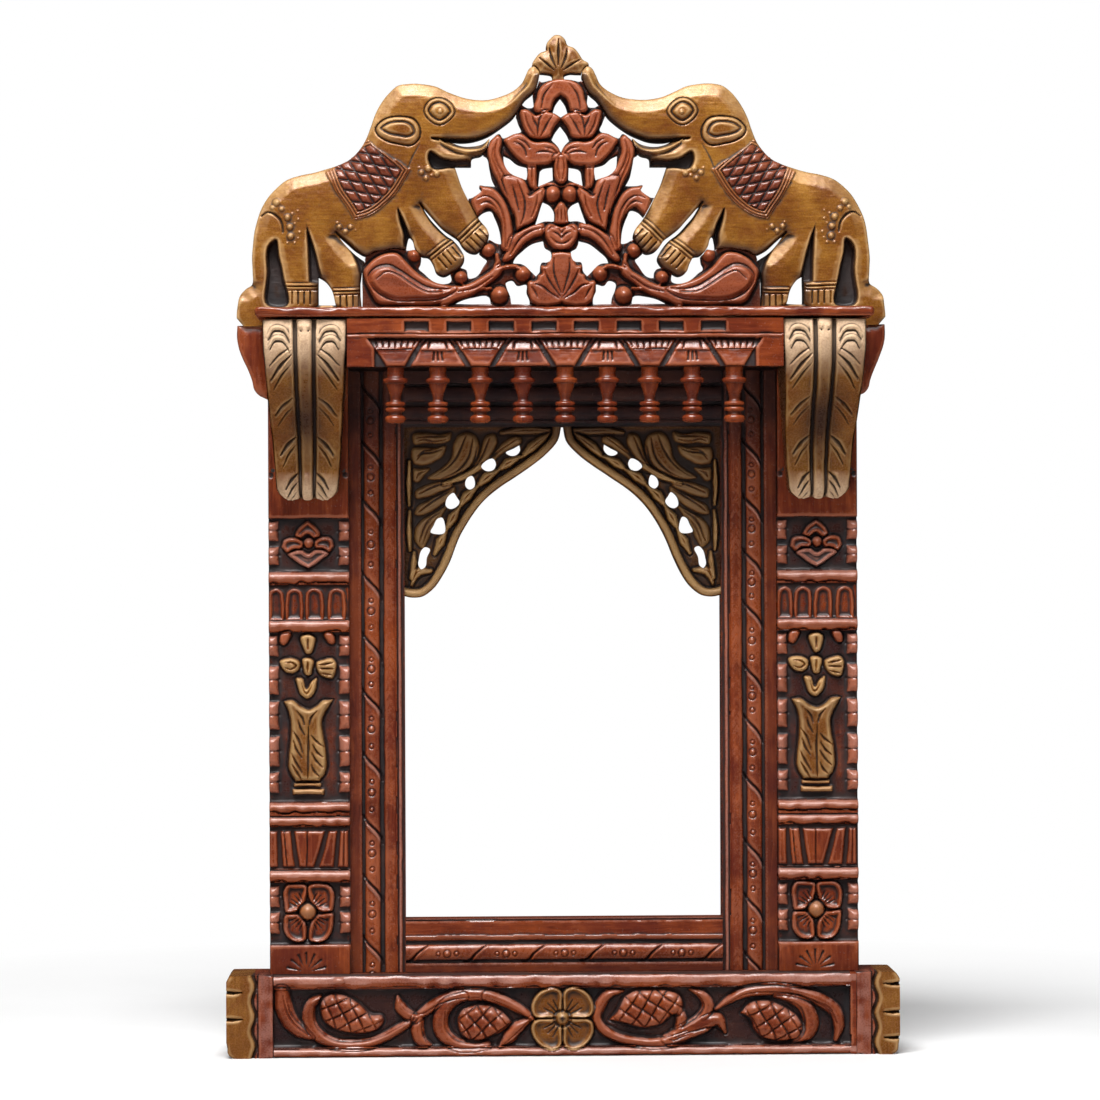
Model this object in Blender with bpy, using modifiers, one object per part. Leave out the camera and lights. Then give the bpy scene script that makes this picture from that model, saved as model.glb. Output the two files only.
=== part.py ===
"""A carved wooden jharokha wall frame, built as the separate pieces that a joiner would make.

Metres, +Z up. The wall is the plane y = 0 and the frame stands in front of it, towards -Y.
The origin lies on the wall, at the middle of the back of the head rail.
"""

import math

import bmesh
import bpy
from mathutils import Euler, Vector

# Fits that all pieces share
GAP = 0.0003
RUN_IN = 0.0006
OVERRUN = 0.003

# Window frame
OPENING_WIDTH = 0.190
OPENING_HEIGHT = 0.2955
FRAME_FACE = 0.033
SILL_FACE = 0.031
FRAME_DEPTH = 0.024
REBATE_WIDTH = 0.005
REBATE_DEPTH = 0.006
TENON_LENGTH = 0.018
TENON_THICKNESS = 0.008
TENON_HEIGHT = 0.018
TENON_BACK = 0.010
FILLET_WIDTH = 0.0072
GROOVE_WIDTH = 0.0016
GROOVE_DEPTH = 0.0022
ROPE_WIDTH = 0.0094
EDGE_WIDTH = 0.0054
EDGE_DROP = 0.005

# Pillars
PILLAR_WIDTH = 0.0477
PILLAR_DEPTH = 0.030
PANEL_DEPTH = 0.004
PANEL_MARGIN = 0.0055
RIB_RADIUS = 0.0034
CARVING_RISE = 0.0032

# Plinth
PLINTH_OVERHANG = 0.025
PLINTH_HEIGHT = 0.0484
PLINTH_DEPTH = 0.040
PLINTH_END_WIDTH = 0.0276
PLINTH_LEDGE = 0.0065
PLINTH_BEAD = 0.0055
PLINTH_PANEL_DEPTH = 0.005
NOTCH_WIDTH = 0.0018
NOTCH_DEPTH = 0.006

# Canopy
CANOPY_DEPTH = 0.088
SHELF_END_OVERHANG = 0.00555
SHELF_THICKNESS = 0.0076
SHELF_OVERHANG = 0.002
FASCIA_HEIGHT = 0.028
FASCIA_THICKNESS = 0.0145
FASCIA_CARVING = 0.0025
DENTIL_HEIGHT = 0.0094
DENTIL_WIDTH = 0.010
LEDGE_HEIGHT = 0.0018
SOFFIT_THICKNESS = 0.006
BACK_BOARD_THICKNESS = 0.018
PENDANT_COUNT = 9
PENDANT_PITCH = 0.0248
PENDANT_LENGTH = 0.0327
PENDANT_RADIUS = 0.0073
SPIGOT_RADIUS = 0.0022
SPIGOT_LENGTH = 0.007

# Brackets and the shaped boards beside them
BRACKET_WIDTH = 0.049
BRACKET_FOOT_WIDTH = 0.0352
BRACKET_HEIGHT = 0.1045
BRACKET_GROOVE_WIDTH = 0.0022
BRACKET_GROOVE_DEPTH = 0.0016
BRACKET_RIB_WIDTH = 0.0075
EAR_WIDTH = 0.0186
EAR_HEIGHT = 0.0445
EAR_THICKNESS = 0.018

# Crown
CROWN_HEIGHT = 0.1758
CROWN_THICKNESS = 0.020
CROWN_CARVING = 0.0025
FINIAL_WIDTH = 0.0342
FINIAL_HEIGHT = 0.0292
FINIAL_THICKNESS = 0.014

# Spandrels
SPANDREL_HEIGHT = 0.1026
SPANDREL_THICKNESS = 0.012
SPANDREL_BACK = 0.007

# Fastenings
DOWEL_RADIUS = 0.003
DOWEL_HALF_LENGTH = 0.010
PLATE_WIDTH = 0.014
PLATE_HEIGHT = 0.046
PLATE_THICKNESS = 0.002
PLATE_DROP = 0.031
HANG_HOLE_RADIUS = 0.0035
HOOK_POCKET_DEPTH = 0.010
SCREW_RADIUS = 0.0015
SCREW_HEAD_RADIUS = 0.003
SCREW_LENGTH = 0.014
PIN_RADIUS = 0.0012
PIN_LENGTH = 0.012

# Places that follow from the sizes above
FRAME_INNER = OPENING_WIDTH / 2
FRAME_OUTER = FRAME_INNER + FRAME_FACE
HEAD_TOP = FRAME_FACE / 2
OPENING_TOP = -FRAME_FACE / 2
OPENING_BOTTOM = OPENING_TOP - OPENING_HEIGHT
FRAME_BOTTOM = OPENING_BOTTOM - SILL_FACE
PLINTH_TOP = FRAME_BOTTOM - GAP
PILLAR_INNER = FRAME_OUTER + GAP
PILLAR_OUTER = PILLAR_INNER + PILLAR_WIDTH
PILLAR_CENTRE = (PILLAR_INNER + PILLAR_OUTER) / 2
PLINTH_HALF_WIDTH = PILLAR_OUTER + PLINTH_OVERHANG
FASCIA_BOTTOM = HEAD_TOP + GAP
FASCIA_TOP = FASCIA_BOTTOM + FASCIA_HEIGHT
SHELF_BOTTOM = FASCIA_TOP + GAP
PILLAR_TOP = SHELF_BOTTOM - GAP
PILLAR_HEIGHT = PILLAR_TOP - FRAME_BOTTOM
FASCIA_FRONT = CANOPY_DEPTH - SHELF_OVERHANG
FASCIA_BACK = FASCIA_FRONT - FASCIA_THICKNESS
PENDANT_DEPTH = (FASCIA_FRONT + FASCIA_BACK) / 2
BRACKET_BACK = PILLAR_DEPTH + GAP
BRACKET_INNER = PILLAR_CENTRE - BRACKET_WIDTH / 2
SHELF_HALF_WIDTH = PILLAR_CENTRE + BRACKET_WIDTH / 2 + SHELF_END_OVERHANG
CANOPY_HALF = min(BRACKET_INNER, PILLAR_INNER) - GAP
CROWN_HALF_WIDTH = PILLAR_OUTER + GAP + EAR_WIDTH
CROWN_MIDDLE = CROWN_THICKNESS / 2

# Finishes: colour, roughness, metallic
GOLD_PAINT = ((0.33, 0.17, 0.035, 1), 0.42, 0.25)
RED_VARNISH = ((0.20, 0.035, 0.014, 1), 0.32, 0)
DARK_VARNISH = ((0.10, 0.022, 0.012, 1), 0.4, 0)
BARE_WOOD = ((0.45, 0.30, 0.17, 1), 0.7, 0)
STEEL = ((0.52, 0.52, 0.53, 1), 0.4, 1)

# Outlines of the left half of the crown, as shares of its half width and of its height
ELEPHANT_SHARES = [
    (1.000, 0.000), (0.997, 0.067), (0.991, 0.101), (0.973, 0.125), (0.954, 0.138), (0.951, 0.179),
    (0.953, 0.230), (0.948, 0.285), (0.942, 0.333), (0.933, 0.370), (0.918, 0.407), (0.896, 0.445),
    (0.872, 0.472), (0.845, 0.496), (0.799, 0.512), (0.759, 0.520), (0.723, 0.532), (0.686, 0.545),
    (0.649, 0.565), (0.625, 0.593), (0.604, 0.626), (0.588, 0.667), (0.573, 0.715), (0.552, 0.759),
    (0.527, 0.793), (0.503, 0.817), (0.466, 0.823), (0.424, 0.823), (0.387, 0.816), (0.348, 0.795),
    (0.308, 0.777), (0.265, 0.769), (0.223, 0.770), (0.180, 0.781), (0.143, 0.802), (0.119, 0.827),
    (0.107, 0.854), (0.095, 0.878), (0.082, 0.885), (0.067, 0.864), (0.070, 0.830), (0.085, 0.796),
    (0.110, 0.772), (0.128, 0.742), (0.146, 0.711), (0.171, 0.688), (0.204, 0.662), (0.238, 0.644),
    (0.271, 0.630), (0.314, 0.627), (0.351, 0.633), (0.326, 0.617), (0.296, 0.608), (0.265, 0.610),
    (0.241, 0.618), (0.220, 0.637), (0.229, 0.603), (0.247, 0.582), (0.274, 0.572), (0.277, 0.545),
    (0.329, 0.546), (0.320, 0.511), (0.308, 0.474), (0.290, 0.433), (0.268, 0.388), (0.247, 0.350),
    (0.229, 0.326), (0.223, 0.302), (0.241, 0.268), (0.262, 0.245), (0.284, 0.248), (0.305, 0.269),
    (0.317, 0.290), (0.341, 0.310), (0.369, 0.334), (0.396, 0.369), (0.433, 0.413), (0.415, 0.379),
    (0.387, 0.341), (0.357, 0.307), (0.332, 0.282), (0.311, 0.259), (0.299, 0.224), (0.314, 0.197),
    (0.338, 0.180), (0.363, 0.167), (0.384, 0.177), (0.396, 0.208), (0.412, 0.232), (0.430, 0.236),
    (0.451, 0.263), (0.460, 0.294), (0.470, 0.303), (0.476, 0.284), (0.479, 0.257), (0.515, 0.262),
    (0.546, 0.257), (0.576, 0.251), (0.601, 0.237), (0.631, 0.251), (0.665, 0.282), (0.695, 0.312),
    (0.665, 0.269), (0.634, 0.238), (0.607, 0.217), (0.616, 0.186), (0.616, 0.000),
]
LEG_GAP_SHARES = [
    (0.750, 0.167), (0.729, 0.151), (0.710, 0.126), (0.695, 0.068), (0.750, 0.068),
]
BLANKET_SHARES = [
    (0.726, 0.508), (0.650, 0.545), (0.598, 0.618), (0.463, 0.523), (0.490, 0.470), (0.555, 0.400),
    (0.601, 0.365), (0.637, 0.355),
]
TUSK_SHARES = [
    (0.360, 0.618), (0.326, 0.611), (0.296, 0.603), (0.265, 0.604), (0.241, 0.612), (0.226, 0.626),
    (0.236, 0.604), (0.251, 0.589), (0.274, 0.578), (0.320, 0.578), (0.360, 0.592),
]
FRONT_CUFF_SHARES = [
    (0.262, 0.358), (0.226, 0.326), (0.222, 0.304), (0.322, 0.281), (0.340, 0.305),
]
MIDDLE_CUFF_SHARES = [
    (0.409, 0.231), (0.340, 0.283), (0.314, 0.262), (0.300, 0.232), (0.393, 0.200),
]
REAR_CUFF_SHARES = [
    (0.840, 0.135), (0.762, 0.135), (0.762, 0.094), (0.840, 0.094),
]
HIND_CUFF_SHARES = [
    (0.690, 0.118), (0.625, 0.128), (0.622, 0.082), (0.683, 0.078),
]
EAR_CENTRE_SHARES = (0.503, 0.668)
EAR_RADIUS_SHARES = (0.058, 0.045)
EYE_CENTRE_SHARES = (0.375, 0.727)
EYE_RADIUS_SHARES = (0.040, 0.040)

# Centre tracery: one outline, and the openings in its left half
TRACERY_TOP_SHARE = 0.832
TRACERY_SHARES = [
    (0.614, 0.000), (0.614, 0.186), (0.588, 0.295), (0.424, 0.499), (0.424, 0.738), (0.271, 0.729),
    (0.165, 0.752), (0.113, 0.820), (0.082, 0.844), (0.058, 0.830), (0.034, TRACERY_TOP_SHARE),
]
TRACERY_OPENING_SHARES = [
    [(0.055, 0.870), (0.037, 0.870), (0.037, 0.837), (0.055, 0.824), (0.074, 0.808)],
    [(0.090, 0.800), (0.084, 0.776), (0.085, 0.745), (0.107, 0.743), (0.126, 0.760), (0.107, 0.792)],
    [
        (0.143, 0.728), (0.131, 0.694), (0.120, 0.663), (0.149, 0.650), (0.180, 0.640),
        (0.189, 0.654), (0.213, 0.628), (0.241, 0.605), (0.296, 0.595), (0.363, 0.620),
        (0.355, 0.641), (0.271, 0.652), (0.210, 0.680), (0.171, 0.712),
    ],
    [
        (0.177, 0.585), (0.159, 0.575), (0.137, 0.554), (0.104, 0.544), (0.102, 0.520),
        (0.107, 0.496), (0.134, 0.503), (0.159, 0.517), (0.174, 0.544),
    ],
    [(0.061, 0.533), (0.024, 0.545), (0.023, 0.495), (0.049, 0.482), (0.070, 0.472), (0.067, 0.502)],
    [
        (0.280, 0.590), (0.229, 0.582), (0.220, 0.538), (0.210, 0.497), (0.198, 0.473),
        (0.229, 0.473), (0.253, 0.475), (0.244, 0.460), (0.271, 0.436), (0.305, 0.430),
        (0.340, 0.477), (0.345, 0.559),
    ],
    [
        (0.055, 0.425), (0.034, 0.413), (0.021, 0.393), (0.021, 0.352), (0.055, 0.352),
        (0.082, 0.339), (0.070, 0.376),
    ],
    [
        (0.055, 0.291), (0.049, 0.267), (0.030, 0.253), (0.037, 0.215), (0.061, 0.212),
        (0.067, 0.182), (0.079, 0.165), (0.095, 0.182), (0.119, 0.206), (0.149, 0.210),
        (0.143, 0.230), (0.119, 0.257), (0.088, 0.281),
    ],
    [
        (0.272, 0.372), (0.235, 0.391), (0.216, 0.394), (0.204, 0.370), (0.189, 0.326),
        (0.183, 0.275), (0.201, 0.278), (0.220, 0.289), (0.245, 0.285), (0.262, 0.333),
    ],
    [
        (0.345, 0.305), (0.300, 0.290), (0.259, 0.251), (0.241, 0.234), (0.229, 0.224),
        (0.241, 0.197), (0.265, 0.163), (0.287, 0.160), (0.293, 0.187), (0.320, 0.197),
        (0.325, 0.240),
    ],
    [(0.451, 0.424), (0.409, 0.403), (0.363, 0.355), (0.320, 0.300), (0.326, 0.276), (0.400, 0.335)],
    [
        (0.171, 0.145), (0.149, 0.155), (0.134, 0.138), (0.107, 0.141), (0.107, 0.114),
        (0.098, 0.086), (0.098, 0.069), (0.155, 0.070), (0.159, 0.097), (0.168, 0.121),
    ],
    [(0.317, 0.081), (0.271, 0.098), (0.223, 0.098), (0.216, 0.070), (0.332, 0.071)],
    [(0.490, 0.325), (0.448, 0.318), (0.440, 0.260), (0.473, 0.249), (0.490, 0.254)],
    [
        (0.434, 0.250), (0.395, 0.235), (0.376, 0.184), (0.345, 0.180), (0.341, 0.146),
        (0.363, 0.140), (0.393, 0.147), (0.424, 0.174), (0.442, 0.195), (0.440, 0.220),
    ],
]
TRACERY_MIDDLE_OPENING_SHARES = [
    [(0.000, 0.782), (-0.026, 0.734), (0.000, 0.708), (0.026, 0.734)],
    [(0.000, 0.686), (-0.038, 0.628), (0.000, 0.585), (0.038, 0.628)],
]
PAISLEY_SHARES = [
    (0.606, 0.170), (0.588, 0.205), (0.545, 0.222), (0.500, 0.195), (0.440, 0.160), (0.360, 0.125),
    (0.300, 0.118), (0.330, 0.100), (0.440, 0.078), (0.560, 0.080), (0.598, 0.110),
]
PALMETTE_SHARES = [
    (0.108, 0.085), (0.116, 0.125), (0.096, 0.160), (0.080, 0.150), (0.066, 0.190), (0.046, 0.205),
    (0.030, 0.252), (-0.030, 0.252), (-0.046, 0.205), (-0.066, 0.190), (-0.080, 0.150),
    (-0.096, 0.160), (-0.116, 0.125), (-0.108, 0.085),
]
FLAME_SHARES = [
    (0.196, 0.648), (0.232, 0.560), (0.214, 0.480), (0.186, 0.430), (0.166, 0.345), (0.100, 0.350),
    (0.072, 0.440), (0.120, 0.480), (0.166, 0.510), (0.190, 0.560),
]
BERRY_SHARES = [(0.031, 0.449), (0.122, 0.167), (0.202, 0.106), (0.220, 0.253), (0.306, 0.160)]
BERRY_RADIUS_SHARE = 0.024

# Finial, spandrel and ear outlines, as shares of their own width and height
FINIAL_SHARES = [
    (1.000, 0.260), (1.000, 0.406), (0.895, 0.510), (0.719, 0.635), (0.509, 0.698), (0.509, 0.802),
    (0.368, 0.927), (0.100, 1.000), (-0.158, 0.906), (-0.228, 0.802), (-0.474, 0.740),
    (-0.649, 0.615), (-0.789, 0.490), (-0.965, 0.427), (-1.000, 0.323), (-0.895, 0.240),
    (-0.579, 0.212), (-0.298, 0.222), (-0.220, 0.167), (-0.220, 0.000), (0.220, 0.000),
    (0.220, 0.167), (0.614, 0.228),
]
SPANDREL_SHARES = [
    (1.000, 0.000), (0.016, 0.000), (0.041, -0.076), (0.110, -0.151), (0.218, -0.221),
    (0.331, -0.290), (0.438, -0.360), (0.533, -0.441), (0.603, -0.528), (0.659, -0.630),
    (0.697, -0.744), (0.754, -0.858), (0.823, -0.947), (0.890, -0.988), (0.956, -0.993),
    (1.000, -0.975),
]
SPANDREL_OPENING_SHARES = [
    [(0.356, -0.150), (0.306, -0.121), (0.268, -0.101), (0.265, -0.133), (0.293, -0.162)],
    [(0.514, -0.230), (0.476, -0.190), (0.438, -0.181), (0.420, -0.213), (0.438, -0.248)],
    [(0.615, -0.317), (0.596, -0.288), (0.571, -0.280), (0.552, -0.318), (0.590, -0.361)],
    [(0.741, -0.433), (0.691, -0.381), (0.653, -0.434), (0.685, -0.469), (0.716, -0.474)],
    [(0.836, -0.614), (0.792, -0.532), (0.767, -0.527), (0.748, -0.562), (0.748, -0.615)],
    [(0.915, -0.812), (0.893, -0.713), (0.842, -0.707), (0.861, -0.760), (0.874, -0.818)],
]
SPANDREL_RIM_SHARES = [
    (0.060, -0.060), (0.120, -0.140), (0.225, -0.210), (0.338, -0.278), (0.446, -0.350),
    (0.543, -0.432), (0.612, -0.520), (0.669, -0.624), (0.708, -0.740), (0.764, -0.852),
    (0.830, -0.934), (0.892, -0.970), (0.950, -0.975), (0.950, -0.935), (0.900, -0.930),
    (0.855, -0.890), (0.800, -0.815), (0.755, -0.715), (0.715, -0.600), (0.655, -0.490),
    (0.585, -0.400), (0.480, -0.315), (0.365, -0.240), (0.255, -0.175), (0.160, -0.105),
    (0.105, -0.045),
]
SPANDREL_LEAF_SHARES = [
    [(0.930, -0.060), (0.640, -0.040), (0.420, -0.070), (0.560, -0.170), (0.700, -0.230), (0.900, -0.200)],
    [(0.950, -0.270), (0.760, -0.290), (0.760, -0.400), (0.870, -0.470), (0.950, -0.420)],
    [(0.950, -0.500), (0.880, -0.510), (0.870, -0.640), (0.910, -0.700), (0.950, -0.650)],
]
EAR_SHARES = [
    (0.000, 0.000), (1.000, 0.000), (1.000, -0.147), (0.935, -0.307), (0.806, -0.453),
    (0.645, -0.600), (0.516, -0.747), (0.452, -0.853), (0.323, -0.930), (0.161, -0.985),
    (0.000, -1.000),
]

# Bracket side view, as shares of its reach and, from the top, of its height
BRACKET_PROFILE_SHARES = [
    (0.93, 0.00), (0.99, 0.07), (1.00, 0.15), (0.96, 0.24), (0.86, 0.34), (0.70, 0.44), (0.52, 0.54),
    (0.37, 0.64), (0.27, 0.74), (0.23, 0.83), (0.25, 0.90), (0.24, 0.95), (0.18, 0.985), (0.08, 1.00),
]

# Pendant profile, as shares of its greatest radius and, from the top, of its length
PENDANT_PROFILE_SHARES = [
    (0.70, 0.00), (0.70, 0.17), (1.00, 0.20), (1.00, 0.25), (0.66, 0.30), (0.42, 0.52), (0.46, 0.60),
    (0.80, 0.63), (0.80, 0.68), (0.58, 0.70), (0.58, 0.72), (0.80, 0.74), (0.80, 0.79), (0.58, 0.81),
    (0.58, 0.86), (0.84, 0.90), (0.84, 0.95), (0.60, 1.00),
]

# Pillar bands, as shares of its height from the foot: the sunk panels and the ribs between them
PANEL_SHARES = {
    "square_flower": (0.045, 0.139),
    "flutes": (0.163, 0.221),
    "vase": (0.266, 0.523),
    "tongues": (0.548, 0.595),
    "star_flower": (0.620, 0.698),
}
RIB_SHARES = (0.150, 0.233, 0.254, 0.534, 0.607)
VASE_SHARES = [
    (-0.33, 0.02), (0.33, 0.02), (0.33, 0.08), (0.27, 0.10), (0.38, 0.20), (0.30, 0.50), (0.48, 0.55),
    (0.48, 0.60), (0.13, 0.605), (0.24, 0.72), (0.52, 0.74), (0.40, 0.84), (0.14, 0.86), (0.16, 0.93),
    (0.00, 0.99), (-0.16, 0.93), (-0.14, 0.86), (-0.40, 0.84), (-0.52, 0.74), (-0.24, 0.72),
    (-0.13, 0.605), (-0.48, 0.60), (-0.48, 0.55), (-0.30, 0.50), (-0.38, 0.20), (-0.27, 0.10),
    (-0.33, 0.08),
]
TONGUE_PLACE_SHARES = (-0.66, -0.22, 0.22, 0.66)
TONGUE_WIDTH_SHARE = 0.30
FLUTE_SHARES = [(-0.16, 0.92), (0.16, 0.92), (0.05, 0.12), (-0.05, 0.12)]
FLUTE_PLACE_SHARES = (-0.62, 0.00, 0.62)
FLOWER_SIZE_SHARE = 0.92
BOSS_SIZE_SHARE = 0.34

# Plinth carving, as shares of half the panel's width and of half its height
CONE_PLACE_SHARES = ((-0.74, 0.02), (-0.32, -0.16), (0.36, 0.16), (0.76, 0.00))
CONE_SIZE_SHARES = (0.12, 0.62)
STEM_SHARES = [
    [(-0.97, -0.62), (-0.86, 0.70), (-0.70, 0.74), (-0.58, 0.20)],
    [(-0.62, -0.78), (-0.54, 0.30), (-0.34, 0.80), (-0.18, 0.30)],
    [(0.18, -0.20), (0.30, -0.66), (0.50, -0.60), (0.60, 0.30)],
    [(0.58, -0.50), (0.66, 0.60), (0.84, 0.74), (0.96, -0.30)],
]
STEM_RADIUS = 0.0018

# Other counts and shares
NOTCH_PLACE_SHARES = (0.22, 0.50, 0.78)
SIDE_DOWEL_SHARES = (0.20, 0.72)
ELEPHANT_DOWEL_SHARE = 0.80
TRACERY_DOWEL_SHARE = 0.06
PLATE_SCREW_SHARES = (-0.32, 0.02)
HANG_HOLE_SHARE = 0.30
PIN_PLACE_SHARE = 0.775
PIN_SIDE_SHARE = 0.44
CHEVRON_TOP_SHARE = 0.24
CHEVRON_BOTTOM_SHARE = 0.74
TONGUE_MARGIN_SHARE = 0.10
PETAL_DIP_SHARE = 0.55
WELD_SHARE = 0.001
TURNED_STEPS = 12
ROUND_SIDES = 16
SMALL_SIDES = 12
PETAL_STEPS = 8
ARC_STEPS = 6
TRUNK_TIP_FIRST = 34
TRUNK_TIP_LAST = 45
SMOOTH_ANGLE = math.radians(35)
FLAT_ANGLE = math.radians(0.1)


def clear_scene():
    for obj in list(bpy.data.objects):
        bpy.data.objects.remove(obj)


def new_collection(name, hidden):
    collection = bpy.data.collections.new(name)
    collection.hide_render = hidden
    bpy.context.scene.collection.children.link(collection)
    return collection


def finish(name, look):
    """A Principled material from one of the finishes above."""
    colour, roughness, metallic = look
    material = bpy.data.materials.new(name)
    material.use_nodes = True
    shader = material.node_tree.nodes["Principled BSDF"]
    shader.inputs["Base Color"].default_value = colour
    shader.inputs["Roughness"].default_value = roughness
    shader.inputs["Metallic"].default_value = metallic
    material.diffuse_color = colour
    return material


clear_scene()
PARTS = new_collection("jharokha_wall_frame", False)
CUTTERS = new_collection("cutters", True)
GOLD = finish("gold_paint", GOLD_PAINT)
RED = finish("red_varnish", RED_VARNISH)
DARK = finish("dark_varnish", DARK_VARNISH)
WOOD = finish("bare_wood", BARE_WOOD)
METAL = finish("steel", STEEL)


# Shapes that go into a piece or are cut from it

def helper(name, data):
    shape = bpy.data.objects.new(name, data)
    CUTTERS.objects.link(shape)
    shape.display_type = "WIRE"
    shape.hide_render = True
    return shape


def block(across, deep, high):
    """A box from its ends across the wall, its distances from the wall and its heights."""
    shape = bmesh.new()
    bmesh.ops.create_cube(shape, size=1)
    size = (across[1] - across[0], deep[1] - deep[0], high[1] - high[0])
    middle = (sum(across) / 2, -sum(deep) / 2, sum(high) / 2)
    bmesh.ops.scale(shape, vec=size, verts=shape.verts)
    bmesh.ops.translate(shape, vec=middle, verts=shape.verts)
    mesh = bpy.data.meshes.new("block")
    shape.to_mesh(mesh)
    shape.free()
    return helper("block", mesh)


def rod(middle, radius, length, axis, sides=ROUND_SIDES):
    """A round bar with its middle at the given place, along X, Y or Z."""
    shape = bmesh.new()
    bmesh.ops.create_cone(
        shape, cap_ends=True, segments=sides, radius1=radius, radius2=radius, depth=length
    )
    turn = {"X": Euler((0, math.pi / 2, 0)), "Y": Euler((math.pi / 2, 0, 0)), "Z": Euler()}[axis]
    bmesh.ops.rotate(shape, matrix=turn.to_matrix(), verts=shape.verts)
    bmesh.ops.translate(shape, vec=middle, verts=shape.verts)
    mesh = bpy.data.meshes.new("rod")
    shape.to_mesh(mesh)
    shape.free()
    return helper("rod", mesh)


def dome(middle, radii):
    """A ball stretched to the three radii."""
    shape = bmesh.new()
    bmesh.ops.create_uvsphere(shape, u_segments=8, v_segments=6, radius=1)
    bmesh.ops.scale(shape, vec=radii, verts=shape.verts)
    bmesh.ops.translate(shape, vec=middle, verts=shape.verts)
    mesh = bpy.data.meshes.new("dome")
    shape.to_mesh(mesh)
    shape.free()
    return helper("dome", mesh)


def mesh_of(curve):
    """The closed mesh of a curve object, which it takes the place of."""
    bpy.context.view_layer.update()
    graph = bpy.context.evaluated_depsgraph_get()
    mesh = bpy.data.meshes.new_from_object(curve.evaluated_get(graph))
    shape = bmesh.new()
    shape.from_mesh(mesh)
    bmesh.ops.transform(shape, matrix=curve.matrix_world, verts=shape.verts)
    bmesh.ops.remove_doubles(shape, verts=shape.verts, dist=OVERRUN * WELD_SHARE)
    bmesh.ops.recalc_face_normals(shape, faces=shape.faces)
    bmesh.ops.dissolve_limit(shape, angle_limit=FLAT_ANGLE, verts=shape.verts, edges=shape.edges)
    shape.to_mesh(mesh)
    shape.free()
    bpy.data.objects.remove(curve)
    return mesh



def board(outlines, deep, sideways=False):
    """A flat board sawn to outlines drawn across the wall, or, sideways, in its side view."""
    curve = bpy.data.curves.new("outline", "CURVE")
    curve.dimensions = "2D"
    curve.fill_mode = "BOTH"
    curve.extrude = abs(deep[1] - deep[0]) / 2
    for outline in outlines:
        spline = curve.splines.new("POLY")
        spline.points.add(len(outline) - 1)
        for point, (along, up) in zip(spline.points, outline):
            point.co = (along, up, 0, 1)
        spline.use_cyclic_u = True
    obj = bpy.data.objects.new("outline", curve)
    bpy.context.scene.collection.objects.link(obj)
    middle = sum(deep) / 2
    if sideways:
        obj.rotation_euler = (math.pi / 2, 0, -math.pi / 2)
        obj.location = (middle, 0, 0)
    else:
        obj.rotation_euler = (math.pi / 2, 0, 0)
        obj.location = (0, -middle, 0)
    return helper("board", mesh_of(obj))


def stem(points, radius, depth):
    """A round tendril that lies along the points, at one distance from the wall."""
    curve = bpy.data.curves.new("stem", "CURVE")
    curve.dimensions = "3D"
    curve.bevel_depth = radius
    curve.bevel_resolution = 0
    curve.use_fill_caps = True
    curve.resolution_u = 3
    spline = curve.splines.new("BEZIER")
    spline.bezier_points.add(len(points) - 1)
    for point, (across, up) in zip(spline.bezier_points, points):
        point.co = (across, -depth, up)
        point.handle_left_type = "AUTO"
        point.handle_right_type = "AUTO"
    obj = bpy.data.objects.new("stem", curve)
    bpy.context.scene.collection.objects.link(obj)
    return helper("stem", mesh_of(obj))


def turned(profile):
    """A round piece turned from its profile of radii and heights, listed from the top down."""
    mesh = bpy.data.meshes.new("profile")
    points = [(radius, 0, height) for radius, height in profile]
    mesh.from_pydata(points, [(i, i + 1) for i in range(len(points) - 1)], [])
    shape = helper("turned", mesh)
    screw = shape.modifiers.new("Screw", "SCREW")
    screw.steps = TURNED_STEPS
    screw.render_steps = TURNED_STEPS
    screw.use_merge_vertices = True
    screw.merge_threshold = OVERRUN * WELD_SHARE
    return shape


def piece(name, body, look, joined=(), cut=(), rounded=False):
    """Joins shapes to a body, cuts others away, and files the result as one named piece."""
    for shapes, operation in ((joined, "UNION"), (cut, "DIFFERENCE")):
        for shape in shapes:
            step = body.modifiers.new(operation.title(), "BOOLEAN")
            step.operation = operation
            step.solver = "EXACT"
            step.object = shape
    bpy.context.view_layer.update()
    graph = bpy.context.evaluated_depsgraph_get()
    mesh = bpy.data.meshes.new_from_object(body.evaluated_get(graph))
    mesh.transform(body.matrix_world)
    mesh.name = name
    mesh.materials.clear()
    mesh.materials.append(look)
    result = bpy.data.objects.new(name, mesh)
    PARTS.objects.link(result)
    if rounded:
        mesh.shade_smooth()
        mesh.set_sharp_from_angle(angle=SMOOTH_ANGLE)
    for shape in (body, *joined, *cut):
        bpy.data.objects.remove(shape)
    return result


def again(name, source, place):
    """A further copy of a piece, with the same mesh, moved by the given step."""
    copy = bpy.data.objects.new(name, source.data)
    copy.location = source.location + Vector(place)
    PARTS.objects.link(copy)
    return copy


def scaled(shares, half_width, height, side=1, foot=0, middle=0):
    """Outline points in metres, on the left for side -1 and on the right for side 1."""
    return [(middle + side * across * half_width, foot + up * height) for across, up in shares]


def sides():
    """The two sides of the frame, as a name and a direction across."""
    return (("left", -1), ("right", 1))


def between(side, inner, outer):
    """The ends across of something that reaches from inner to outer on one side."""
    return tuple(sorted((side * inner, side * outer)))


# Window frame

def tenon_shape(side, height, clearance):
    """The tenon of a rail, or with a clearance the mortise for it."""
    return block(
        between(side, FRAME_INNER - OVERRUN, FRAME_INNER + TENON_LENGTH + clearance),
        (TENON_BACK - clearance, TENON_BACK + TENON_THICKNESS + clearance),
        (height - TENON_HEIGHT / 2 - clearance, height + TENON_HEIGHT / 2 + clearance),
    )


def dowel_hole(middle, axis, radius=DOWEL_RADIUS, half_length=DOWEL_HALF_LENGTH):
    return rod(middle, radius + GAP, 2 * (half_length + GAP), axis)


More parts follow.
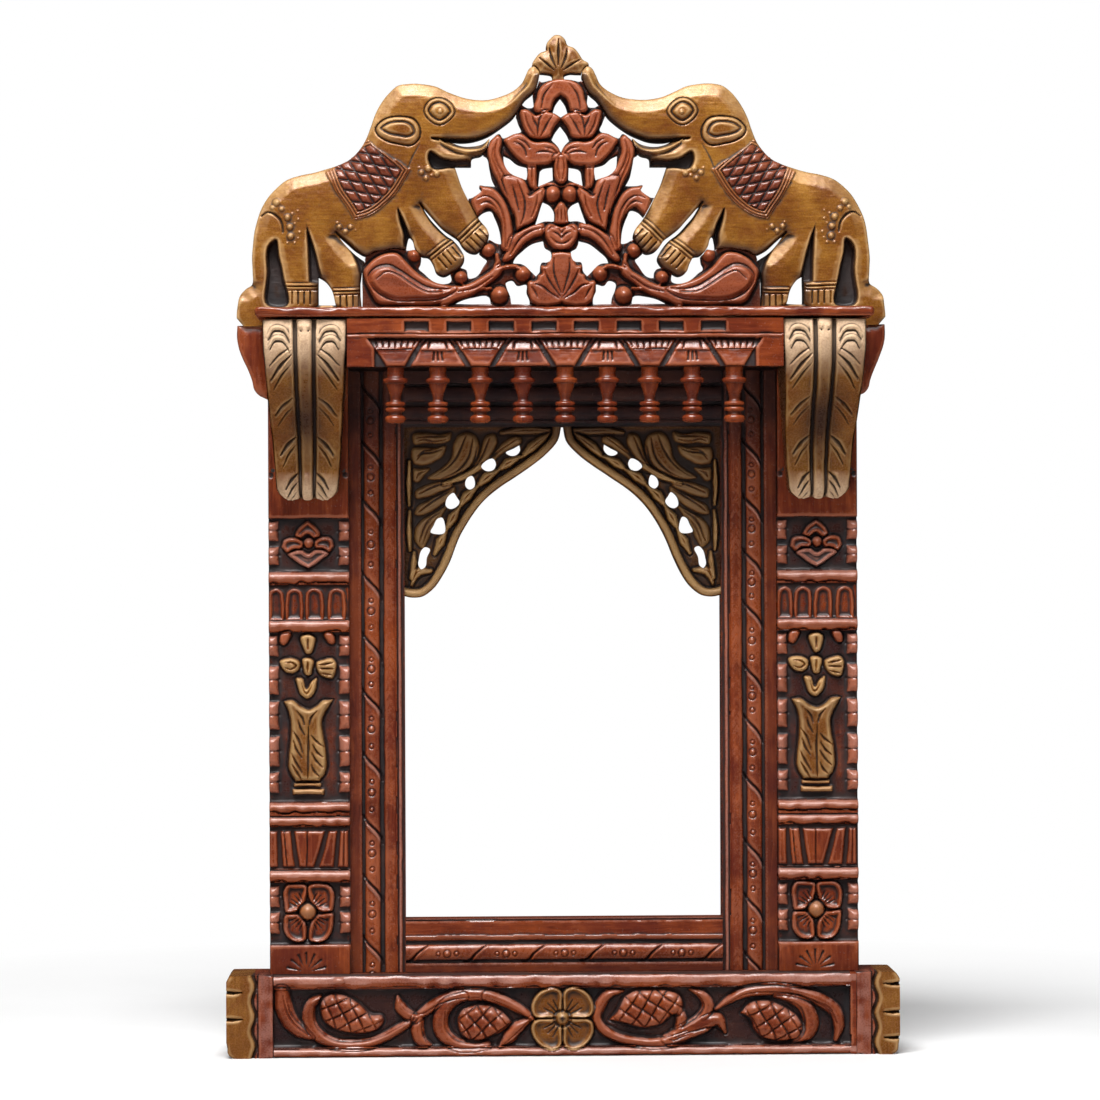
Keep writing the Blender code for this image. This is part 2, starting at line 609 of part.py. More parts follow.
def side_dowel_places(side):
    for share in SIDE_DOWEL_SHARES:
        height = OPENING_TOP - share * OPENING_HEIGHT
        yield (side * (FRAME_OUTER + GAP / 2), -FRAME_DEPTH / 2, height)


def rail_middles():
    return (0, OPENING_BOTTOM - SILL_FACE / 2)


def window_stiles():
    front = FRAME_DEPTH + OVERRUN
    run = (FRAME_BOTTOM - OVERRUN, HEAD_TOP + OVERRUN)
    for word, side in sides():
        body = block(
            between(side, FRAME_INNER, FRAME_OUTER), (0, FRAME_DEPTH), (FRAME_BOTTOM, HEAD_TOP)
        )
        cuts = [tenon_shape(side, height, GAP) for height in rail_middles()]
        cuts += [dowel_hole(place, "X") for place in side_dowel_places(side)]
        for start in (FILLET_WIDTH, FILLET_WIDTH + GROOVE_WIDTH + ROPE_WIDTH):
            edge = FRAME_OUTER - start
            cuts.append(
                block(between(side, edge - GROOVE_WIDTH, edge), (FRAME_DEPTH - GROOVE_DEPTH, front), run)
            )
        cuts.append(
            block(
                between(side, FRAME_INNER - OVERRUN, FRAME_INNER + EDGE_WIDTH),
                (FRAME_DEPTH - EDGE_DROP, front),
                run,
            )
        )
        cuts.append(
            block(
                between(side, FRAME_INNER - OVERRUN, FRAME_INNER + REBATE_WIDTH),
                (-OVERRUN, REBATE_DEPTH),
                (OPENING_BOTTOM - REBATE_WIDTH, OPENING_TOP + REBATE_WIDTH),
            )
        )
        piece(f"window_stile_{word}", body, RED, cut=cuts)


def window_rail(name, low, high, opening_edge, step):
    """A rail between the stiles, rebated on the side where the opening lies."""
    inner = FRAME_INNER - GAP
    middle = (low + high) / 2
    body = block((-inner, inner), (0, FRAME_DEPTH), (low, high))
    tenons = []
    for _, side in sides():
        tenon = block(
            between(side, inner - OVERRUN, FRAME_INNER + TENON_LENGTH - GAP),
            (TENON_BACK, TENON_BACK + TENON_THICKNESS),
            (middle - TENON_HEIGHT / 2, middle + TENON_HEIGHT / 2),
        )
        tenons.append(tenon)
    across = (-FRAME_INNER, FRAME_INNER)
    rebate = tuple(sorted((opening_edge + step * REBATE_WIDTH, opening_edge - step * OVERRUN)))
    edge = tuple(sorted((opening_edge + step * EDGE_WIDTH, opening_edge - step * OVERRUN)))
    cuts = [
        block(across, (-OVERRUN, REBATE_DEPTH), rebate),
        block(across, (FRAME_DEPTH - EDGE_DROP, FRAME_DEPTH + OVERRUN), edge),
    ]
    groove = low + GROOVE_WIDTH + FILLET_WIDTH / 2
    cuts.append(
        block(
            across,
            (FRAME_DEPTH - GROOVE_DEPTH, FRAME_DEPTH + OVERRUN),
            (groove, groove + GROOVE_WIDTH),
        )
    )
    piece(name, body, RED, joined=tenons, cut=cuts)


# Pillars

def flower(middle, size, base, petals=4):
    """A flat flower of round petals with a domed boss, standing on the given depth."""
    points = []
    steps = PETAL_STEPS * petals
    for i in range(steps):
        angle = 2 * math.pi * i / steps
        reach = size * (PETAL_DIP_SHARE + (1 - PETAL_DIP_SHARE) * abs(math.cos(petals * angle / 2)))
        points.append((middle[0] + reach * math.cos(angle), middle[1] + reach * math.sin(angle)))
    boss = size * BOSS_SIZE_SHARE
    return [
        board([points], (base - RUN_IN, base + CARVING_RISE)),
        dome((middle[0], -base - CARVING_RISE, middle[1]), (boss, boss / 2, boss)),
    ]



def capsule(middle, half_width, low, high):
    """The outline of an upright tongue with round ends."""
    points = []
    for centre, start in ((high - half_width, 0), (low + half_width, math.pi)):
        for i in range(ARC_STEPS + 1):
            angle = start + math.pi * i / ARC_STEPS
            points.append((middle + half_width * math.cos(angle), centre + half_width * math.sin(angle)))
    return points


def panel_height(name):
    return tuple(FRAME_BOTTOM + share * PILLAR_HEIGHT for share in PANEL_SHARES[name])


def pillar_carving():
    """The raised ornaments of the right pillar."""
    floor = PILLAR_DEPTH - PANEL_DEPTH
    deep = (floor - RUN_IN, floor + CARVING_RISE)
    half = PILLAR_WIDTH / 2 - PANEL_MARGIN
    added = []
    for name in ("square_flower", "star_flower"):
        low, high = panel_height(name)
        size = min(half, (high - low) / 2) * FLOWER_SIZE_SHARE
        added += flower((PILLAR_CENTRE, (low + high) / 2), size, floor)
    low, high = panel_height("vase")
    added.append(board([scaled(VASE_SHARES, half, high - low, 1, low, PILLAR_CENTRE)], deep))
    low, high = panel_height("tongues")
    rise = high - low
    for share in TONGUE_PLACE_SHARES:
        width = half * TONGUE_WIDTH_SHARE / 2
        margin = rise * TONGUE_MARGIN_SHARE
        outline = capsule(PILLAR_CENTRE + share * half, width, low + margin, high - margin)
        added.append(board([outline], deep))
    low, high = panel_height("flutes")
    for share in FLUTE_PLACE_SHARES:
        middle = PILLAR_CENTRE + share * half
        added.append(board([scaled(FLUTE_SHARES, half, high - low, 1, low, middle)], deep))
    return added


def pillar_cuts():
    """The sunk panels of the right pillar."""
    cuts = []
    for name in PANEL_SHARES:
        cuts.append(
            block(
                (PILLAR_INNER + PANEL_MARGIN, PILLAR_OUTER - PANEL_MARGIN),
                (PILLAR_DEPTH - PANEL_DEPTH, PILLAR_DEPTH + OVERRUN),
                panel_height(name),
            )
        )
    return cuts


def pin_places(side):
    height = FRAME_BOTTOM + PIN_PLACE_SHARE * PILLAR_HEIGHT
    for step in (-1, 1):
        across = side * PILLAR_CENTRE + step * PIN_SIDE_SHARE * PILLAR_WIDTH
        yield (across, -(PILLAR_DEPTH - PIN_LENGTH / 2), height)


def plate_middle():
    return PILLAR_TOP - PLATE_DROP


def plate_screw_places(side):
    for share in PLATE_SCREW_SHARES:
        yield (side * PILLAR_CENTRE, plate_middle() + share * PLATE_HEIGHT)


def hook_place(side):
    return (side * PILLAR_CENTRE, plate_middle() + HANG_HOLE_SHARE * PLATE_HEIGHT)


def fastening_cuts(side):
    """The pillar's holes for dowels, pins, screws, the plate and the wall hook."""
    cuts = [dowel_hole(place, "X") for place in side_dowel_places(side)]
    cuts.append(dowel_hole(plinth_dowel_place(side), "Z"))
    cuts.append(dowel_hole(elephant_dowel_place(side), "Z"))
    for place in pin_places(side):
        across, along, height = place
        longer = (across, along - OVERRUN / 2, height)
        cuts.append(rod(longer, PIN_RADIUS + GAP, PIN_LENGTH + OVERRUN + 2 * GAP, "Y", SMALL_SIDES))
    middle = plate_middle()
    cuts.append(
        block(
            between(side, PILLAR_CENTRE - PLATE_WIDTH / 2 - GAP, PILLAR_CENTRE + PLATE_WIDTH / 2 + GAP),
            (-OVERRUN, PLATE_THICKNESS + GAP),
            (middle - PLATE_HEIGHT / 2 - GAP, middle + PLATE_HEIGHT / 2 + GAP),
        )
    )
    for across, height in plate_screw_places(side):
        place = (across, -SCREW_LENGTH / 2, height)
        cuts.append(rod(place, SCREW_RADIUS + GAP, SCREW_LENGTH + 2 * GAP, "Y", SMALL_SIDES))
    across, height = hook_place(side)
    place = (across, -HOOK_POCKET_DEPTH / 2, height)
    cuts.append(rod(place, HANG_HOLE_RADIUS, HOOK_POCKET_DEPTH, "Y"))
    return cuts


def pillars():
    for word, side in sides():
        body = block(
            between(side, PILLAR_INNER, PILLAR_OUTER), (0, PILLAR_DEPTH), (FRAME_BOTTOM, PILLAR_TOP)
        )
        cuts = pillar_cuts()
        added = pillar_carving()
        for shape in (*cuts, *added):
            shape.location.x = 0 if side > 0 else -2 * PILLAR_CENTRE
        for share in RIB_SHARES:
            middle = (side * PILLAR_CENTRE, -PILLAR_DEPTH, FRAME_BOTTOM + share * PILLAR_HEIGHT)
            added.append(rod(middle, RIB_RADIUS, PILLAR_WIDTH - 2 * GAP, "X", SMALL_SIDES))
        first = piece("pillar_blank", body, RED, cut=cuts)
        PARTS.objects.unlink(first)
        CUTTERS.objects.link(first)
        piece(f"pillar_{word}", first, RED, joined=added, cut=fastening_cuts(side))


# Plinth

def plinth_dowel_place(side):
    return (side * PILLAR_CENTRE, -PILLAR_DEPTH / 2, FRAME_BOTTOM - GAP / 2)


def plinth():
    bottom = PLINTH_TOP - PLINTH_HEIGHT
    half = PLINTH_HALF_WIDTH - PLINTH_END_WIDTH
    body = block((-half, half), (0, PLINTH_DEPTH), (bottom, PLINTH_TOP))
    low = bottom + PLINTH_BEAD
    high = PLINTH_TOP - PLINTH_LEDGE
    floor = PLINTH_DEPTH - PLINTH_PANEL_DEPTH
    panel = block((-half - OVERRUN, half + OVERRUN), (floor, PLINTH_DEPTH + OVERRUN), (low, high))
    rise = (high - low) / 2
    middle = (low + high) / 2
    added = flower((0, middle), rise * FLOWER_SIZE_SHARE, floor)
    deep = (floor - RUN_IN, floor + CARVING_RISE)
    for across, up in CONE_PLACE_SHARES:
        outline = []
        for i in range(ROUND_SIDES):
            angle = 2 * math.pi * i / ROUND_SIDES
            width, height = CONE_SIZE_SHARES
            outline.append(
                (
                    (across + width * math.cos(angle)) * half,
                    middle + (up + height * math.sin(angle)) * rise,
                )
            )
        added.append(board([outline], deep))
    for shares in STEM_SHARES:
        added.append(stem(scaled(shares, half, rise, 1, middle), STEM_RADIUS, floor))
    blank = piece("plinth_blank", body, RED, cut=[panel])
    PARTS.objects.unlink(blank)
    CUTTERS.objects.link(blank)
    holes = [dowel_hole(plinth_dowel_place(side), "Z") for _, side in sides()]
    piece("plinth_board", blank, RED, joined=added, cut=holes)
    for word, side in sides():
        body = block(
            between(side, half + GAP, PLINTH_HALF_WIDTH), (0, PLINTH_DEPTH), (bottom, PLINTH_TOP)
        )
        notches = []
        for share in NOTCH_PLACE_SHARES:
            height = bottom + share * PLINTH_HEIGHT
            notches.append(
                block(
                    between(side, PLINTH_HALF_WIDTH - NOTCH_DEPTH, PLINTH_HALF_WIDTH + OVERRUN),
                    (PLINTH_DEPTH - PLINTH_PANEL_DEPTH, PLINTH_DEPTH + OVERRUN),
                    (height - NOTCH_WIDTH / 2, height + NOTCH_WIDTH / 2),
                )
            )
        piece(f"plinth_end_{word}", body, GOLD, cut=notches)


# Canopy

def pendant_places():
    first = -(PENDANT_COUNT - 1) / 2
    return [(first + i) * PENDANT_PITCH for i in range(PENDANT_COUNT)]


def canopy_fascia():
    body = block((-CANOPY_HALF, CANOPY_HALF), (FASCIA_BACK, FASCIA_FRONT), (FASCIA_BOTTOM, FASCIA_TOP))
    floor = FASCIA_FRONT - FASCIA_CARVING
    dentil_low = FASCIA_TOP - DENTIL_HEIGHT
    cuts = []
    places = pendant_places()
    for first, second in zip(places, places[1:]):
        cuts.append(
            block(
                (first + DENTIL_WIDTH / 2, second - DENTIL_WIDTH / 2),
                (floor, FASCIA_FRONT + OVERRUN),
                (dentil_low, FASCIA_TOP - LEDGE_HEIGHT),
            )
        )
    petal_top = dentil_low - LEDGE_HEIGHT
    top = CHEVRON_TOP_SHARE * PENDANT_PITCH
    bottom = CHEVRON_BOTTOM_SHARE * PENDANT_PITCH
    for i, place in enumerate(places):
        if i % 2 == 0:
            continue
        for side in (-1, 1):
            outline = [
                (place + side * top, petal_top),
                (place + side * (top + GROOVE_WIDTH), petal_top),
                (place + side * (bottom + GROOVE_WIDTH), FASCIA_BOTTOM - OVERRUN),
                (place + side * bottom, FASCIA_BOTTOM - OVERRUN),
            ]
            cuts.append(board([outline], (floor, FASCIA_FRONT + OVERRUN)))
    for place in places:
        spot = (place, -PENDANT_DEPTH, FASCIA_BOTTOM + (SPIGOT_LENGTH + GAP - OVERRUN) / 2)
        cuts.append(rod(spot, SPIGOT_RADIUS + GAP, SPIGOT_LENGTH + GAP + OVERRUN, "Z", SMALL_SIDES))
    piece("canopy_fascia", body, RED, cut=cuts)


def pendants():
    top = FASCIA_BOTTOM - GAP
    profile = [(0, SPIGOT_LENGTH), (SPIGOT_RADIUS, SPIGOT_LENGTH), (SPIGOT_RADIUS, 0)]
    profile += [
        (radius * PENDANT_RADIUS, -down * PENDANT_LENGTH) for radius, down in PENDANT_PROFILE_SHARES
    ]
    profile.append((0, -PENDANT_LENGTH))
    first = None
    for i, place in enumerate(pendant_places()):
        name = f"pendant_{i + 1}"
        if first is None:
            first = piece(name, turned(profile), RED, rounded=True)
            first.location = (place, -PENDANT_DEPTH, top)
        else:
            again(name, first, (place - pendant_places()[0], 0, 0))


def canopy_boards():
    piece(
        "canopy_shelf",
        block(
            (-SHELF_HALF_WIDTH, SHELF_HALF_WIDTH),
            (CROWN_THICKNESS + GAP, CANOPY_DEPTH),
            (SHELF_BOTTOM, SHELF_BOTTOM + SHELF_THICKNESS),
        ),
        RED,
    )
    piece(
        "canopy_soffit",
        block(
            (-CANOPY_HALF, CANOPY_HALF),
            (BACK_BOARD_THICKNESS + GAP, FASCIA_BACK - GAP),
            (FASCIA_BOTTOM, FASCIA_BOTTOM + SOFFIT_THICKNESS),
        ),
        DARK,
    )
    back = block((-CANOPY_HALF, CANOPY_HALF), (0, BACK_BOARD_THICKNESS), (FASCIA_BOTTOM, FASCIA_TOP))
    holes = [dowel_hole(tracery_dowel_place(side), "Z") for _, side in sides()]
    piece("canopy_back_board", back, WOOD, cut=holes)


# Brackets and ears

def bracket_curve(inset):
    """The front edge of a bracket's side view, as distances from the wall and heights, moved inwards."""
    reach = FASCIA_FRONT - BRACKET_BACK
    return [
        (BRACKET_BACK + out * reach - inset, FASCIA_TOP - down * BRACKET_HEIGHT)
        for out, down in BRACKET_PROFILE_SHARES
    ]


def brackets():
    foot = FASCIA_TOP - BRACKET_HEIGHT
    for word, side in sides():
        middle = side * PILLAR_CENTRE
        reach = (middle - BRACKET_WIDTH, middle + BRACKET_WIDTH)
        outline = [(BRACKET_BACK, FASCIA_TOP), *bracket_curve(0), (BRACKET_BACK, foot)]
        body = board([outline], reach, sideways=True)
        half = BRACKET_WIDTH / 2
        foot_half = BRACKET_FOOT_WIDTH / 2
        face = [(middle - half, FASCIA_TOP + OVERRUN), (middle + half, FASCIA_TOP + OVERRUN)]
        for i in range(ARC_STEPS + 1):
            angle = -math.pi * i / ARC_STEPS
            across = middle + foot_half * math.cos(angle)
            face.append((across, foot + foot_half / 2 + foot_half / 2 * math.sin(angle) - GAP))
        trim = board([face], (BRACKET_BACK - OVERRUN, FASCIA_FRONT + OVERRUN))
        step = body.modifiers.new("Trim", "BOOLEAN")
        step.operation = "INTERSECT"
        step.solver = "EXACT"
        step.object = trim
        grooves = []
        for step_side in (-1, 1):
            start = middle + step_side * (BRACKET_RIB_WIDTH + BRACKET_GROOVE_WIDTH) / 2
            run = (start - BRACKET_GROOVE_WIDTH / 2, start + BRACKET_GROOVE_WIDTH / 2)
            front = FASCIA_FRONT + OVERRUN
            cut = bracket_curve(BRACKET_GROOVE_DEPTH)[:-2]
            cut[0] = (cut[0][0], FASCIA_TOP + OVERRUN)
            cut += [(front, cut[-1][1]), (front, FASCIA_TOP + OVERRUN)]
            grooves.append(board([cut], run, sideways=True))
        piece(f"bracket_{word}", body, GOLD, cut=grooves, rounded=True)
        bpy.data.objects.remove(trim)


def ears():
    for word, side in sides():
        edge = side * (PILLAR_OUTER + GAP)
        outline = scaled(EAR_SHARES, EAR_WIDTH, EAR_HEIGHT, side, PILLAR_TOP, edge)
        piece(f"ear_{word}", board([outline], (0, EAR_THICKNESS)), RED)


# Crown

def crown_points(shares, side):
    return scaled(shares, CROWN_HALF_WIDTH, CROWN_HEIGHT, side, SHELF_BOTTOM)


def grown(outline, distance):
    """An outline moved outwards along the corners' bisectors."""
    count = len(outline)
    area = sum(
        outline[i][0] * outline[(i + 1) % count][1] - outline[(i + 1) % count][0] * outline[i][1]
        for i in range(count)
    )
    way = distance if area > 0 else -distance
    moved = []
    for i, (across, up) in enumerate(outline):
        before = Vector(outline[i - 1])
        after = Vector(outline[(i + 1) % count])
        along = (after - before).normalized()
        moved.append((across + way * along.y, up - way * along.x))
    return moved


def oval(centre, radii, side, steps=16):
    middle_across, middle_up = centre
    shares = []
    for i in range(steps):
        angle = 2 * math.pi * i / steps
        shares.append((middle_across + radii[0] * math.cos(angle), middle_up + radii[1] * math.sin(angle)))
    return crown_points(shares, side)


def elephant_dowel_place(side):
    return (side * ELEPHANT_DOWEL_SHARE * CROWN_HALF_WIDTH, -CROWN_MIDDLE, SHELF_BOTTOM - GAP / 2)


def tracery_dowel_place(side):
    return (side * TRACERY_DOWEL_SHARE * CROWN_HALF_WIDTH, -CROWN_MIDDLE, SHELF_BOTTOM - GAP / 2)


def elephants():
    deep = (0, CROWN_THICKNESS)
    raised = (CROWN_THICKNESS - RUN_IN, CROWN_THICKNESS + CROWN_CARVING)
    for word, side in sides():
        outline = crown_points(ELEPHANT_SHARES, side)
        body = board([outline, crown_points(LEG_GAP_SHARES, side)], deep)
        added = []
        flat = (
            BLANKET_SHARES,
            TUSK_SHARES,
            FRONT_CUFF_SHARES,
            MIDDLE_CUFF_SHARES,
            REAR_CUFF_SHARES,
            HIND_CUFF_SHARES,
        )
        for shares in flat:
            added.append(board([crown_points(shares, side)], raised))
        for centre, radii in (
            (EAR_CENTRE_SHARES, EAR_RADIUS_SHARES),
            (EYE_CENTRE_SHARES, EYE_RADIUS_SHARES),
        ):
            added.append(board([oval(centre, radii, side)], raised))
        hole = dowel_hole(elephant_dowel_place(side), "Z")
        piece(f"elephant_{word}", body, GOLD, joined=added, cut=[hole])


def crown_tracery():
    left = crown_points(TRACERY_SHARES, -1)
    right = crown_points(TRACERY_SHARES, 1)
    body = board([left + right[::-1]], (0, CROWN_THICKNESS))
    through = (-OVERRUN, CROWN_THICKNESS + OVERRUN)
    cuts = [board([crown_points(shares, 1)], through) for shares in TRACERY_MIDDLE_OPENING_SHARES]
    raised = (CROWN_THICKNESS - RUN_IN, CROWN_THICKNESS + CROWN_CARVING)
    added = [board([crown_points(PALMETTE_SHARES, 1)], raised)]
    radius = BERRY_RADIUS_SHARE * CROWN_HALF_WIDTH
    for _, side in sides():
        for shares in TRACERY_OPENING_SHARES:
            cuts.append(board([crown_points(shares, side)], through))
        cuts.append(board([grown(crown_points(ELEPHANT_SHARES, side), GAP)], through))
        cuts.append(dowel_hole(tracery_dowel_place(side), "Z"))
        for shares in (PAISLEY_SHARES, FLAME_SHARES):
            added.append(board([crown_points(shares, side)], raised))
        for across, up in crown_points(BERRY_SHARES, side):
            added.append(dome((across, -CROWN_THICKNESS, up), (radius, CROWN_CARVING, radius)))
    piece("crown_tracery", body, RED, joined=added, cut=cuts)


def finial():
    foot = SHELF_BOTTOM + TRACERY_TOP_SHARE * CROWN_HEIGHT + GAP
    outline = scaled(FINIAL_SHARES, FINIAL_WIDTH / 2, FINIAL_HEIGHT, 1, foot)
    deep = (CROWN_MIDDLE - FINIAL_THICKNESS / 2, CROWN_MIDDLE + FINIAL_THICKNESS / 2)
    through = (-OVERRUN, CROWN_THICKNESS + OVERRUN)
    tip_shares = ELEPHANT_SHARES[TRUNK_TIP_FIRST:TRUNK_TIP_LAST]
    tips = [board([grown(crown_points(tip_shares, side), GAP)], through) for _, side in sides()]
    piece("finial", board([outline], deep), GOLD, cut=tips)


# Spandrels

def spandrels():
    half = FRAME_INNER - GAP
    top = OPENING_TOP - GAP
    deep = (SPANDREL_BACK, SPANDREL_BACK + SPANDREL_THICKNESS)
    raised = (deep[1] - RUN_IN, deep[1] + CARVING_RISE / 2)
    for word, side in sides():
        body = board([scaled(SPANDREL_SHARES, half, SPANDREL_HEIGHT, side, top)], deep)
        cuts = []
        for shares in SPANDREL_OPENING_SHARES:
            outline = scaled(shares, half, SPANDREL_HEIGHT, side, top)
            cuts.append(board([outline], (deep[0] - OVERRUN, raised[1] + OVERRUN)))
        added = []
        for shares in (SPANDREL_RIM_SHARES, *SPANDREL_LEAF_SHARES):
            added.append(board([scaled(shares, half, SPANDREL_HEIGHT, side, top)], raised))
        piece(f"spandrel_{word}", body, GOLD, joined=added, cut=cuts)


# Fastenings

def dowel(name, place, axis):
    piece(name, rod(place, DOWEL_RADIUS, 2 * DOWEL_HALF_LENGTH, axis), WOOD, rounded=True)


def fastenings():
    for word, side in sides():
        dowel(f"plinth_dowel_{word}", plinth_dowel_place(side), "Z")
        dowel(f"elephant_dowel_{word}", elephant_dowel_place(side), "Z")
        dowel(f"tracery_dowel_{word}", tracery_dowel_place(side), "Z")
        for number, place in enumerate(side_dowel_places(side), 1):
            dowel(f"pillar_dowel_{word}_{number}", place, "X")
        for number, place in enumerate(pin_places(side), 1):
            pin = rod(place, PIN_RADIUS, PIN_LENGTH, "Y", SMALL_SIDES)
            piece(f"bracket_pin_{word}_{number}", pin, METAL, rounded=True)
        hanging_plate(word, side)


def hanging_plate(word, side):
    middle = plate_middle()
    body = block(
        between(side, PILLAR_CENTRE - PLATE_WIDTH / 2, PILLAR_CENTRE + PLATE_WIDTH / 2),
        (0, PLATE_THICKNESS),
        (middle - PLATE_HEIGHT / 2, middle + PLATE_HEIGHT / 2),
    )
    through = PLATE_THICKNESS + 2 * OVERRUN
    across, height = hook_place(side)
    cuts = [rod((across, -PLATE_THICKNESS / 2, height), HANG_HOLE_RADIUS, through, "Y")]
    for number, (across, height) in enumerate(plate_screw_places(side), 1):
        cuts.append(screw_cutter(across, height))
        screw = turned(screw_profile())
        screw.rotation_euler = (-math.pi / 2, 0, 0)
        screw.location = (across, 0, height)
        piece(f"plate_screw_{word}_{number}", screw, METAL, rounded=True)
    piece(f"hanging_plate_{word}", body, METAL, cut=cuts)


def screw_profile():
    """A countersunk screw's radii and heights, its flat head at the top."""
    return [
        (0, 0),
        (SCREW_HEAD_RADIUS, 0),
        (SCREW_RADIUS, -PLATE_THICKNESS),
        (SCREW_RADIUS, -SCREW_LENGTH + SCREW_RADIUS),
        (0, -SCREW_LENGTH),
    ]


def screw_cutter(across, height):
    """The countersunk hole for a screw in a hanging plate."""
    cutter = turned(
        [
            (0, OVERRUN),
            (SCREW_HEAD_RADIUS + GAP, OVERRUN),
            (SCREW_HEAD_RADIUS + GAP, 0),
            (SCREW_RADIUS + GAP, -PLATE_THICKNESS),
            (SCREW_RADIUS + GAP, -PLATE_THICKNESS - OVERRUN),
            (0, -PLATE_THICKNESS - OVERRUN),
        ]
    )
    cutter.rotation_euler = (-math.pi / 2, 0, 0)
    cutter.location = (across, 0, height)
    return cutter


window_stiles()
window_rail("window_head_rail", OPENING_TOP, HEAD_TOP, OPENING_TOP, 1)
window_rail("window_sill_rail", FRAME_BOTTOM, OPENING_BOTTOM, OPENING_BOTTOM, -1)
pillars()
plinth()
canopy_boards()
canopy_fascia()
pendants()
brackets()
ears()
elephants()
crown_tracery()
finial()
spandrels()
fastenings()
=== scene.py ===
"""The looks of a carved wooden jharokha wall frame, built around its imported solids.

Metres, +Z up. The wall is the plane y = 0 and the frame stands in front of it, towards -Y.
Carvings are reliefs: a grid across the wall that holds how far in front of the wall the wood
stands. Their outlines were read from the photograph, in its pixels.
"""

import math

import bmesh
import bpy
import numpy as np
from mathutils import Euler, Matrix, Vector


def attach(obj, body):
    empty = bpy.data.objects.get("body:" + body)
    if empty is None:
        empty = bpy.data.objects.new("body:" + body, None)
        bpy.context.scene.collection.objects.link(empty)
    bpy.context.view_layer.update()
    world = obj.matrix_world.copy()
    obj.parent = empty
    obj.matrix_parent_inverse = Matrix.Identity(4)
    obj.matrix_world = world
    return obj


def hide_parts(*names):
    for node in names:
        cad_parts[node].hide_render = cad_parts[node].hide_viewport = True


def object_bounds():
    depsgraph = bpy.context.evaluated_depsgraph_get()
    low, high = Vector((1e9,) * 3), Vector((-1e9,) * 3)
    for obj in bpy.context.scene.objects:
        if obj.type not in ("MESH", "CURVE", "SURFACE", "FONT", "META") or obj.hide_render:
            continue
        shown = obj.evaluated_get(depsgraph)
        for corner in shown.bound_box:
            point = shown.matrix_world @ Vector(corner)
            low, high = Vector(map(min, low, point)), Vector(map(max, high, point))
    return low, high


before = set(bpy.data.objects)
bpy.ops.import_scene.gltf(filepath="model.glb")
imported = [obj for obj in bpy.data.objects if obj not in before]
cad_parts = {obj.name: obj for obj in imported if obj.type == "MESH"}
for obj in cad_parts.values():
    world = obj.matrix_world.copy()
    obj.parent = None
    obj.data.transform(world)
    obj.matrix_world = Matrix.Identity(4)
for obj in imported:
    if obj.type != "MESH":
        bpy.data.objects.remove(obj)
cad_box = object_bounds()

# Metres to a pixel of the photograph at the wall. Parts in front of it have their own scales.
PIXEL = 0.0006
STILE_PIXEL = 0.5946e-3
SPANDREL_PIXEL = 0.5975e-3
FASCIA_PIXEL, FASCIA_PIXEL_UP = 0.598e-3, 0.56e-3
PLINTH_PIXEL, PLINTH_PIXEL_UP = 0.5955e-3, 0.5975e-3
# How much the frame's level lines rise in it with each pixel to the right
TILT = 0.00785
# The row of its pixels on which the origin lies
ORIGIN_ROW = 401.99
# Enlarged views of it, over which forms were drawn: left, top and scale
CROWN_VIEW = (220, 20, 1568 / 340)
TRACERY_VIEW = (439.5, 60, 6.27)
SPANDREL_VIEW = (390, 410, 1568 / 340)
UPPER_PILLAR_VIEW = (260, 490, 5.807)
LOWER_PILLAR_VIEW = (260, 740, 6.272)
LEFT_VIEW, MIDDLE_VIEW = (215, 940, 1568 / 265), (460, 940, 1568 / 240)
RIGHT_VIEW = (660, 940, 1568 / 250)

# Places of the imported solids
SHELF_FOOT = 0.0451
PILLAR_TOP = 0.0448
FRAME_TOP, FRAME_FOOT = 0.0165, -0.343
OPENING_HALF = 0.09497

# Grid and hand work
FINE = 0.00045
PLAIN = 0.0005
WOBBLE = 0.00022
WOBBLE_SIZE = 0.009
TOOL_MARK = 0.00008
TOOL_MARK_SIZE = 0.0022
REACH = 0.004
CLEARANCE = 0.0004
CREASE = math.radians(48)
# Random values along each side of the noise's lattice, and a shift that keeps places above zero
LATTICE = 61
LATTICE_SHIFT = 1000


def smooth_step(share):
    share = np.clip(share, 0, 1)
    return share * share * (3 - 2 * share)


def rounded(share):
    """Height of a rounded edge, from 0 at its foot to 1 where the edge ends."""
    return 1 - (1 - np.clip(share, 0, 1)) ** 2.2


def noise(across, up, size, seed):
    """Smooth random values from -1 to 1 over a lattice of the given spacing."""
    lattice = np.random.default_rng(seed).uniform(-1, 1, (LATTICE, LATTICE))
    u, v = across / size + LATTICE_SHIFT, up / size + LATTICE_SHIFT
    i, j = np.floor(u).astype(int), np.floor(v).astype(int)
    s, t = smooth_step(u - i), smooth_step(v - j)
    i, j = i % LATTICE, j % LATTICE
    k, m = (i + 1) % LATTICE, (j + 1) % LATTICE
    first = lattice[i, j] * (1 - s) + lattice[k, j] * s
    second = lattice[i, m] * (1 - s) + lattice[k, m] * s
    return first * (1 - t) + second * t


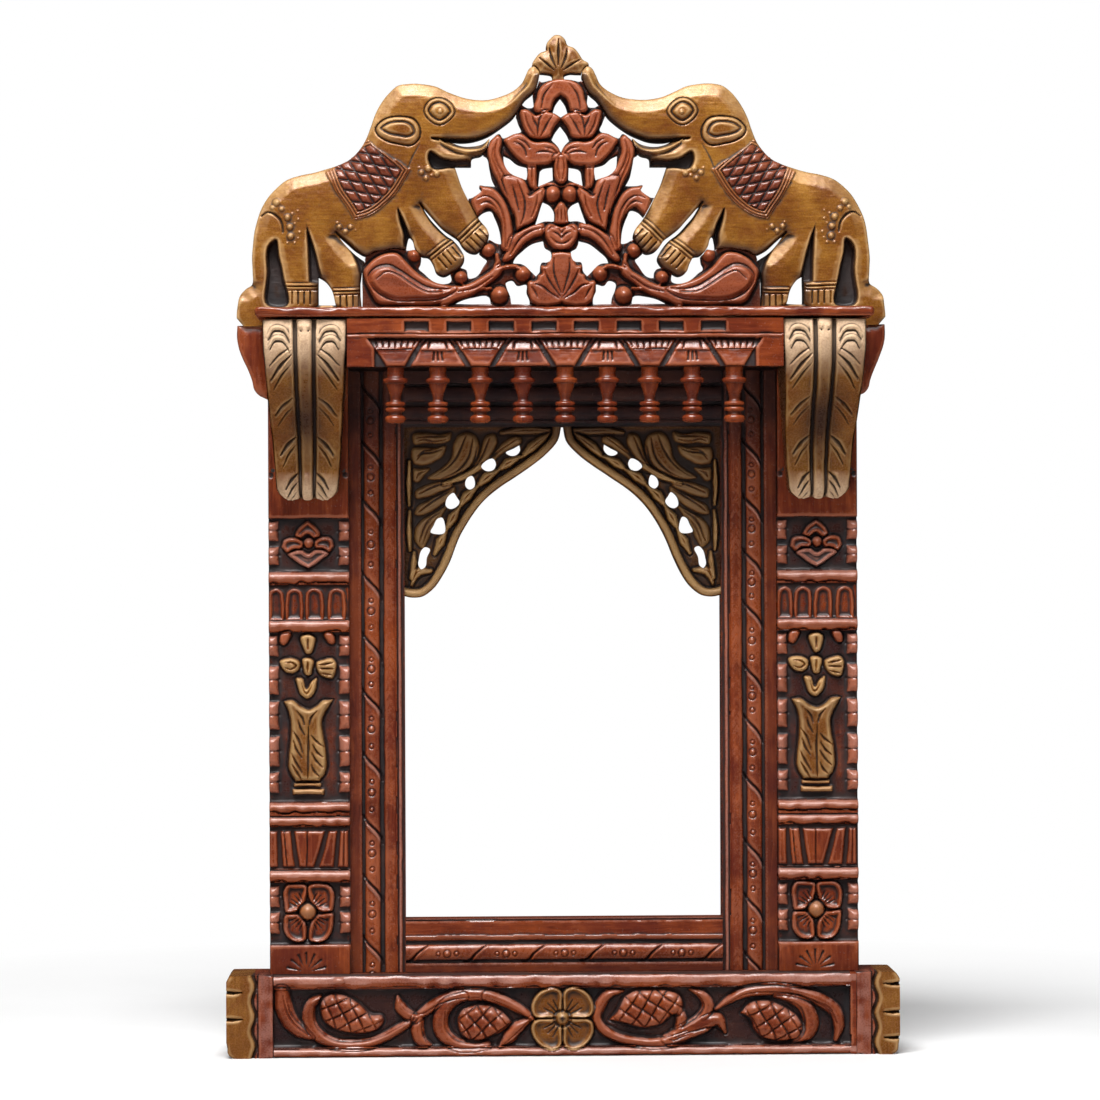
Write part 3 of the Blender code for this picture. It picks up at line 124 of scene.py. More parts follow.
def curve(points, closed=True, steps=6):
    """A smooth line through the points. A point given twice running stays a corner."""
    points = [np.asarray(p, float) for p in points]
    count = len(points)
    spans = count if closed else count - 1
    t = np.linspace(0, 1, steps, endpoint=False)[:, None]
    found = []
    for i in range(spans):
        p, q = points[i], points[(i + 1) % count]
        length = np.linalg.norm(q - p)
        if length < 1e-9:
            continue
        slopes = []
        for here, before, after in ((p, i - 1, i + 1), (q, i, i + 2)):
            if closed:
                a, b = points[before % count], points[after % count]
            else:
                a, b = points[max(before, 0)], points[min(after, count - 1)]
            back, on = np.linalg.norm(here - a), np.linalg.norm(b - here)
            if back < 1e-9 or on < 1e-9:
                slopes.append(q - p)
            else:
                slope = ((here - a) / back * on + (b - here) / on * back) / (back + on)
                slopes.append(slope * length)
        found.append(
            (2 * t**3 - 3 * t**2 + 1) * p
            + (t**3 - 2 * t**2 + t) * slopes[0]
            + (3 * t**2 - 2 * t**3) * q
            + (t**3 - t**2) * slopes[1]
        )
    line = np.concatenate(found)
    return line if closed else np.concatenate([line, [points[-1]]])


def inside_distance(across, up, outline):
    """How far inside a closed outline each point lies, below zero outside."""
    nearest = np.full(across.shape, np.inf)
    within = np.zeros(across.shape, bool)
    ends = np.roll(outline, -1, axis=0)
    for (ax, az), (bx, bz) in zip(outline, ends):
        ex, ez = bx - ax, bz - az
        square = ex * ex + ez * ez
        if square < 1e-18:
            continue
        dx, dz = across - ax, up - az
        t = np.clip((dx * ex + dz * ez) / square, 0, 1)
        nearest = np.minimum(nearest, (dx - t * ex) ** 2 + (dz - t * ez) ** 2)
        if az != bz:
            crossed = (az > up) != (bz > up)
            within ^= crossed & (dx < dz * ex / ez)
    return np.where(within, 1, -1) * np.sqrt(nearest)


def line_distance(across, up, points, radii):
    """How far inside a line of changing width each point lies, below zero outside."""
    deepest = np.full(across.shape, -np.inf)
    for i in range(len(points) - 1):
        (ax, az), (bx, bz) = points[i], points[i + 1]
        ex, ez = bx - ax, bz - az
        square = max(ex * ex + ez * ez, 1e-18)
        dx, dz = across - ax, up - az
        t = np.clip((dx * ex + dz * ez) / square, 0, 1)
        away = np.sqrt((dx - t * ex) ** 2 + (dz - t * ez) ** 2)
        deepest = np.maximum(deepest, radii[i] + (radii[i + 1] - radii[i]) * t - away)
    return deepest


def blurred(field, reach):
    """The field averaged over a square of the given half width in cells, twice."""
    for _ in range(2):
        for axis in (0, 1):
            padded = np.concatenate(
                [
                    np.repeat(field.take([0], axis), reach + 1, axis),
                    field,
                    np.repeat(field.take([-1], axis), reach, axis),
                ],
                axis,
            )
            total = padded.cumsum(axis)
            count = field.shape[axis]
            width = 2 * reach + 1
            field = (
                total.take(range(width, width + count), axis) - total.take(range(count), axis)
            ) / width
    return field


class Relief:
    """A carved front: how far it stands from the wall, and how it is painted, over a grid."""

    def __init__(self, low, high, ground, seed, step=FINE, wobble=WOBBLE):
        self.low, self.step = np.array(low, float), step
        cells = [max(2, math.ceil((b - a) / step)) for a, b in zip(low, high)]
        lines = [a + step * np.arange(n + 1) for a, n in zip(low, cells)]
        self.across, self.up = np.meshgrid(*lines, indexing="ij")
        self.deep = np.full(self.across.shape, float(ground))
        self.inside = np.full(self.across.shape, 1.0)
        self.layers = {name: np.zeros(self.across.shape) for name in ("gold", "dark", "wear_and_highlight")}
        self.u = self.across + wobble * noise(self.across, self.up, WOBBLE_SIZE, seed)
        self.v = self.up + wobble * noise(self.across, self.up, WOBBLE_SIZE, seed + 1)
        self.seed = seed

    def window(self, points, reach):
        points = np.asarray(points)
        start = np.floor((points.min(0) - reach - self.low) / self.step).astype(int)
        stop = np.ceil((points.max(0) + reach - self.low) / self.step).astype(int) + 1
        start, stop = np.maximum(start, 0), np.maximum(stop, 0)
        return np.s_[start[0] : stop[0], start[1] : stop[1]]

    def area(self, outline, reach=REACH):
        """The part of the grid round an outline, and how far inside it each point is."""
        where = self.window(outline, reach)
        return where, inside_distance(self.u[where], self.v[where], np.asarray(outline))

    def line(self, points, radii, reach=REACH):
        """The same for a line. One radius serves all its points, or there is one for each."""
        points = np.asarray(points)
        if np.isscalar(radii):
            radii = np.full(len(points), radii)
        elif len(radii) != len(points):
            radii = np.interp(np.linspace(0, 1, len(points)), np.linspace(0, 1, len(radii)), radii)
        where = self.window(points, reach + max(radii))
        return where, line_distance(self.u[where], self.v[where], points, radii)

    def spot(self, middle, radii):
        """The same for an ellipse that lies straight."""
        middle, radii = np.asarray(middle, float), np.broadcast_to(radii, 2)
        where = self.window([middle - radii, middle + radii], REACH)
        du = (self.u[where] - middle[0]) / radii[0]
        dv = (self.v[where] - middle[1]) / radii[1]
        return where, (1 - np.sqrt(du * du + dv * dv)) * min(radii)

    def band(self, low, high):
        """The same for a box given by its low and high corners."""
        low, high = np.asarray(low, float), np.asarray(high, float)
        where = self.window([low, high], REACH)
        u, v = self.u[where], self.v[where]
        return where, np.minimum.reduce([u - low[0], high[0] - u, v - low[1], high[1] - v])

    def lift(self, found, rise, bevel):
        """Raises what is there, or with a rise below zero lowers it."""
        where, within = found
        self.deep[where] += rise * rounded(within / bevel)

    def cut(self, points, radii, depth, bevel):
        """Cuts a groove along a line."""
        self.lift(self.line(points, radii), -depth, bevel)

    def ring(self, found, away, half, rise):
        """Raises or lowers a strip round a form. Its middle lies so far inside the form's edge."""
        where, within = found
        self.lift((where, half - np.abs(within - away)), rise, half)

    def seat(self, found, foot, top, bevel):
        """Stands a form on the relief, from foot to top, where it is above what is there."""
        where, within = found
        form = foot + (top - foot) * rounded(within / bevel)
        here = self.deep[where]
        self.deep[where] = np.where(within > 0, np.maximum(here, form), here)

    def sink(self, found, floor, wall):
        """Cuts the wood down to a floor, over a wall of the given width."""
        where, within = found
        share = smooth_step(within / wall)
        here = self.deep[where]
        self.deep[where] = here * (1 - share) + np.minimum(here, floor) * share

    def paint(self, found, layer, value=1.0, soft=None):
        where, within = found
        share = np.clip(within / (soft or self.step) + 0.5, 0, 1)
        field = self.layers[layer]
        field[where] = field[where] * (1 - share) + value * share

    def keep(self, outline):
        """Saws the relief to an outline."""
        self.inside = np.minimum(self.inside, inside_distance(self.u, self.v, np.asarray(outline)))

    def open(self, outline, reach=REACH, gap=0.0):
        """Saws an opening out of the relief, wider by a gap."""
        where, within = self.area(outline, reach)
        self.inside[where] = np.minimum(self.inside[where], -within - gap)

    def round_rim(self, radius, drop=None):
        """Rounds the sawn edge over."""
        drop = drop or radius
        share = np.clip(self.inside / radius, 0, 1)
        self.deep -= drop * (1 - np.sqrt(1 - (1 - share) ** 2))


def cleaned(cells):
    """Drops cells that hang on by a corner, and all but the largest joined group."""
    for _ in range(4):
        pad = np.pad(cells, 1)
        a, b, c, d = pad[:-1, :-1], pad[1:, :-1], pad[:-1, 1:], pad[1:, 1:]
        first = a & d & ~b & ~c
        second = b & c & ~a & ~d
        if not (first.any() or second.any()):
            break
        pad[:-1, :-1] &= ~first
        pad[1:, :-1] &= ~second
        cells = pad[1:-1, 1:-1].copy()
    label = np.where(cells, np.arange(1, cells.size + 1).reshape(cells.shape), 0)
    while True:
        pad = np.pad(label, 1)
        beside = (pad[:-2, 1:-1], pad[2:, 1:-1], pad[1:-1, :-2], pad[1:-1, 2:])
        best = np.where(cells, np.maximum.reduce([label, *beside]), 0)
        chain = best.ravel()
        for _ in range(3):
            chain = np.where(chain > 0, chain[np.maximum(chain - 1, 0)], 0)
        best = np.where(cells, np.maximum(best, chain.reshape(best.shape)), 0)
        if (best == label).all():
            break
        label = best
    names, sizes = np.unique(label[label > 0], return_counts=True)
    return label == names[sizes.argmax()]


def filled(rings, way):
    """Triangles between closed rings of points that lie in one plane, all facing one way."""
    shape = bmesh.new()
    loops = []
    for ring, edges in rings:
        corners = [shape.verts.new((p[0], 0, p[1])) for p in ring]
        loops += [shape.edges.new((corners[a], corners[b])) for a, b in edges]
    shape.verts.ensure_lookup_table()
    shape.verts.index_update()
    bmesh.ops.triangle_fill(shape, use_beauty=False, edges=loops, normal=(0, 1, 0))
    found = []
    for face in shape.faces:
        face.normal_update()
        corners = [v.index for v in face.verts]
        found.append(corners if face.normal.y * way > 0 else corners[::-1])
    shape.free()
    return np.array(found)


def ring_edges(count):
    return np.stack([np.arange(count), (np.arange(count) + 1) % count], 1)


def surface_fields(relief):
    """The carved depths with tool marks, and the values that the finishes read."""
    step = relief.step
    marks = noise(relief.across, relief.up, TOOL_MARK_SIZE, relief.seed + 5)
    deep = relief.deep + TOOL_MARK * marks
    deep = (deep * 2 + blurred(deep, 1)) / 3
    outside = deep - np.clip(-relief.inside, 0, 0.0025)
    near = blurred(outside, max(1, round(0.0008 / step)))
    far = blurred(outside, max(2, round(0.0035 / step)))
    # Painted highlight: slopes that face upwards get pale streaks, as if lit from above, laid into
    # the pale rubbed layer.
    facing = -np.gradient(blurred(deep, 1), step, axis=1)
    streaks = np.clip(0.55 + 0.9 * noise(relief.across, relief.up, 0.0028, relief.seed + 7), 0, 1)
    lit = 0.62 * streaks * smooth_step((facing - 0.18) / 0.7)
    # Hollow is how far a point lies below its close surroundings, shelter how far below its wider
    # ones. The finishes darken by them, as a dark wash and as painted shade.
    return deep, {
        **relief.layers,
        "wear_and_highlight": np.maximum(relief.layers["wear_and_highlight"], lit),
        "hollow": np.clip((near - deep) / 0.00025, -1, 1),
        "shelter": np.clip((far - deep) / 0.0012, -1, 1),
    }


def sawn_grid(relief):
    """The cells within the outline, their points, and where these lie once on the outline."""
    inside, step = relief.inside, relief.step
    middle = (inside[:-1, :-1] + inside[1:, :-1] + inside[:-1, 1:] + inside[1:, 1:]) / 4
    cells = cleaned(middle > 0)
    pad = np.pad(cells, 1)
    touching = pad[:-1, :-1].astype(int) + pad[1:, :-1] + pad[:-1, 1:] + pad[1:, 1:]
    rim = (touching > 0) & (touching < 4)
    slope = np.stack(np.gradient(inside, step))
    steep = np.maximum((slope**2).sum(0), 0.25)
    move = np.clip(-inside / steep, -0.8 * step, 0.8 * step) * rim
    return cells, touching > 0, relief.across + move * slope[0], relief.up + move * slope[1]


# The sides of a grid cell: the neighbour beyond it, and its two corners
CELL_SIDES = (
    ((0, -1), (0, 0), (1, 0)), ((1, 0), (1, 0), (1, 1)),
    ((0, 1), (1, 1), (0, 1)), ((-1, 0), (0, 1), (0, 0)),
)


def rim_edges(cells, number):
    """The edges along which the cells end, as pairs of point numbers."""
    i, j = np.nonzero(cells)
    pad = np.pad(cells, 1)
    edges = []
    for (di, dj), a, b in CELL_SIDES:
        ends = ~pad[i + 1 + di, j + 1 + dj]
        p, q = i[ends], j[ends]
        edges.append(np.stack([number[p + a[0], q + a[1]], number[p + b[0], q + b[1]]], 1))
    return np.concatenate(edges)


def band_faces(upper, lower):
    """The faces between two rows of edges."""
    return np.stack([upper[:, 1], upper[:, 0], lower[:, 0], lower[:, 1]], 1)


def moved(across):
    """A bend that only stands a relief before the wall, so far along it."""
    return lambda points: np.stack([across + points[:, 0], -points[:, 1], points[:, 2]], 1)


BOX_FACES = np.array([
    (1, 2, 3, 0), (7, 6, 5, 4), (4, 5, 1, 0), (5, 6, 2, 1), (6, 7, 3, 2), (7, 4, 0, 3),
])
SLAB_OVERLAP = 0.0003


def solid(
    name, relief, back, look, wall_dark=0.0, bend=moved(0.0), mirror=False, wall_rows=2,
    pockets=(), slab=None,
):
    """Makes a closed mesh of a relief, with sawn walls and a flat back.

    Pockets are cut in the back, each within the one before. A slab is a box behind the back.
    """
    deep, fields = surface_fields(relief)
    cells, used, across, up = sawn_grid(relief)
    number = np.cumsum(used.ravel()).reshape(used.shape) - 1
    points = np.stack([across[used], deep[used], up[used]], 1)
    i, j = np.nonzero(cells)
    faces = [np.stack([number[i, j], number[i + 1, j], number[i + 1, j + 1], number[i, j + 1]], 1)]

    edges = rim_edges(cells, number)
    rims = np.unique(edges)
    order = np.zeros(len(points), int)
    order[rims] = np.arange(len(rims))
    count = len(points)
    front = points[rims]
    shares = [(row + 1) / wall_rows for row in range(wall_rows)]
    levels = [front[:, 1] * (1 - share) + back * share for share in shares]
    rows = [np.stack([front[:, 0], level, front[:, 2]], 1) for level in levels]
    points = np.concatenate([points, *rows])
    starts = edges
    for row in range(wall_rows):
        ends = count + row * len(rims) + order[edges]
        faces.append(band_faces(starts, ends))
        starts = ends

    last = count + (wall_rows - 1) * len(rims)
    rings = [(rows[-1][:, [0, 2]], order[edges])]
    names = [last + np.arange(len(rims))]
    extra, caps = [], []
    level = back
    for ring, depth in pockets:
        loop = ring_edges(len(ring))
        start = len(points) + sum(len(e) for e in extra)
        rings.append((ring, loop))
        names.append(start + np.arange(len(ring)))
        caps.append(np.concatenate(names)[filled(rings, 1)])
        for y in (level, depth):
            extra.append(np.stack([ring[:, 0], np.full(len(ring), y), ring[:, 1]], 1))
        inner = start + len(ring)
        faces.append(band_faces(inner + loop, start + loop))
        rings, names, level = [(ring, loop)], [inner + np.arange(len(ring))], depth
    caps.append(np.concatenate(names)[filled(rings, 1)])
    if slab:
        (left, foot), (right, top) = slab
        faces.append(len(points) + sum(len(e) for e in extra) + BOX_FACES)
        sides = ((left, foot), (right, foot), (right, top), (left, top))
        extra.append(np.array([(x, y, z) for y in (0.0, back + SLAB_OVERLAP) for x, z in sides]))
    caps = np.concatenate(caps)
    spare = sum(len(e) for e in extra)
    points = bend(np.concatenate([points, *extra]))

    values = {}
    for key, field in fields.items():
        rimmed = field[used][rims]
        value = [field[used]]
        for share in shares:
            if key == "dark":
                value.append(np.maximum(rimmed * (1 - share), wall_dark))
            elif key == "gold":
                value.append(rimmed)
            else:
                value.append(np.zeros(len(rims)))
        values[key] = np.concatenate([*value, np.zeros(spare)])
    quads = np.concatenate(faces)
    if mirror:
        points[:, 0] *= -1
        quads, caps = quads[:, ::-1], caps[:, ::-1]
    return mesh_object(name, points, quads, caps, values, look)


def linked(name, data):
    obj = bpy.data.objects.new(name, data)
    bpy.context.scene.collection.objects.link(obj)
    return obj


def mesh_object(name, points, quads, triangles, values, look):
    """A smooth shaded object from arrays of points, faces and values at the points."""
    mesh = bpy.data.meshes.new(name)
    corners = np.concatenate([quads.ravel(), triangles.ravel()]).astype(np.int32)
    sizes = np.concatenate([np.full(len(quads), 4), np.full(len(triangles), 3)])
    starts = np.concatenate([[0], np.cumsum(sizes)[:-1]]).astype(np.int32)
    mesh.vertices.add(len(points))
    mesh.vertices.foreach_set("co", points.astype(np.float32).ravel())
    mesh.loops.add(len(corners))
    mesh.loops.foreach_set("vertex_index", corners)
    mesh.polygons.add(len(sizes))
    mesh.polygons.foreach_set("loop_start", starts)
    mesh.update(calc_edges=True)
    mesh.validate()
    for key, value in values.items():
        layer = mesh.attributes.new(key, "FLOAT", "POINT")
        layer.data.foreach_set("value", np.asarray(value, np.float32))
    mesh.shade_smooth()
    mesh.set_sharp_from_angle(angle=CREASE)
    mesh.materials.append(look)
    return linked(name, mesh)


# Finishes

class Finish:
    """A material under construction: each call adds a node and returns its output."""

    def __init__(self, name):
        self.material = bpy.data.materials.new(name)
        self.material.use_nodes = True
        self.tree = self.material.node_tree
        self.shader = self.tree.nodes["Principled BSDF"]
        self.place = self.add("ShaderNodeTexCoord", "Object")

    def add(self, kind, output=0, inputs=(), **settings):
        node = self.tree.nodes.new(kind)
        for key, value in settings.items():
            setattr(node, key, value)
        for key, value in dict(inputs).items():
            self.join(value, node.inputs[key])
        return node.outputs[output]

    def join(self, value, socket):
        if isinstance(value, bpy.types.NodeSocket):
            self.tree.links.new(value, socket)
        else:
            socket.default_value = value

    def noise(self, scale, detail=4, roughness=0.55, distortion=0.0, stretch=(1, 1, 1)):
        spot = self.add("ShaderNodeMapping", inputs={"Vector": self.place, "Scale": stretch})
        values = {
            "Vector": spot,
            "Scale": scale,
            "Detail": detail,
            "Roughness": roughness,
            "Distortion": distortion,
        }
        return self.add("ShaderNodeTexNoise", inputs=values)

    def ramp(self, value, stops):
        ramp = self.add("ShaderNodeValToRGB", inputs={"Fac": value})
        ends = ramp.node.color_ramp.elements
        while len(ends) < len(stops):
            ends.new(0.5)
        for end, (spot, colour) in zip(ends, stops):
            end.position = spot
            end.color = (*colour, 1)
        return ramp

    def mix(self, share, first, second):
        colours = [(*c, 1) if isinstance(c, tuple) else c for c in (first, second)]
        inputs = {0: share, 6: colours[0], 7: colours[1]}
        return self.add("ShaderNodeMix", 2, inputs, data_type="RGBA")

    def math(self, operation, *values):
        return self.add("ShaderNodeMath", 0, enumerate(values), operation=operation)

    def total(self, *parts):
        """The sum of the parts. A pair of values counts as its product."""
        value, *rest = [self.math("MULTIPLY", *p) if isinstance(p, tuple) else p for p in parts]
        for part in rest:
            value = self.math("ADD", value, part)
        return value

    def scaled(self, value, low, high, start=0.0, end=1.0):
        """Maps low to high onto start to end, and stops there."""
        return self.add("ShaderNodeMapRange", 0, enumerate((value, low, high, start, end)))

    def attribute(self, name):
        return self.add("ShaderNodeAttribute", "Fac", attribute_name=name)

    def bump(self, height, distance, before=None):
        values = {"Height": height, "Distance": distance}
        if before:
            values["Normal"] = before
        return self.add("ShaderNodeBump", inputs=values)

    def finish(self, **sockets):
        for key, value in sockets.items():
            self.join(value, self.shader.inputs[key.replace("_", " ")])
        return self.material


WARM_RED, DEEP_RED = (0.270, 0.0520, 0.0100), (0.085, 0.0115, 0.0078)
THIN_PAINT = (0.150, 0.0340, 0.0080)
# Pale colours of raised parts: wear, and a painted highlight.
RIDGE_RED, RIDGE_GOLD = (0.355, 0.096, 0.036), (0.500, 0.300, 0.118)
# Pale pinkish red of the rubbed layer: rubbed varnish, and painted highlights where pieces lay
# them.
RUBBED_AND_HIGHLIGHT_RED = (0.430, 0.200, 0.150)
# Dark colours of hollows: a dark wash, and painted shade in recesses.
RED_WASH_AND_SHADE, GOLD_WASH_AND_SHADE = (0.0150, 0.0048, 0.0036), (0.0230, 0.0105, 0.0045)
# The dark painted ground. The dark layer also lays painted shade on some pieces.
COLD_GROUND_AND_SHADE, WARM_GROUND_AND_SHADE = (0.0130, 0.0110, 0.0130), (0.0400, 0.0190, 0.0160)


def carved_finish(
    name, stretch, red_stops, gold_stops, rubbed_and_highlight_red=RUBBED_AND_HIGHLIGHT_RED, rubbed_and_highlight_gold=RIDGE_GOLD
):
    """Varnished and gold painted carving. The relief's own values say where each lies."""
    f = Finish(name)
    gold, dark = f.attribute("gold"), f.attribute("dark")
    hollow, shelter = f.attribute("hollow"), f.attribute("shelter")
    grain = f.noise(1.0, 6, 0.62, 0.8, stretch)
    cloud = f.noise(38.0, 5, 0.6)
    fleck = f.noise(900.0, 3, 0.6)
    brush = f.noise(1.0, 4, 0.7, 0.3, tuple(2.4 * s for s in stretch))
    tint = f.noise(24.0, 4, 0.65, 0.4)
    thin = f.scaled(f.noise(70.0, 5, 0.65, 0.6), 0.50, 0.72, 0.0, 0.60)

    red = f.ramp(f.total((grain, 0.62), (cloud, 0.38)), red_stops)
    red = f.mix(f.scaled(tint, 0.50, 0.68, 0.0, 0.60), red, WARM_RED)
    red = f.mix(f.scaled(tint, 0.50, 0.34, 0.0, 0.55), red, DEEP_RED)
    paint = f.ramp(f.total((brush, 0.45), (cloud, 0.55)), gold_stops)
    base = f.mix(gold, red, f.mix(thin, paint, THIN_PAINT))

    clear = f.math("SUBTRACT", 1.0, dark)
    # Raised parts turn paler: partly wear, partly a painted highlight.
    ridge = f.total((hollow, -0.60), (shelter, -0.55), f.scaled(cloud, 0.35, 0.65, -0.22, 0.18))
    ridge = f.math("MULTIPLY", f.scaled(ridge, 0.35, 1.10, 0.0, 0.62), clear)
    # The rubbed layer: rubbed paint, and painted highlights where a piece lays them.
    rubbed_and_highlight = f.math("MULTIPLY", f.attribute("wear_and_highlight"), f.scaled(fleck, 0.25, 0.60, 0.45, 1.0))
    rubbed_and_highlight = f.math("MULTIPLY", rubbed_and_highlight, clear)
    base = f.mix(ridge, base, f.mix(gold, RIDGE_RED, RIDGE_GOLD))
    base = f.mix(rubbed_and_highlight, base, f.mix(gold, rubbed_and_highlight_red, rubbed_and_highlight_gold))

    # Hollows and sheltered recesses darken: partly a dark wash, partly painted shade.
    deep = f.total((hollow, 0.75), (shelter, 0.75), f.scaled(fleck, 0.3, 0.7, -0.10, 0.10))
    wash_and_shade = f.scaled(deep, 0.06, 0.70, 0.0, 0.92)
    base = f.mix(wash_and_shade, base, f.mix(gold, RED_WASH_AND_SHADE, GOLD_WASH_AND_SHADE))
    # The dark layer: dark painted ground, and painted shade where a piece lays it.
    base = f.mix(dark, base, f.mix(f.scaled(cloud, 0.4, 0.7), COLD_GROUND_AND_SHADE, WARM_GROUND_AND_SHADE))

    wear_and_highlight = f.math("MAXIMUM", ridge, rubbed_and_highlight)
    shine = f.total(
        f.scaled(fleck, 0.2, 0.8, 0.16, 0.30), (wash_and_shade, 0.30),
        (wear_and_highlight, f.scaled(gold, 0, 1, 0.22, 0.50)), (gold, 0.04),
    )
    metal = f.math("MULTIPLY", gold, f.total(0.14, (wash_and_shade, -0.14)))
    bump = f.bump(fleck, 0.00004, f.bump(grain, 0.00014))
    return f.finish(
        Base_Color=base, Roughness=shine, Metallic=metal, Normal=bump, Specular_IOR_Level=0.5
    )


RED_STOPS = [
    (0.30, (0.060, 0.0085, 0.0034)),
    (0.50, (0.158, 0.0265, 0.0082)),
    (0.70, (0.305, 0.0680, 0.0190)),
]
GOLD_STOPS = [
    (0.32, (0.118, 0.036, 0.0060)),
    (0.50, (0.205, 0.072, 0.0125)),
    (0.68, (0.330, 0.148, 0.0300)),
]
BRIGHT_RED_STOPS = [
    (0.30, (0.074, 0.0105, 0.0040)),
    (0.50, (0.192, 0.0325, 0.0094)),
    (0.70, (0.365, 0.0820, 0.0215)),
]
BRIGHT_GOLD_STOPS = [
    (0.34, (0.132, 0.034, 0.0052)),
    (0.50, (0.245, 0.090, 0.0104)),
    (0.66, (0.395, 0.176, 0.0260)),
]
# Grain that runs across, upright or no way at all
ACROSS, UPRIGHT, EVEN = (36, 420, 420), (420, 420, 36), (300, 300, 300)
CARVED = carved_finish("carved_across", ACROSS, RED_STOPS, GOLD_STOPS)
CARVED_BRIGHT = carved_finish(
    "carved_bright", ACROSS, BRIGHT_RED_STOPS, BRIGHT_GOLD_STOPS, rubbed_and_highlight_red=(0.372, 0.112, 0.050)
)
CARVED_UP = carved_finish("carved_upright", UPRIGHT, RED_STOPS, GOLD_STOPS)
# A copy whose rubbed gold is much paler: it paints the highlight on the brackets' top and toe.
CARVED_HIGHLIGHT = carved_finish(
    "carved_highlight", UPRIGHT, RED_STOPS, GOLD_STOPS, rubbed_and_highlight_gold=(0.660, 0.460, 0.290)
)


def plain_finish(name, stretch, low, high, shine, metal=0.0):
    """Bare wood, steel, dark nails, and the near-black soffit that paints the shade under the
    canopy, for the nodes that stay as they were packed.
    """
    f = Finish(name)
    grain = f.noise(1.0, 6, 0.62, 0.8, stretch)
    cloud = f.noise(60.0, 5, 0.6)
    fleck = f.noise(1200.0, 3, 0.6)
    colour = f.ramp(f.total((grain, 0.6), (cloud, 0.4)), [(0.3, low), (0.7, high)])
    rough = f.scaled(fleck, 0.2, 0.8, shine, shine + 0.2)
    bump = f.bump(fleck, 0.00004, f.bump(grain, 0.0001))
    return f.finish(Base_Color=colour, Roughness=rough, Metallic=metal, Normal=bump)


BARE = plain_finish("bare_wood_grain", ACROSS, (0.200, 0.105, 0.050), (0.400, 0.250, 0.135), 0.55)
# Painted shade: the canopy's soffit is near black.
SHADED = plain_finish(
    "soffit_painted_shade", ACROSS, (0.0060, 0.0030, 0.0020), (0.0220, 0.0090, 0.0060), 0.40
)
STEEL = plain_finish("dull_steel", EVEN, (0.300, 0.300, 0.305), (0.480, 0.470, 0.450), 0.35, 0.35)
NAIL = plain_finish("dark_nail", EVEN, (0.020, 0.018, 0.017), (0.050, 0.045, 0.042), 0.5, 0.3)
PACKED_LOOKS = {
    "_soffit": SHADED, "_back_board": BARE, "_dowel": BARE, "_pin": NAIL, "hanging_plate": STEEL,
    "plate_screw": STEEL,
}


def place(piece, node, slot):
    """Files a piece with the frame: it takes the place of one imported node."""
    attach(piece, "root")
    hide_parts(node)


# Places read from the photograph

# The crown there: its middle, half width and foot, and the half width in metres
CROWN_MIDDLE_PX, CROWN_HALF_PX, CROWN_FOOT_ROW = 559, 328, 325
CROWN_HALF = 0.1949


def seen_in(view, places):
    """The photo places of what was drawn over an enlarged view."""
    left, top, scale = view
    return [(left + x / scale, top + y / scale) for x, y in places]


def level_row(px, py, middle):
    """The row of a photo place, with the photograph's tilt round a middle taken out."""
    return py - (middle - px) * TILT


def crown(px, py, side=-1):
    """A photo place on the left half of the crown, or its mirror place."""
    return (
        side * (CROWN_MIDDLE_PX - px) * CROWN_HALF / CROWN_HALF_PX,
        SHELF_FOOT + (CROWN_FOOT_ROW - level_row(px, py, 560)) * PIXEL,
    )


def crowns(places, closed=True, steps=6, side=-1):
    return curve([crown(px, py, side) for px, py in places], closed, steps)


# Elephants

ELEPHANT = [
    (231, 321), (232, 308), (234, 298), (240, 291), (246, 287), (247, 275), (246.5, 260),
    (248, 244), (250, 230), (253, 219), (258, 208), (265, 197), (273, 189), (282, 182), (297, 177),
    (310, 174.5), (322, 171), (334, 167), (346, 161), (354, 153), (361, 143), (366, 131),
    (371, 117), (378, 104), (386, 94), (394, 87), (406, 85), (420, 85), (432, 87), (445, 93),
    (458, 98), (472, 100.5), (486, 100), (500, 96.5), (512, 90.5), (520, 83), (524, 75), (528, 68),
    (532, 66), (537, 72), (536, 82), (531, 92), (523, 99), (517, 108), (511, 117), (503, 124),
    (492, 131.5), (481, 137), (470, 141), (456, 142), (444, 140.5), (444, 140.5), (452, 145),
    (462, 147.5), (472, 147), (480, 144.5), (487, 139), (487, 139), (484, 149), (478, 155),
    (469, 158), (468, 166), (468, 166), (451, 166), (451, 166), (454, 176), (458, 187), (464, 199),
    (471, 212), (478, 223), (484, 230), (486, 237), (480, 247), (473, 254), (466, 253), (459, 247),
    (455, 241), (447, 235), (438, 228), (429, 218), (417, 205), (417, 205), (423, 215), (432, 226),
    (442, 236), (450, 242), (457, 250), (461, 260), (456, 268), (448, 273), (440, 277), (433, 274),
    (429, 265), (424, 258), (418, 257), (411, 249), (408, 240), (405, 237.5), (403, 243),
    (402, 251), (402, 251), (390, 249.5), (380, 251), (370, 253), (362, 257), (352, 253),
    (341, 244), (331, 235.5), (331, 235.5), (341, 248), (351, 257), (360, 263), (360, 263),
    (357, 272), (357, 321), (357, 321),
]
LEG_GAP = [
    (313, 278), (313, 278), (320, 282.5), (326, 290), (331, 307), (331, 307), (313, 307),
    (313, 307),
]
BLANKET = [
    (321, 174), (321, 174), (333, 196), (345, 213), (350, 222), (350, 222), (362, 219), (372, 214),
    (382, 206), (392, 195), (400, 183), (407, 171), (407, 171), (390, 161), (375, 152), (363, 141),
    (363, 141), (356, 151), (346, 161), (334, 167),
]
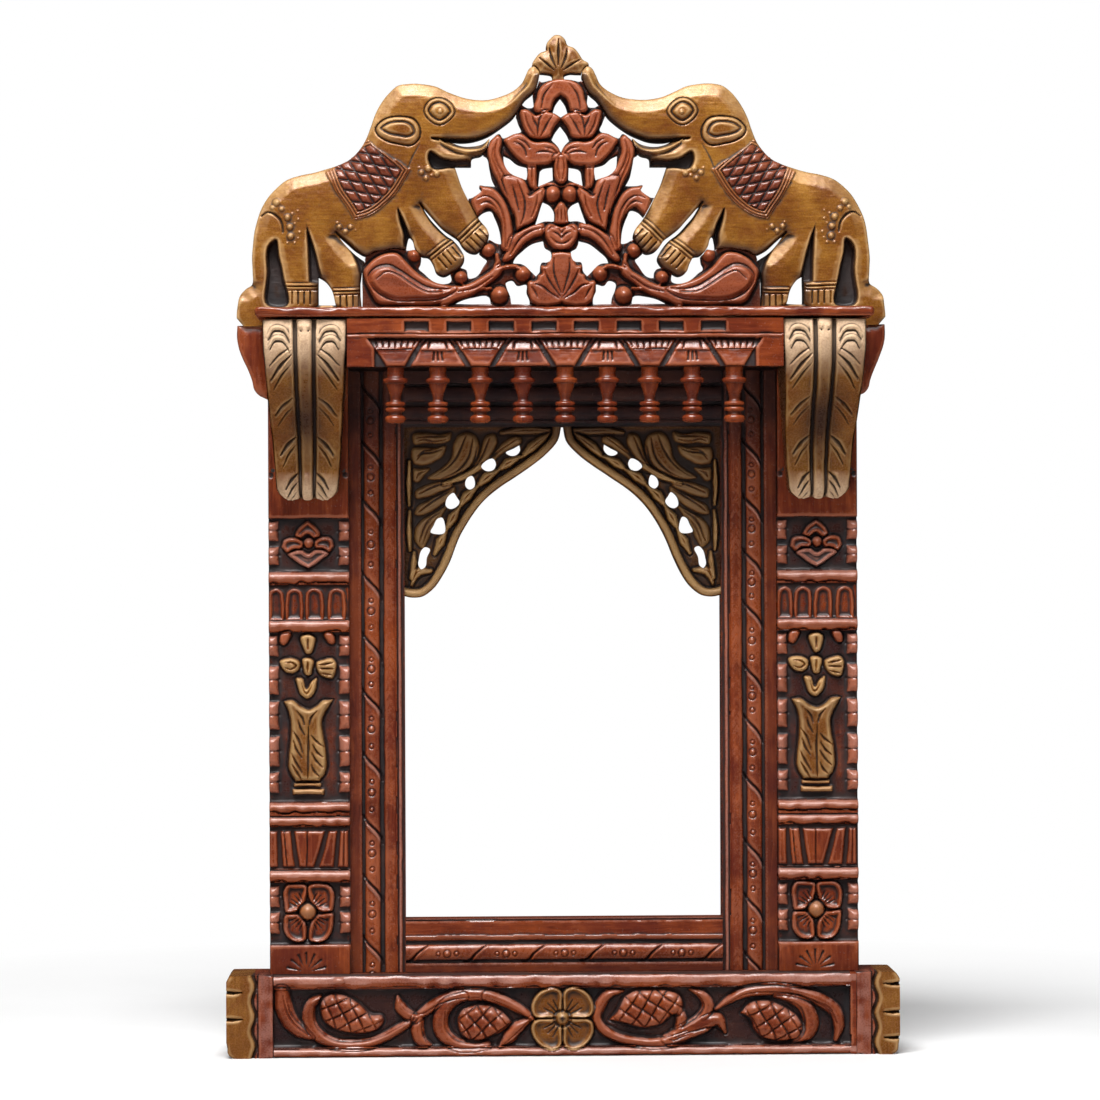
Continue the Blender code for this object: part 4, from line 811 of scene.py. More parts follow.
# Features drawn over the view of the crown
EAR = [
    (700, 512), (725, 478), (765, 458), (825, 452), (880, 468), (906, 508), (902, 556), (872, 582),
    (800, 578), (742, 562), (708, 536),
]
EAR_INNER = [
    (718, 512), (752, 482), (800, 470), (850, 476), (878, 500), (884, 530), (858, 550), (800, 548),
    (742, 532),
]
EYE_OUTER = [
    (922, 428), (945, 382), (1000, 360), (1052, 388), (1074, 430), (1042, 476), (998, 496),
    (948, 472),
]
TUSK = [
    (985, 548), (1035, 572), (1085, 588), (1140, 596), (1190, 590), (1232, 566), (1232, 566),
    (1226, 596), (1190, 620), (1140, 632), (1085, 622), (1035, 600), (1000, 578),
]
JAW = [
    (950, 612), (1010, 640), (1060, 648), (1145, 655), (1145, 690), (1050, 690), (960, 690),
    (940, 640),
]
MOUTH = [(965, 552), (1010, 556), (1090, 562), (1170, 556), (1240, 528)]
TAIL_RECESS = [
    (205, 1040), (232, 1020), (250, 1100), (272, 1200), (285, 1330), (195, 1330), (192, 1180),
]
BELLY_RECESS = [
    (800, 872), (826, 920), (846, 968), (850, 1060), (838, 1060), (826, 1000), (808, 930),
]
LEG_RECESS = [
    (376, 950), (376, 950), (398, 1010), (416, 1070), (432, 1130), (446, 1190), (446, 1190),
    (446, 1222), (388, 1222), (388, 1222), (386, 1150), (382, 1050),
]
THIGH_RECESS = [
    (540, 1022), (540, 1022), (590, 1066), (640, 1104), (672, 1122), (672, 1122), (672, 1240),
    (620, 1240), (620, 1240), (623, 1195), (612, 1148), (590, 1098), (562, 1052),
]
FLANK_LINE = [(512, 990), (550, 1026), (600, 1070), (652, 1112)]
FORELEG_LINE = [(905, 850), (940, 900), (985, 960), (1040, 1012)]
TAIL_ROOT = [(165, 918), (196, 898), (232, 912), (262, 950), (268, 990)]
NECK_LINE = [(905, 580), (870, 640), (850, 690)]
RUMP_BEADS = [
    (238, 852, 20), (218, 876, 13), (262, 884, 14), (288, 922, 18), (300, 966, 18), (304, 1010, 18),
    (336, 892, 7), (337, 930, 8), (345, 990, 8), (338, 1018, 7), (322, 1040, 8), (288, 1040, 8),
    (310, 905, 8), (322, 950, 7),
]
CHEST_BEADS = [
    (945, 695, 18), (913, 712, 14), (984, 716, 17), (934, 738, 13), (902, 690, 7), (960, 725, 8),
]
BELLY_BEADS = [(528, 966, 15), (556, 988, 15), (580, 966, 13), (520, 946, 8), (604, 980, 7)]
EYE_BEAD = (1000, 432, 12)
# Cuffs: two ends across the leg, towards the foot, and the number of toes
CUFFS = [
    ((1070, 1022), (1176, 922), (34, 34), 5),
    ((940, 1092), (1050, 1006), (30, 34), 5),
    ((280, 1232), (420, 1232), (0, 40), 5),
    ((505, 1254), (648, 1250), (0, 36), 5),
]

# Recesses: outline, floor, width of the wall round it, and how dark it is
RECESSES = [
    (TAIL_RECESS, 0.0110, 0.0014, 0.85), (BELLY_RECESS, 0.0110, 0.0014, 0.85),
    (LEG_RECESS, 0.0130, 0.0014, 0.85), (THIGH_RECESS, 0.0130, 0.0014, 0.85),
    (JAW, 0.0125, 0.0012, 0.70),
]
# Cut lines: places, width and depth
ELEPHANT_LINES = [
    (FLANK_LINE, 0.0016, 0.0040), (FORELEG_LINE, 0.0014, 0.0040), (TAIL_ROOT, 0.0009, 0.0018),
    (NECK_LINE, 0.0007, 0.0006), (MOUTH, 0.0018, 0.0060),
]
BODY_DEEP = 0.0195
CHAMFER = 0.0078
CHAMFER_DROP = 0.0034
BLANKET_GROOVES = (0.0008, 0.0026, 0.0044)
BLANKET_BORDER = 0.0046
STUD_PITCH = 0.0060
CUFF_HALF = 0.0009


def elephant(word, side):
    """One elephant, drawn as the left one. The right one is its mirror image."""
    def at(places, closed=True):
        return crowns(seen_in(CROWN_VIEW, places), closed)

    relief = Relief((-0.1965, 0.0445), (-0.0125, 0.2055), BODY_DEEP, 11 if side < 0 else 23)
    relief.keep(crowns(ELEPHANT, steps=4))
    relief.open(crowns(LEG_GAP, steps=4), 0.018)
    slope = np.gradient(blurred(relief.inside, 2), relief.step)
    facing_up = smooth_step(-slope[1] * 1.6)
    share = np.clip(relief.inside / CHAMFER, 0, 1)
    relief.deep += 0.0010 * smooth_step(relief.inside / 0.016)
    relief.deep -= facing_up * CHAMFER_DROP * (1 - share) ** 1.25
    # Painted highlight: a pale streaky band on the chamfer where the outline faces upwards.
    streaks = 0.80 + 0.35 * noise(relief.across, relief.up, 0.006, 29)
    band = smooth_step((CHAMFER - relief.inside) / 0.0018)
    relief.layers["wear_and_highlight"] = (0.48 * band * facing_up * streaks).clip(0, 1)
    # Painted shade: undersides and rims that face right are darkened.
    under = smooth_step(1.6 * (slope[1] - 0.55 * slope[0]))
    under *= smooth_step(1 - relief.inside / 0.0060)
    relief.layers["dark"] = 0.80 * under
    relief.layers["gold"][:] = 1
    relief.round_rim(0.0012, 0.0010)
    for shape, floor, wall, dark in RECESSES:
        found = relief.area(at(shape))
        relief.sink(found, floor, wall)
        relief.paint(found, "dark", dark, 0.001)
    for line, width, depth in ELEPHANT_LINES:
        relief.cut(at(line, False), [width * 0.5, width, width * 0.7], depth, width)
    relief.seat(relief.area(at(TUSK)), 0.013, 0.0215, 0.0020)
    found = relief.area(at(EAR))
    relief.ring(found, 0, 0.0006, -0.0016)
    relief.lift(found, 0.0012, 0.0030)
    where, within = relief.area(at(EAR_INNER))
    relief.lift((where, within), -0.0013, 0.0007)
    relief.lift((where, within - 0.0013), 0.0016, 0.0012)
    found = where, within = relief.area(at(EYE_OUTER))
    relief.ring(found, 0.0004, 0.00045, -0.0010)
    relief.ring(found, 0.0032, 0.00045, -0.0010)
    relief.ring(found, 0.0018, 0.0009, 0.0008)
    relief.lift((where, within - 0.0040), 0.0014, 0.0022)
    crown_bead(relief, *EYE_BEAD)
    blanket(relief)
    for bead in RUMP_BEADS + CHEST_BEADS + BELLY_BEADS:
        crown_bead(relief, *bead)
    for start, end, toward, toes in CUFFS:
        cuff(relief, start, end, toward, toes)
    piece = solid(f"elephant_{word}_carving", relief, 0.0, CARVED_BRIGHT, 0.75, mirror=side > 0)
    place(piece, f"elephant_{word}", "gold_paint")


def crown_bead(relief, x, y, radius):
    """A bead, at a place and with a radius in the view of the crown."""
    radius = radius / CROWN_VIEW[2] * PIXEL
    spot = relief.spot(crown(*seen_in(CROWN_VIEW, [(x, y)])[0]), radius)
    relief.lift(spot, -0.0004, 0.0002)
    relief.lift(spot, min(0.0022, 0.0004 + radius * 0.7), radius)


def blanket(relief):
    """The saddle cloth: a raised double border round a studded field."""
    where, within = relief.area(crowns(BLANKET, steps=4))
    inner = [(321, 168), (321, 168)] + BLANKET[2:13] + [(368, 138), (368, 138), (340, 150)]
    edge = inside_distance(relief.u[where], relief.v[where], crowns(inner, steps=4))
    relief.lift((where, within), 0.0012, 0.0006)
    for middle in BLANKET_GROOVES:
        relief.lift((where, np.minimum(0.0005 - np.abs(edge - middle), within)), -0.0011, 0.0005)
    relief.paint((where, np.minimum(BLANKET_BORDER - edge, within)), "gold", 0.45)
    field = np.minimum(edge - BLANKET_BORDER, within)
    relief.lift((where, field), -0.0012, 0.0006)
    relief.paint((where, field), "gold", 0.0)
    relief.paint((where, field), "dark", 0.62)
    across, up = relief.u[where], relief.v[where]
    rows = (up + 0.16 * across) / STUD_PITCH
    columns = (0.87 * across + 0.50 * up) / STUD_PITCH
    stud = 0.5 - np.maximum(np.abs(rows - np.round(rows)), np.abs(columns - np.round(columns)))
    height = rounded(stud / 0.34) * (stud > 0.06) * (field > 0.0002)
    relief.deep[where] += 0.0017 * height
    relief.layers["dark"][where] *= 1 - 0.55 * height


def cuff(relief, start, end, toward, toes):
    """Anklets across a leg, and the toes below them."""
    a, b, toward = (np.array(place, float) for place in (start, end, toward))
    for share in (0.0, 0.42):
        ends = seen_in(CROWN_VIEW, [a + toward * share, b + toward * share])
        found = relief.line(crowns(ends, False), CUFF_HALF)
        relief.lift((found[0], found[1] + 0.0008), -0.0007, 0.0006)
        relief.lift(found, 0.0014, CUFF_HALF)
    for i in range(1, toes):
        top = a + (b - a) * i / toes + toward * 0.85
        ends = seen_in(CROWN_VIEW, [top, top + toward * 1.35])
        relief.cut(crowns(ends, False), 0.0005, 0.0016, 0.0005)


# Tracery

class Folded(Relief):
    """A relief whose right half mirrors its left half."""

    def __init__(self, *settings, **more):
        super().__init__(*settings, **more)
        self.u = -np.abs(self.u)

    def window(self, points, reach):
        return np.s_[:, super().window(points, reach)[1]]


def form(relief, outline, foot, top, bevel=0.0017, cut=0.0007):
    """A raised shape with a line cut round it, and clean varnish or paint on top."""
    found = relief.area(outline)
    relief.ring(found, -cut, cut, -0.0012)
    relief.seat(found, foot, top, bevel)
    relief.paint(found, "dark", 0.0, 0.0008)
    return found


def blade(relief, points, radii, foot, top, vein=True):
    """A leaf blade along a line, with or without a cut down its middle."""
    found = relief.line(points, radii)
    relief.ring(found, -0.0005, 0.0006, -0.0010)
    relief.seat(found, foot, top, max(radii) * 0.8)
    relief.paint(found, "dark", 0.0, 0.0008)
    if vein:
        count = len(points)
        middle = points[count // 6 : count - count // 5]
        relief.cut(middle, [0.0002, 0.0006, 0.0003], 0.0009, 0.0006)


TRACERY_HULL = [
    (357.5, 321), (357.5, 272), (366, 240), (420, 180), (420, 110), (470, 112), (505, 105),
    (522, 85), (532, 78), (540, 82), (548, 80), (566, 80), (566, 321),
]
TRACERY_OPENINGS = [
    [(530, 92), (531.5, 98), (531, 107), (524, 107.5), (519, 103.5), (524, 95)],
    [
        (512, 114), (516, 122), (519.5, 131), (510, 135), (500, 138), (497, 134), (489, 140),
        (480, 147), (462, 150), (440, 143), (444, 138), (470, 136), (490, 128), (503, 119),
    ],
    [
        (501, 154), (501, 154), (507, 157), (514, 163), (525, 166), (525, 166), (525.5, 173),
        (524, 180), (524, 180), (515, 178), (507, 174), (502, 166),
    ],
    [
        (539, 169), (551, 165.5), (551, 165.5), (551.5, 180), (551.5, 180), (543, 184), (536, 187),
        (536, 187), (537, 178),
    ],
    [
        (470, 154), (484, 156), (487, 168), (490, 180), (494, 187), (494, 187), (484, 187),
        (476, 186.5), (479, 191), (470, 198), (463, 199), (452, 186), (446, 162),
    ],
    [
        (541, 200.5), (541, 200.5), (548, 204), (552, 210), (552, 222), (552, 222), (541, 222),
        (532, 226), (532, 226), (536, 215),
    ],
    [
        (541, 240), (541, 240), (543, 247), (549, 251), (547, 262), (539, 263), (537, 272),
        (533, 277), (533, 277), (528, 272), (520, 265), (510, 264), (510, 264), (512, 258),
        (520, 250), (530, 243),
    ],
    [
        (474, 219), (482, 211), (488, 210), (492, 217), (497, 230), (499, 245), (499, 245),
        (493, 244), (487, 241), (481, 240), (474, 228),
    ],
    [
        (450, 247), (463, 246), (474, 252), (480, 257), (484, 260), (480, 268), (472, 278),
        (465, 279), (463, 271), (456, 268), (455, 258),
    ],
    [(411, 202), (425, 208), (440, 222), (456, 238), (446, 242), (430, 230)],
    [
        (503, 283), (510, 280), (515, 285), (524, 284), (524, 292), (527, 300), (527, 305),
        (527, 305), (508, 305), (508, 305), (507, 297), (504, 290),
    ],
    [(455, 302), (470, 297), (486, 297), (488, 305), (488, 305), (450, 305), (450, 305)],
    [(402, 234), (412, 236), (413, 250), (404, 252), (400, 251)],
    [
        (418, 254), (428, 260), (434, 272), (446, 274), (447, 283), (440, 285), (430, 283),
        (420, 275), (414, 269), (416, 264),
    ],
    [
        (559, 96), (559, 96), (554, 103), (551, 113), (551, 113), (559, 117.5), (559, 117.5),
        (567, 113), (567, 113), (564, 103),
    ],
    [
        (559, 124), (559, 124), (553, 132), (549.5, 140), (549.5, 140), (556, 147), (559, 153.5),
        (559, 153.5), (562, 147), (568.5, 140), (568.5, 140), (565, 132),
    ],
]

# Forms over the tracery's view, which shows its left half
ARCH_LIMB = [
    (760, 118), (690, 126), (640, 150), (605, 190), (590, 250), (572, 300), (580, 325), (690, 325),
    (703, 280), (720, 245), (760, 215),
]
TULIP = [
    (490, 320), (530, 310), (560, 325), (590, 345), (620, 335), (650, 325), (690, 330), (730, 350),
    (750, 375), (735, 395), (715, 420), (700, 450), (690, 480), (660, 495), (600, 500), (550, 490),
    (525, 460), (510, 430), (495, 390), (485, 350),
]
BUD = [
    (385, 505), (420, 480), (460, 462), (500, 462), (530, 480), (560, 505), (600, 515), (650, 510),
    (700, 525), (740, 560), (755, 590), (735, 620), (700, 645), (650, 665), (600, 668), (530, 665),
    (490, 645), (460, 620), (430, 585), (400, 540),
]
BUD_STEM = [(535, 655), (600, 655), (600, 700), (598, 760), (594, 815), (560, 810), (535, 760)]
CENTRE_BUD = [
    (705, 610), (740, 590), (775, 585), (775, 780), (755, 785), (715, 765), (702, 700), (702, 650),
]
LOWER_BUD = [
    (715, 925), (735, 895), (775, 880), (775, 1035), (700, 1030), (698, 980), (705, 940),
]
FLAME = [
    (345, 468), (345, 468), (375, 490), (380, 530), (370, 580), (380, 620), (400, 660), (430, 700),
    (470, 715), (500, 735), (525, 760), (545, 800), (555, 850), (520, 860), (470, 900), (445, 1060),
    (440, 1010), (420, 940), (395, 880), (370, 830), (345, 770), (310, 700), (290, 640), (280, 570),
    (310, 500),
]
BODY_LEAF = [
    (390, 740), (450, 740), (520, 770), (550, 850), (600, 815), (640, 800), (650, 850), (620, 920),
    (600, 980), (560, 1030), (500, 1060), (470, 1080), (450, 1000), (430, 920), (400, 830),
]
HOOK_LEAF = [
    (225, 800), (270, 800), (320, 810), (360, 840), (400, 900), (425, 960), (440, 1040),
    (450, 1100), (430, 1180), (420, 1210), (375, 1200), (370, 1100), (365, 1030), (340, 980),
    (300, 940), (280, 935), (250, 960), (210, 980), (195, 950), (180, 880), (215, 840),
]
BRANCH = [
    (640, 1030), (580, 1030), (530, 1050), (480, 1080), (440, 1110), (410, 1180), (380, 1270),
    (400, 1272), (440, 1250), (480, 1200), (530, 1150), (580, 1120), (640, 1100),
]
LOTUS = [
    (640, 1060), (660, 1035), (690, 1030), (720, 1040), (775, 1062), (775, 1200), (700, 1190),
    (660, 1150), (640, 1110),
]
PALMETTE = [
    (550, 1520), (530, 1440), (530, 1400), (545, 1385), (570, 1390), (590, 1380), (600, 1350),
    (620, 1340), (615, 1310), (620, 1290), (650, 1290), (660, 1250), (680, 1215), (720, 1205),
    (775, 1200), (775, 1520),
]
# Outline and how far from the wall the form's top stands
TRACERY_FORMS = [
    (FLAME, 0.0208), (BODY_LEAF, 0.0212), (HOOK_LEAF, 0.0216), (BRANCH, 0.0206),
    (ARCH_LIMB, 0.0208), (BUD_STEM, 0.0200), (BUD, 0.0216), (TULIP, 0.0212), (CENTRE_BUD, 0.0212),
    (LOWER_BUD, 0.0208), (LOTUS, 0.0216), (PALMETTE, 0.0208),
]
TRACERY_GROOVES = [
    [(700, 150), (640, 230), (625, 310)],
    [(560, 330), (575, 380), (600, 430), (600, 485)],
    [(645, 332), (615, 370), (605, 430)],
    [(520, 345), (535, 400), (560, 450), (585, 485)],
    [(700, 350), (665, 400), (640, 450), (620, 485)],
    [(590, 590), (625, 580), (665, 580), (700, 592)],
    [(450, 520), (490, 535), (520, 570), (530, 610)],
    [(475, 500), (520, 520), (550, 560)],
    [(566, 680), (566, 740), (564, 800)],
    [(640, 555), (690, 560), (725, 590)],
    [(735, 620), (728, 690), (740, 755)],
    [(758, 620), (756, 690), (758, 750)],
    [(730, 930), (722, 980), (722, 1015)],
    [(755, 920), (752, 970), (752, 1015)],
    [(345, 510), (330, 580), (345, 650), (390, 730)],
    [(320, 560), (315, 620), (340, 690), (380, 780), (410, 860)],
    [(470, 760), (500, 830), (520, 900), (510, 980), (490, 1040)],
    [(600, 850), (590, 920), (560, 990)],
    [(440, 790), (460, 860), (480, 950)],
    [(215, 880), (270, 860), (320, 880), (360, 930), (385, 1000), (395, 1080), (395, 1180)],
    [(240, 910), (280, 895), (320, 920), (355, 980)],
    [(630, 1062), (580, 1070), (520, 1100), (470, 1150), (425, 1230)],
    [(660, 1080), (690, 1052), (720, 1060), (757, 1100)],
    [(680, 1120), (720, 1150), (757, 1160)],
    [(690, 1085), (715, 1090), (757, 1130)],
    [(757, 1210), (757, 1480)],
    [(745, 1470), (720, 1400), (700, 1330), (700, 1250)],
    [(740, 1490), (690, 1420), (660, 1370), (640, 1320)],
    [(730, 1500), (670, 1460), (620, 1420), (575, 1410)],
    [(600, 1500), (580, 1460), (560, 1430)],
]
TRACERY_BALLS = [
    (695, 840, 57), (505, 1345, 50), (355, 1480, 58), (290, 1200, 45), (110, 1370, 43),
    (775, 880, 26),
]
TRACERY_STEMS = [
    ([(545, 850), (590, 812), (640, 790), (690, 780), (745, 795)], [9, 13, 9]),
    ([(350, 1270), (320, 1330), (270, 1380), (200, 1430), (100, 1480), (0, 1540)], [18, 24, 26]),
    ([(200, 1430), (300, 1370), (380, 1310), (450, 1300), (500, 1320)], [14, 18, 16]),
    ([(100, 1475), (200, 1445), (300, 1440)], [16, 18, 14]),
    ([(340, 1230), (352, 1290)], [16, 20]),
    ([(110, 1400), (150, 1440), (200, 1450)], [14, 16, 14]),
]
# The paisley leaf between the elephant and the stems, over the view of the crown
PAISLEY = [
    (640, 1165), (665, 1130), (700, 1100), (750, 1080), (800, 1082), (830, 1108), (858, 1140),
    (885, 1165), (930, 1195), (1000, 1218), (1080, 1230), (1130, 1218), (1200, 1180), (1290, 1140),
    (1290, 1165), (1230, 1222), (1160, 1272), (1080, 1302), (950, 1322), (800, 1322), (700, 1312),
    (668, 1262), (645, 1210),
]
PAISLEY_BODY = [
    (668, 1190), (700, 1152), (760, 1140), (800, 1160), (860, 1200), (930, 1240), (1000, 1252),
    (1070, 1250), (1020, 1282), (900, 1297), (760, 1292), (695, 1252),
]
PAISLEY_LINES = [
    [(700, 1205), (750, 1168), (800, 1182), (860, 1222), (930, 1258), (1010, 1262)],
    [(1080, 1262), (1160, 1240), (1240, 1190)],
]
PAISLEY_BEAD = (875, 1092)
TRACERY_GROUND = 0.0152


def tracery():
    def at(places, closed=True, view=TRACERY_VIEW):
        return crowns(seen_in(view, places), closed, 4 if closed else 6)

    unit = PIXEL / TRACERY_VIEW[2]
    relief = Folded((-0.1235, 0.0452), (0.1235, 0.1935), TRACERY_GROUND, 31, step=PLAIN)
    relief.keep(crowns(TRACERY_HULL, steps=1))
    for opening in TRACERY_OPENINGS:
        relief.open(crowns(opening, steps=4))
    relief.open(crowns(ELEPHANT, steps=4), gap=CLEARANCE)
    relief.layers["dark"][:] = 0.55
    # Painted highlight: the tracery is paled all over in patches, as it stands in the stronger
    # light at the top.
    tracery_highlight = 0.26 + 0.20 * noise(relief.across, relief.up, 0.012, 37)
    relief.layers["wear_and_highlight"] = tracery_highlight.clip(0, 1)
    for points, radii in TRACERY_STEMS:
        found = relief.line(at(points, False), [r * unit for r in radii])
        relief.seat(found, TRACERY_GROUND, 0.0202, 0.0016)
        relief.paint(found, "dark", 0.0, 0.0008)
    for outline, top in TRACERY_FORMS:
        form(relief, at(outline), TRACERY_GROUND, top)
    form(relief, at(PAISLEY, view=CROWN_VIEW), TRACERY_GROUND, 0.0204, 0.0020)
    form(relief, at(PAISLEY_BODY, view=CROWN_VIEW), 0.0185, 0.0222, 0.0030, 0.0006)
    found = relief.spot(crown(*seen_in(CROWN_VIEW, [PAISLEY_BEAD])[0]), 0.0042)
    relief.seat(found, TRACERY_GROUND, 0.0215, 0.0042)
    relief.paint(found, "dark", 0.0)
    for view, lines in ((TRACERY_VIEW, TRACERY_GROOVES), (CROWN_VIEW, PAISLEY_LINES)):
        for line in lines:
            relief.cut(at(line, False, view), [0.0003, 0.0008, 0.0005], 0.0015, 0.0008)
    for x, y, radius in TRACERY_BALLS:
        found = relief.spot(crown(*seen_in(TRACERY_VIEW, [(x, y)])[0]), radius * unit)
        relief.ring(found, -0.0006, 0.0007, -0.0012)
        relief.seat(found, TRACERY_GROUND, 0.0224, radius * unit)
        relief.paint(found, "dark", 0.0)
    relief.round_rim(0.0008, 0.0006)
    piece = solid("tracery_carving", relief, 0.0, CARVED_BRIGHT, 0.6)
    place(piece, "crown_tracery", "red_varnish")


# Finial

FINIAL = [
    (529, 69), (529, 62), (532, 57), (537, 51), (543, 48), (543, 43), (547, 37), (552, 33),
    (557, 33.5), (562, 38), (564, 43), (571, 46), (576, 52), (580, 58), (585, 61), (586, 66),
    (583, 70), (574, 71), (566, 71), (561, 73.5), (561, 79), (561, 79), (549, 79), (549, 79),
    (549, 73.5), (540, 71),
]
FINIAL_LINES = [
    [(555, 37), (555, 50), (555, 64)], [(546, 46), (548, 56), (553, 67)],
    [(536, 56), (543, 62), (551, 69)], [(564, 47), (562, 57), (558, 67)],
    [(577, 58), (568, 63), (560, 69)],
]
FINIAL_MIDDLE_PX, FINIAL_FOOT_ROW = 557.5, 79
CROWN_HEIGHT = 0.1758
FINIAL_FOOT = SHELF_FOOT + 0.832 * CROWN_HEIGHT + 0.0003
FINIAL_BACK = 0.003


def finial():
    def at(places, closed=True):
        line = [
            ((x - FINIAL_MIDDLE_PX) * PIXEL, FINIAL_FOOT + (FINIAL_FOOT_ROW - y) * PIXEL)
            for x, y in places
        ]
        return curve(line, closed, 4)

    relief = Relief((-0.0185, 0.1905), (0.0185, 0.2225), 0.0172, 41, step=0.0003)
    relief.keep(at(FINIAL))
    for side in (-1, 1):
        relief.open(crowns(ELEPHANT, steps=4, side=side), gap=CLEARANCE)
    relief.layers["gold"][:] = 1
    relief.deep += 0.0016 * smooth_step(relief.inside / 0.006)
    for line in FINIAL_LINES:
        relief.cut(at(line, False), [0.0003, 0.0010, 0.0003], 0.0018, 0.0010)
    relief.round_rim(0.0014)
    piece = solid("finial_carving", relief, FINIAL_BACK, CARVED_UP)
    place(piece, "finial", "gold_paint")


# Spandrels

SPANDREL = [
    (398, 423), (398, 423), (562.8, 423), (562.8, 423), (559.4, 438), (548.2, 451), (533, 463),
    (516, 475), (498, 487), (482.5, 501), (471.3, 516), (460.8, 533.6), (453.2, 553),
    (443.7, 572.6), (432.6, 588), (422.5, 595), (412, 596), (398, 593), (398, 593),
]
ARCH_FIRST, ARCH_LAST = 2, 18
SPANDREL_OPENINGS = [
    [(507, 451), (515, 446), (521, 442.5), (521, 442.5), (521.5, 448), (517, 453), (511, 453.5)],
    [(482, 465), (488, 458), (494, 456.5), (497, 462), (494, 468), (487, 469)],
    [(466, 480), (469, 475), (473, 473.5), (476, 480), (475, 485), (470, 487.5), (466, 484)],
    [
        (446, 500), (449, 494), (454, 491), (457, 495), (460, 500), (455, 506), (450, 507),
        (446, 504),
    ],
    [(431, 531), (434, 524), (438, 517), (442, 516), (445, 522), (445, 531), (437, 532.5)],
    [
        (418.5, 565), (419, 557), (422, 548), (425, 545.5), (430, 547), (427, 556), (425, 566),
        (421, 568),
    ],
]
# Leaves over the spandrel's view
SPANDREL_LEAVES = [
    [
        (175, 308), (238, 262), (282, 215), (296, 150), (318, 108), (358, 94), (398, 108),
        (418, 150), (405, 215), (362, 268), (300, 302), (230, 318),
    ],
    [
        (368, 284), (408, 218), (428, 150), (448, 108), (490, 102), (502, 130), (484, 182),
        (442, 234), (398, 278),
    ],
    [
        (404, 284), (452, 226), (504, 168), (544, 128), (604, 112), (616, 130), (562, 168),
        (506, 206), (452, 254),
    ],
    [
        (300, 314), (230, 322), (160, 340), (118, 368), (122, 398), (170, 398), (232, 376),
        (292, 346),
    ],
    [
        (302, 348), (240, 378), (180, 408), (124, 442), (118, 474), (150, 480), (204, 458),
        (256, 416), (302, 376),
    ],
    [
        (262, 436), (202, 470), (150, 496), (116, 542), (118, 604), (150, 628), (178, 592),
        (204, 534), (240, 482),
    ],
    [(108, 105), (165, 96), (235, 104), (286, 96), (282, 130), (240, 150), (175, 148), (112, 150)],
    [
        (108, 168), (150, 164), (210, 168), (262, 158), (250, 200), (205, 232), (160, 250),
        (112, 240),
    ],
    [(110, 262), (150, 262), (186, 262), (160, 296), (128, 326), (108, 318)],
]
SPANDREL_VEINS = [
    [(196, 304), (270, 256), (322, 190), (356, 108)],
    [(240, 310), (310, 276), (364, 214), (388, 120)], [(330, 296), (385, 240), (408, 160)],
    [(384, 272), (428, 206), (466, 118)], [(420, 270), (486, 200), (590, 122)],
    [(288, 328), (214, 342), (136, 378)], [(292, 360), (214, 404), (136, 462)],
    [(250, 452), (182, 500), (136, 600)], [(228, 478), (186, 530), (152, 614)],
    [(120, 122), (180, 116), (262, 112)], [(124, 140), (160, 128), (200, 138), (262, 128)],
    [(124, 226), (150, 196), (200, 188), (246, 172)], [(128, 206), (160, 182), (200, 176)],
    [(122, 312), (136, 286), (168, 272)],
]
# Small leaves along the rim: the line and its half widths
SPANDREL_BLADES = [
    ([(520, 96), (600, 86), (690, 84), (760, 80)], [10, 20, 20, 8]),
    ([(92, 230), (88, 330), (92, 430)], [8, 14, 8]),
    ([(94, 460), (88, 560), (92, 640)], [8, 14, 8]),
    ([(250, 334), (330, 304), (400, 266), (470, 226)], [8, 16, 14, 6]),
    ([(612, 208), (660, 162), (712, 120), (752, 88)], [10, 26, 20, 6]),
    ([(505, 268), (548, 236), (604, 206)], [10, 25, 10]),
    ([(405, 345), (450, 302), (502, 270)], [10, 27, 10]),
    ([(322, 438), (358, 388), (404, 346)], [10, 27, 10]),
    ([(262, 545), (290, 490), (322, 440)], [10, 26, 10]),
    ([(208, 655), (236, 600), (262, 548)], [10, 25, 10]),
    ([(100, 800), (120, 745), (190, 735)], [8, 26, 10]),
    ([(112, 652), (110, 700), (96, 770)], [8, 16, 10]),
]
SPANDREL_TOP = -0.0168
SPANDREL_MIDDLE_PX, SPANDREL_TOP_ROW = 563.5, 425
ARCH_REACH = 0.007
SPANDREL_GROUND = 0.0152
SPANDREL_FRONT = 0.0192
RIM_WIDTH = 0.0050


def spandrel_place(places, closed=True):
    line = [
        (
            (x - SPANDREL_MIDDLE_PX) * SPANDREL_PIXEL,
            SPANDREL_TOP + PIXEL * (SPANDREL_TOP_ROW - level_row(x, y, 563)),
        )
        for x, y in places
    ]
    return curve(line, closed, 4)


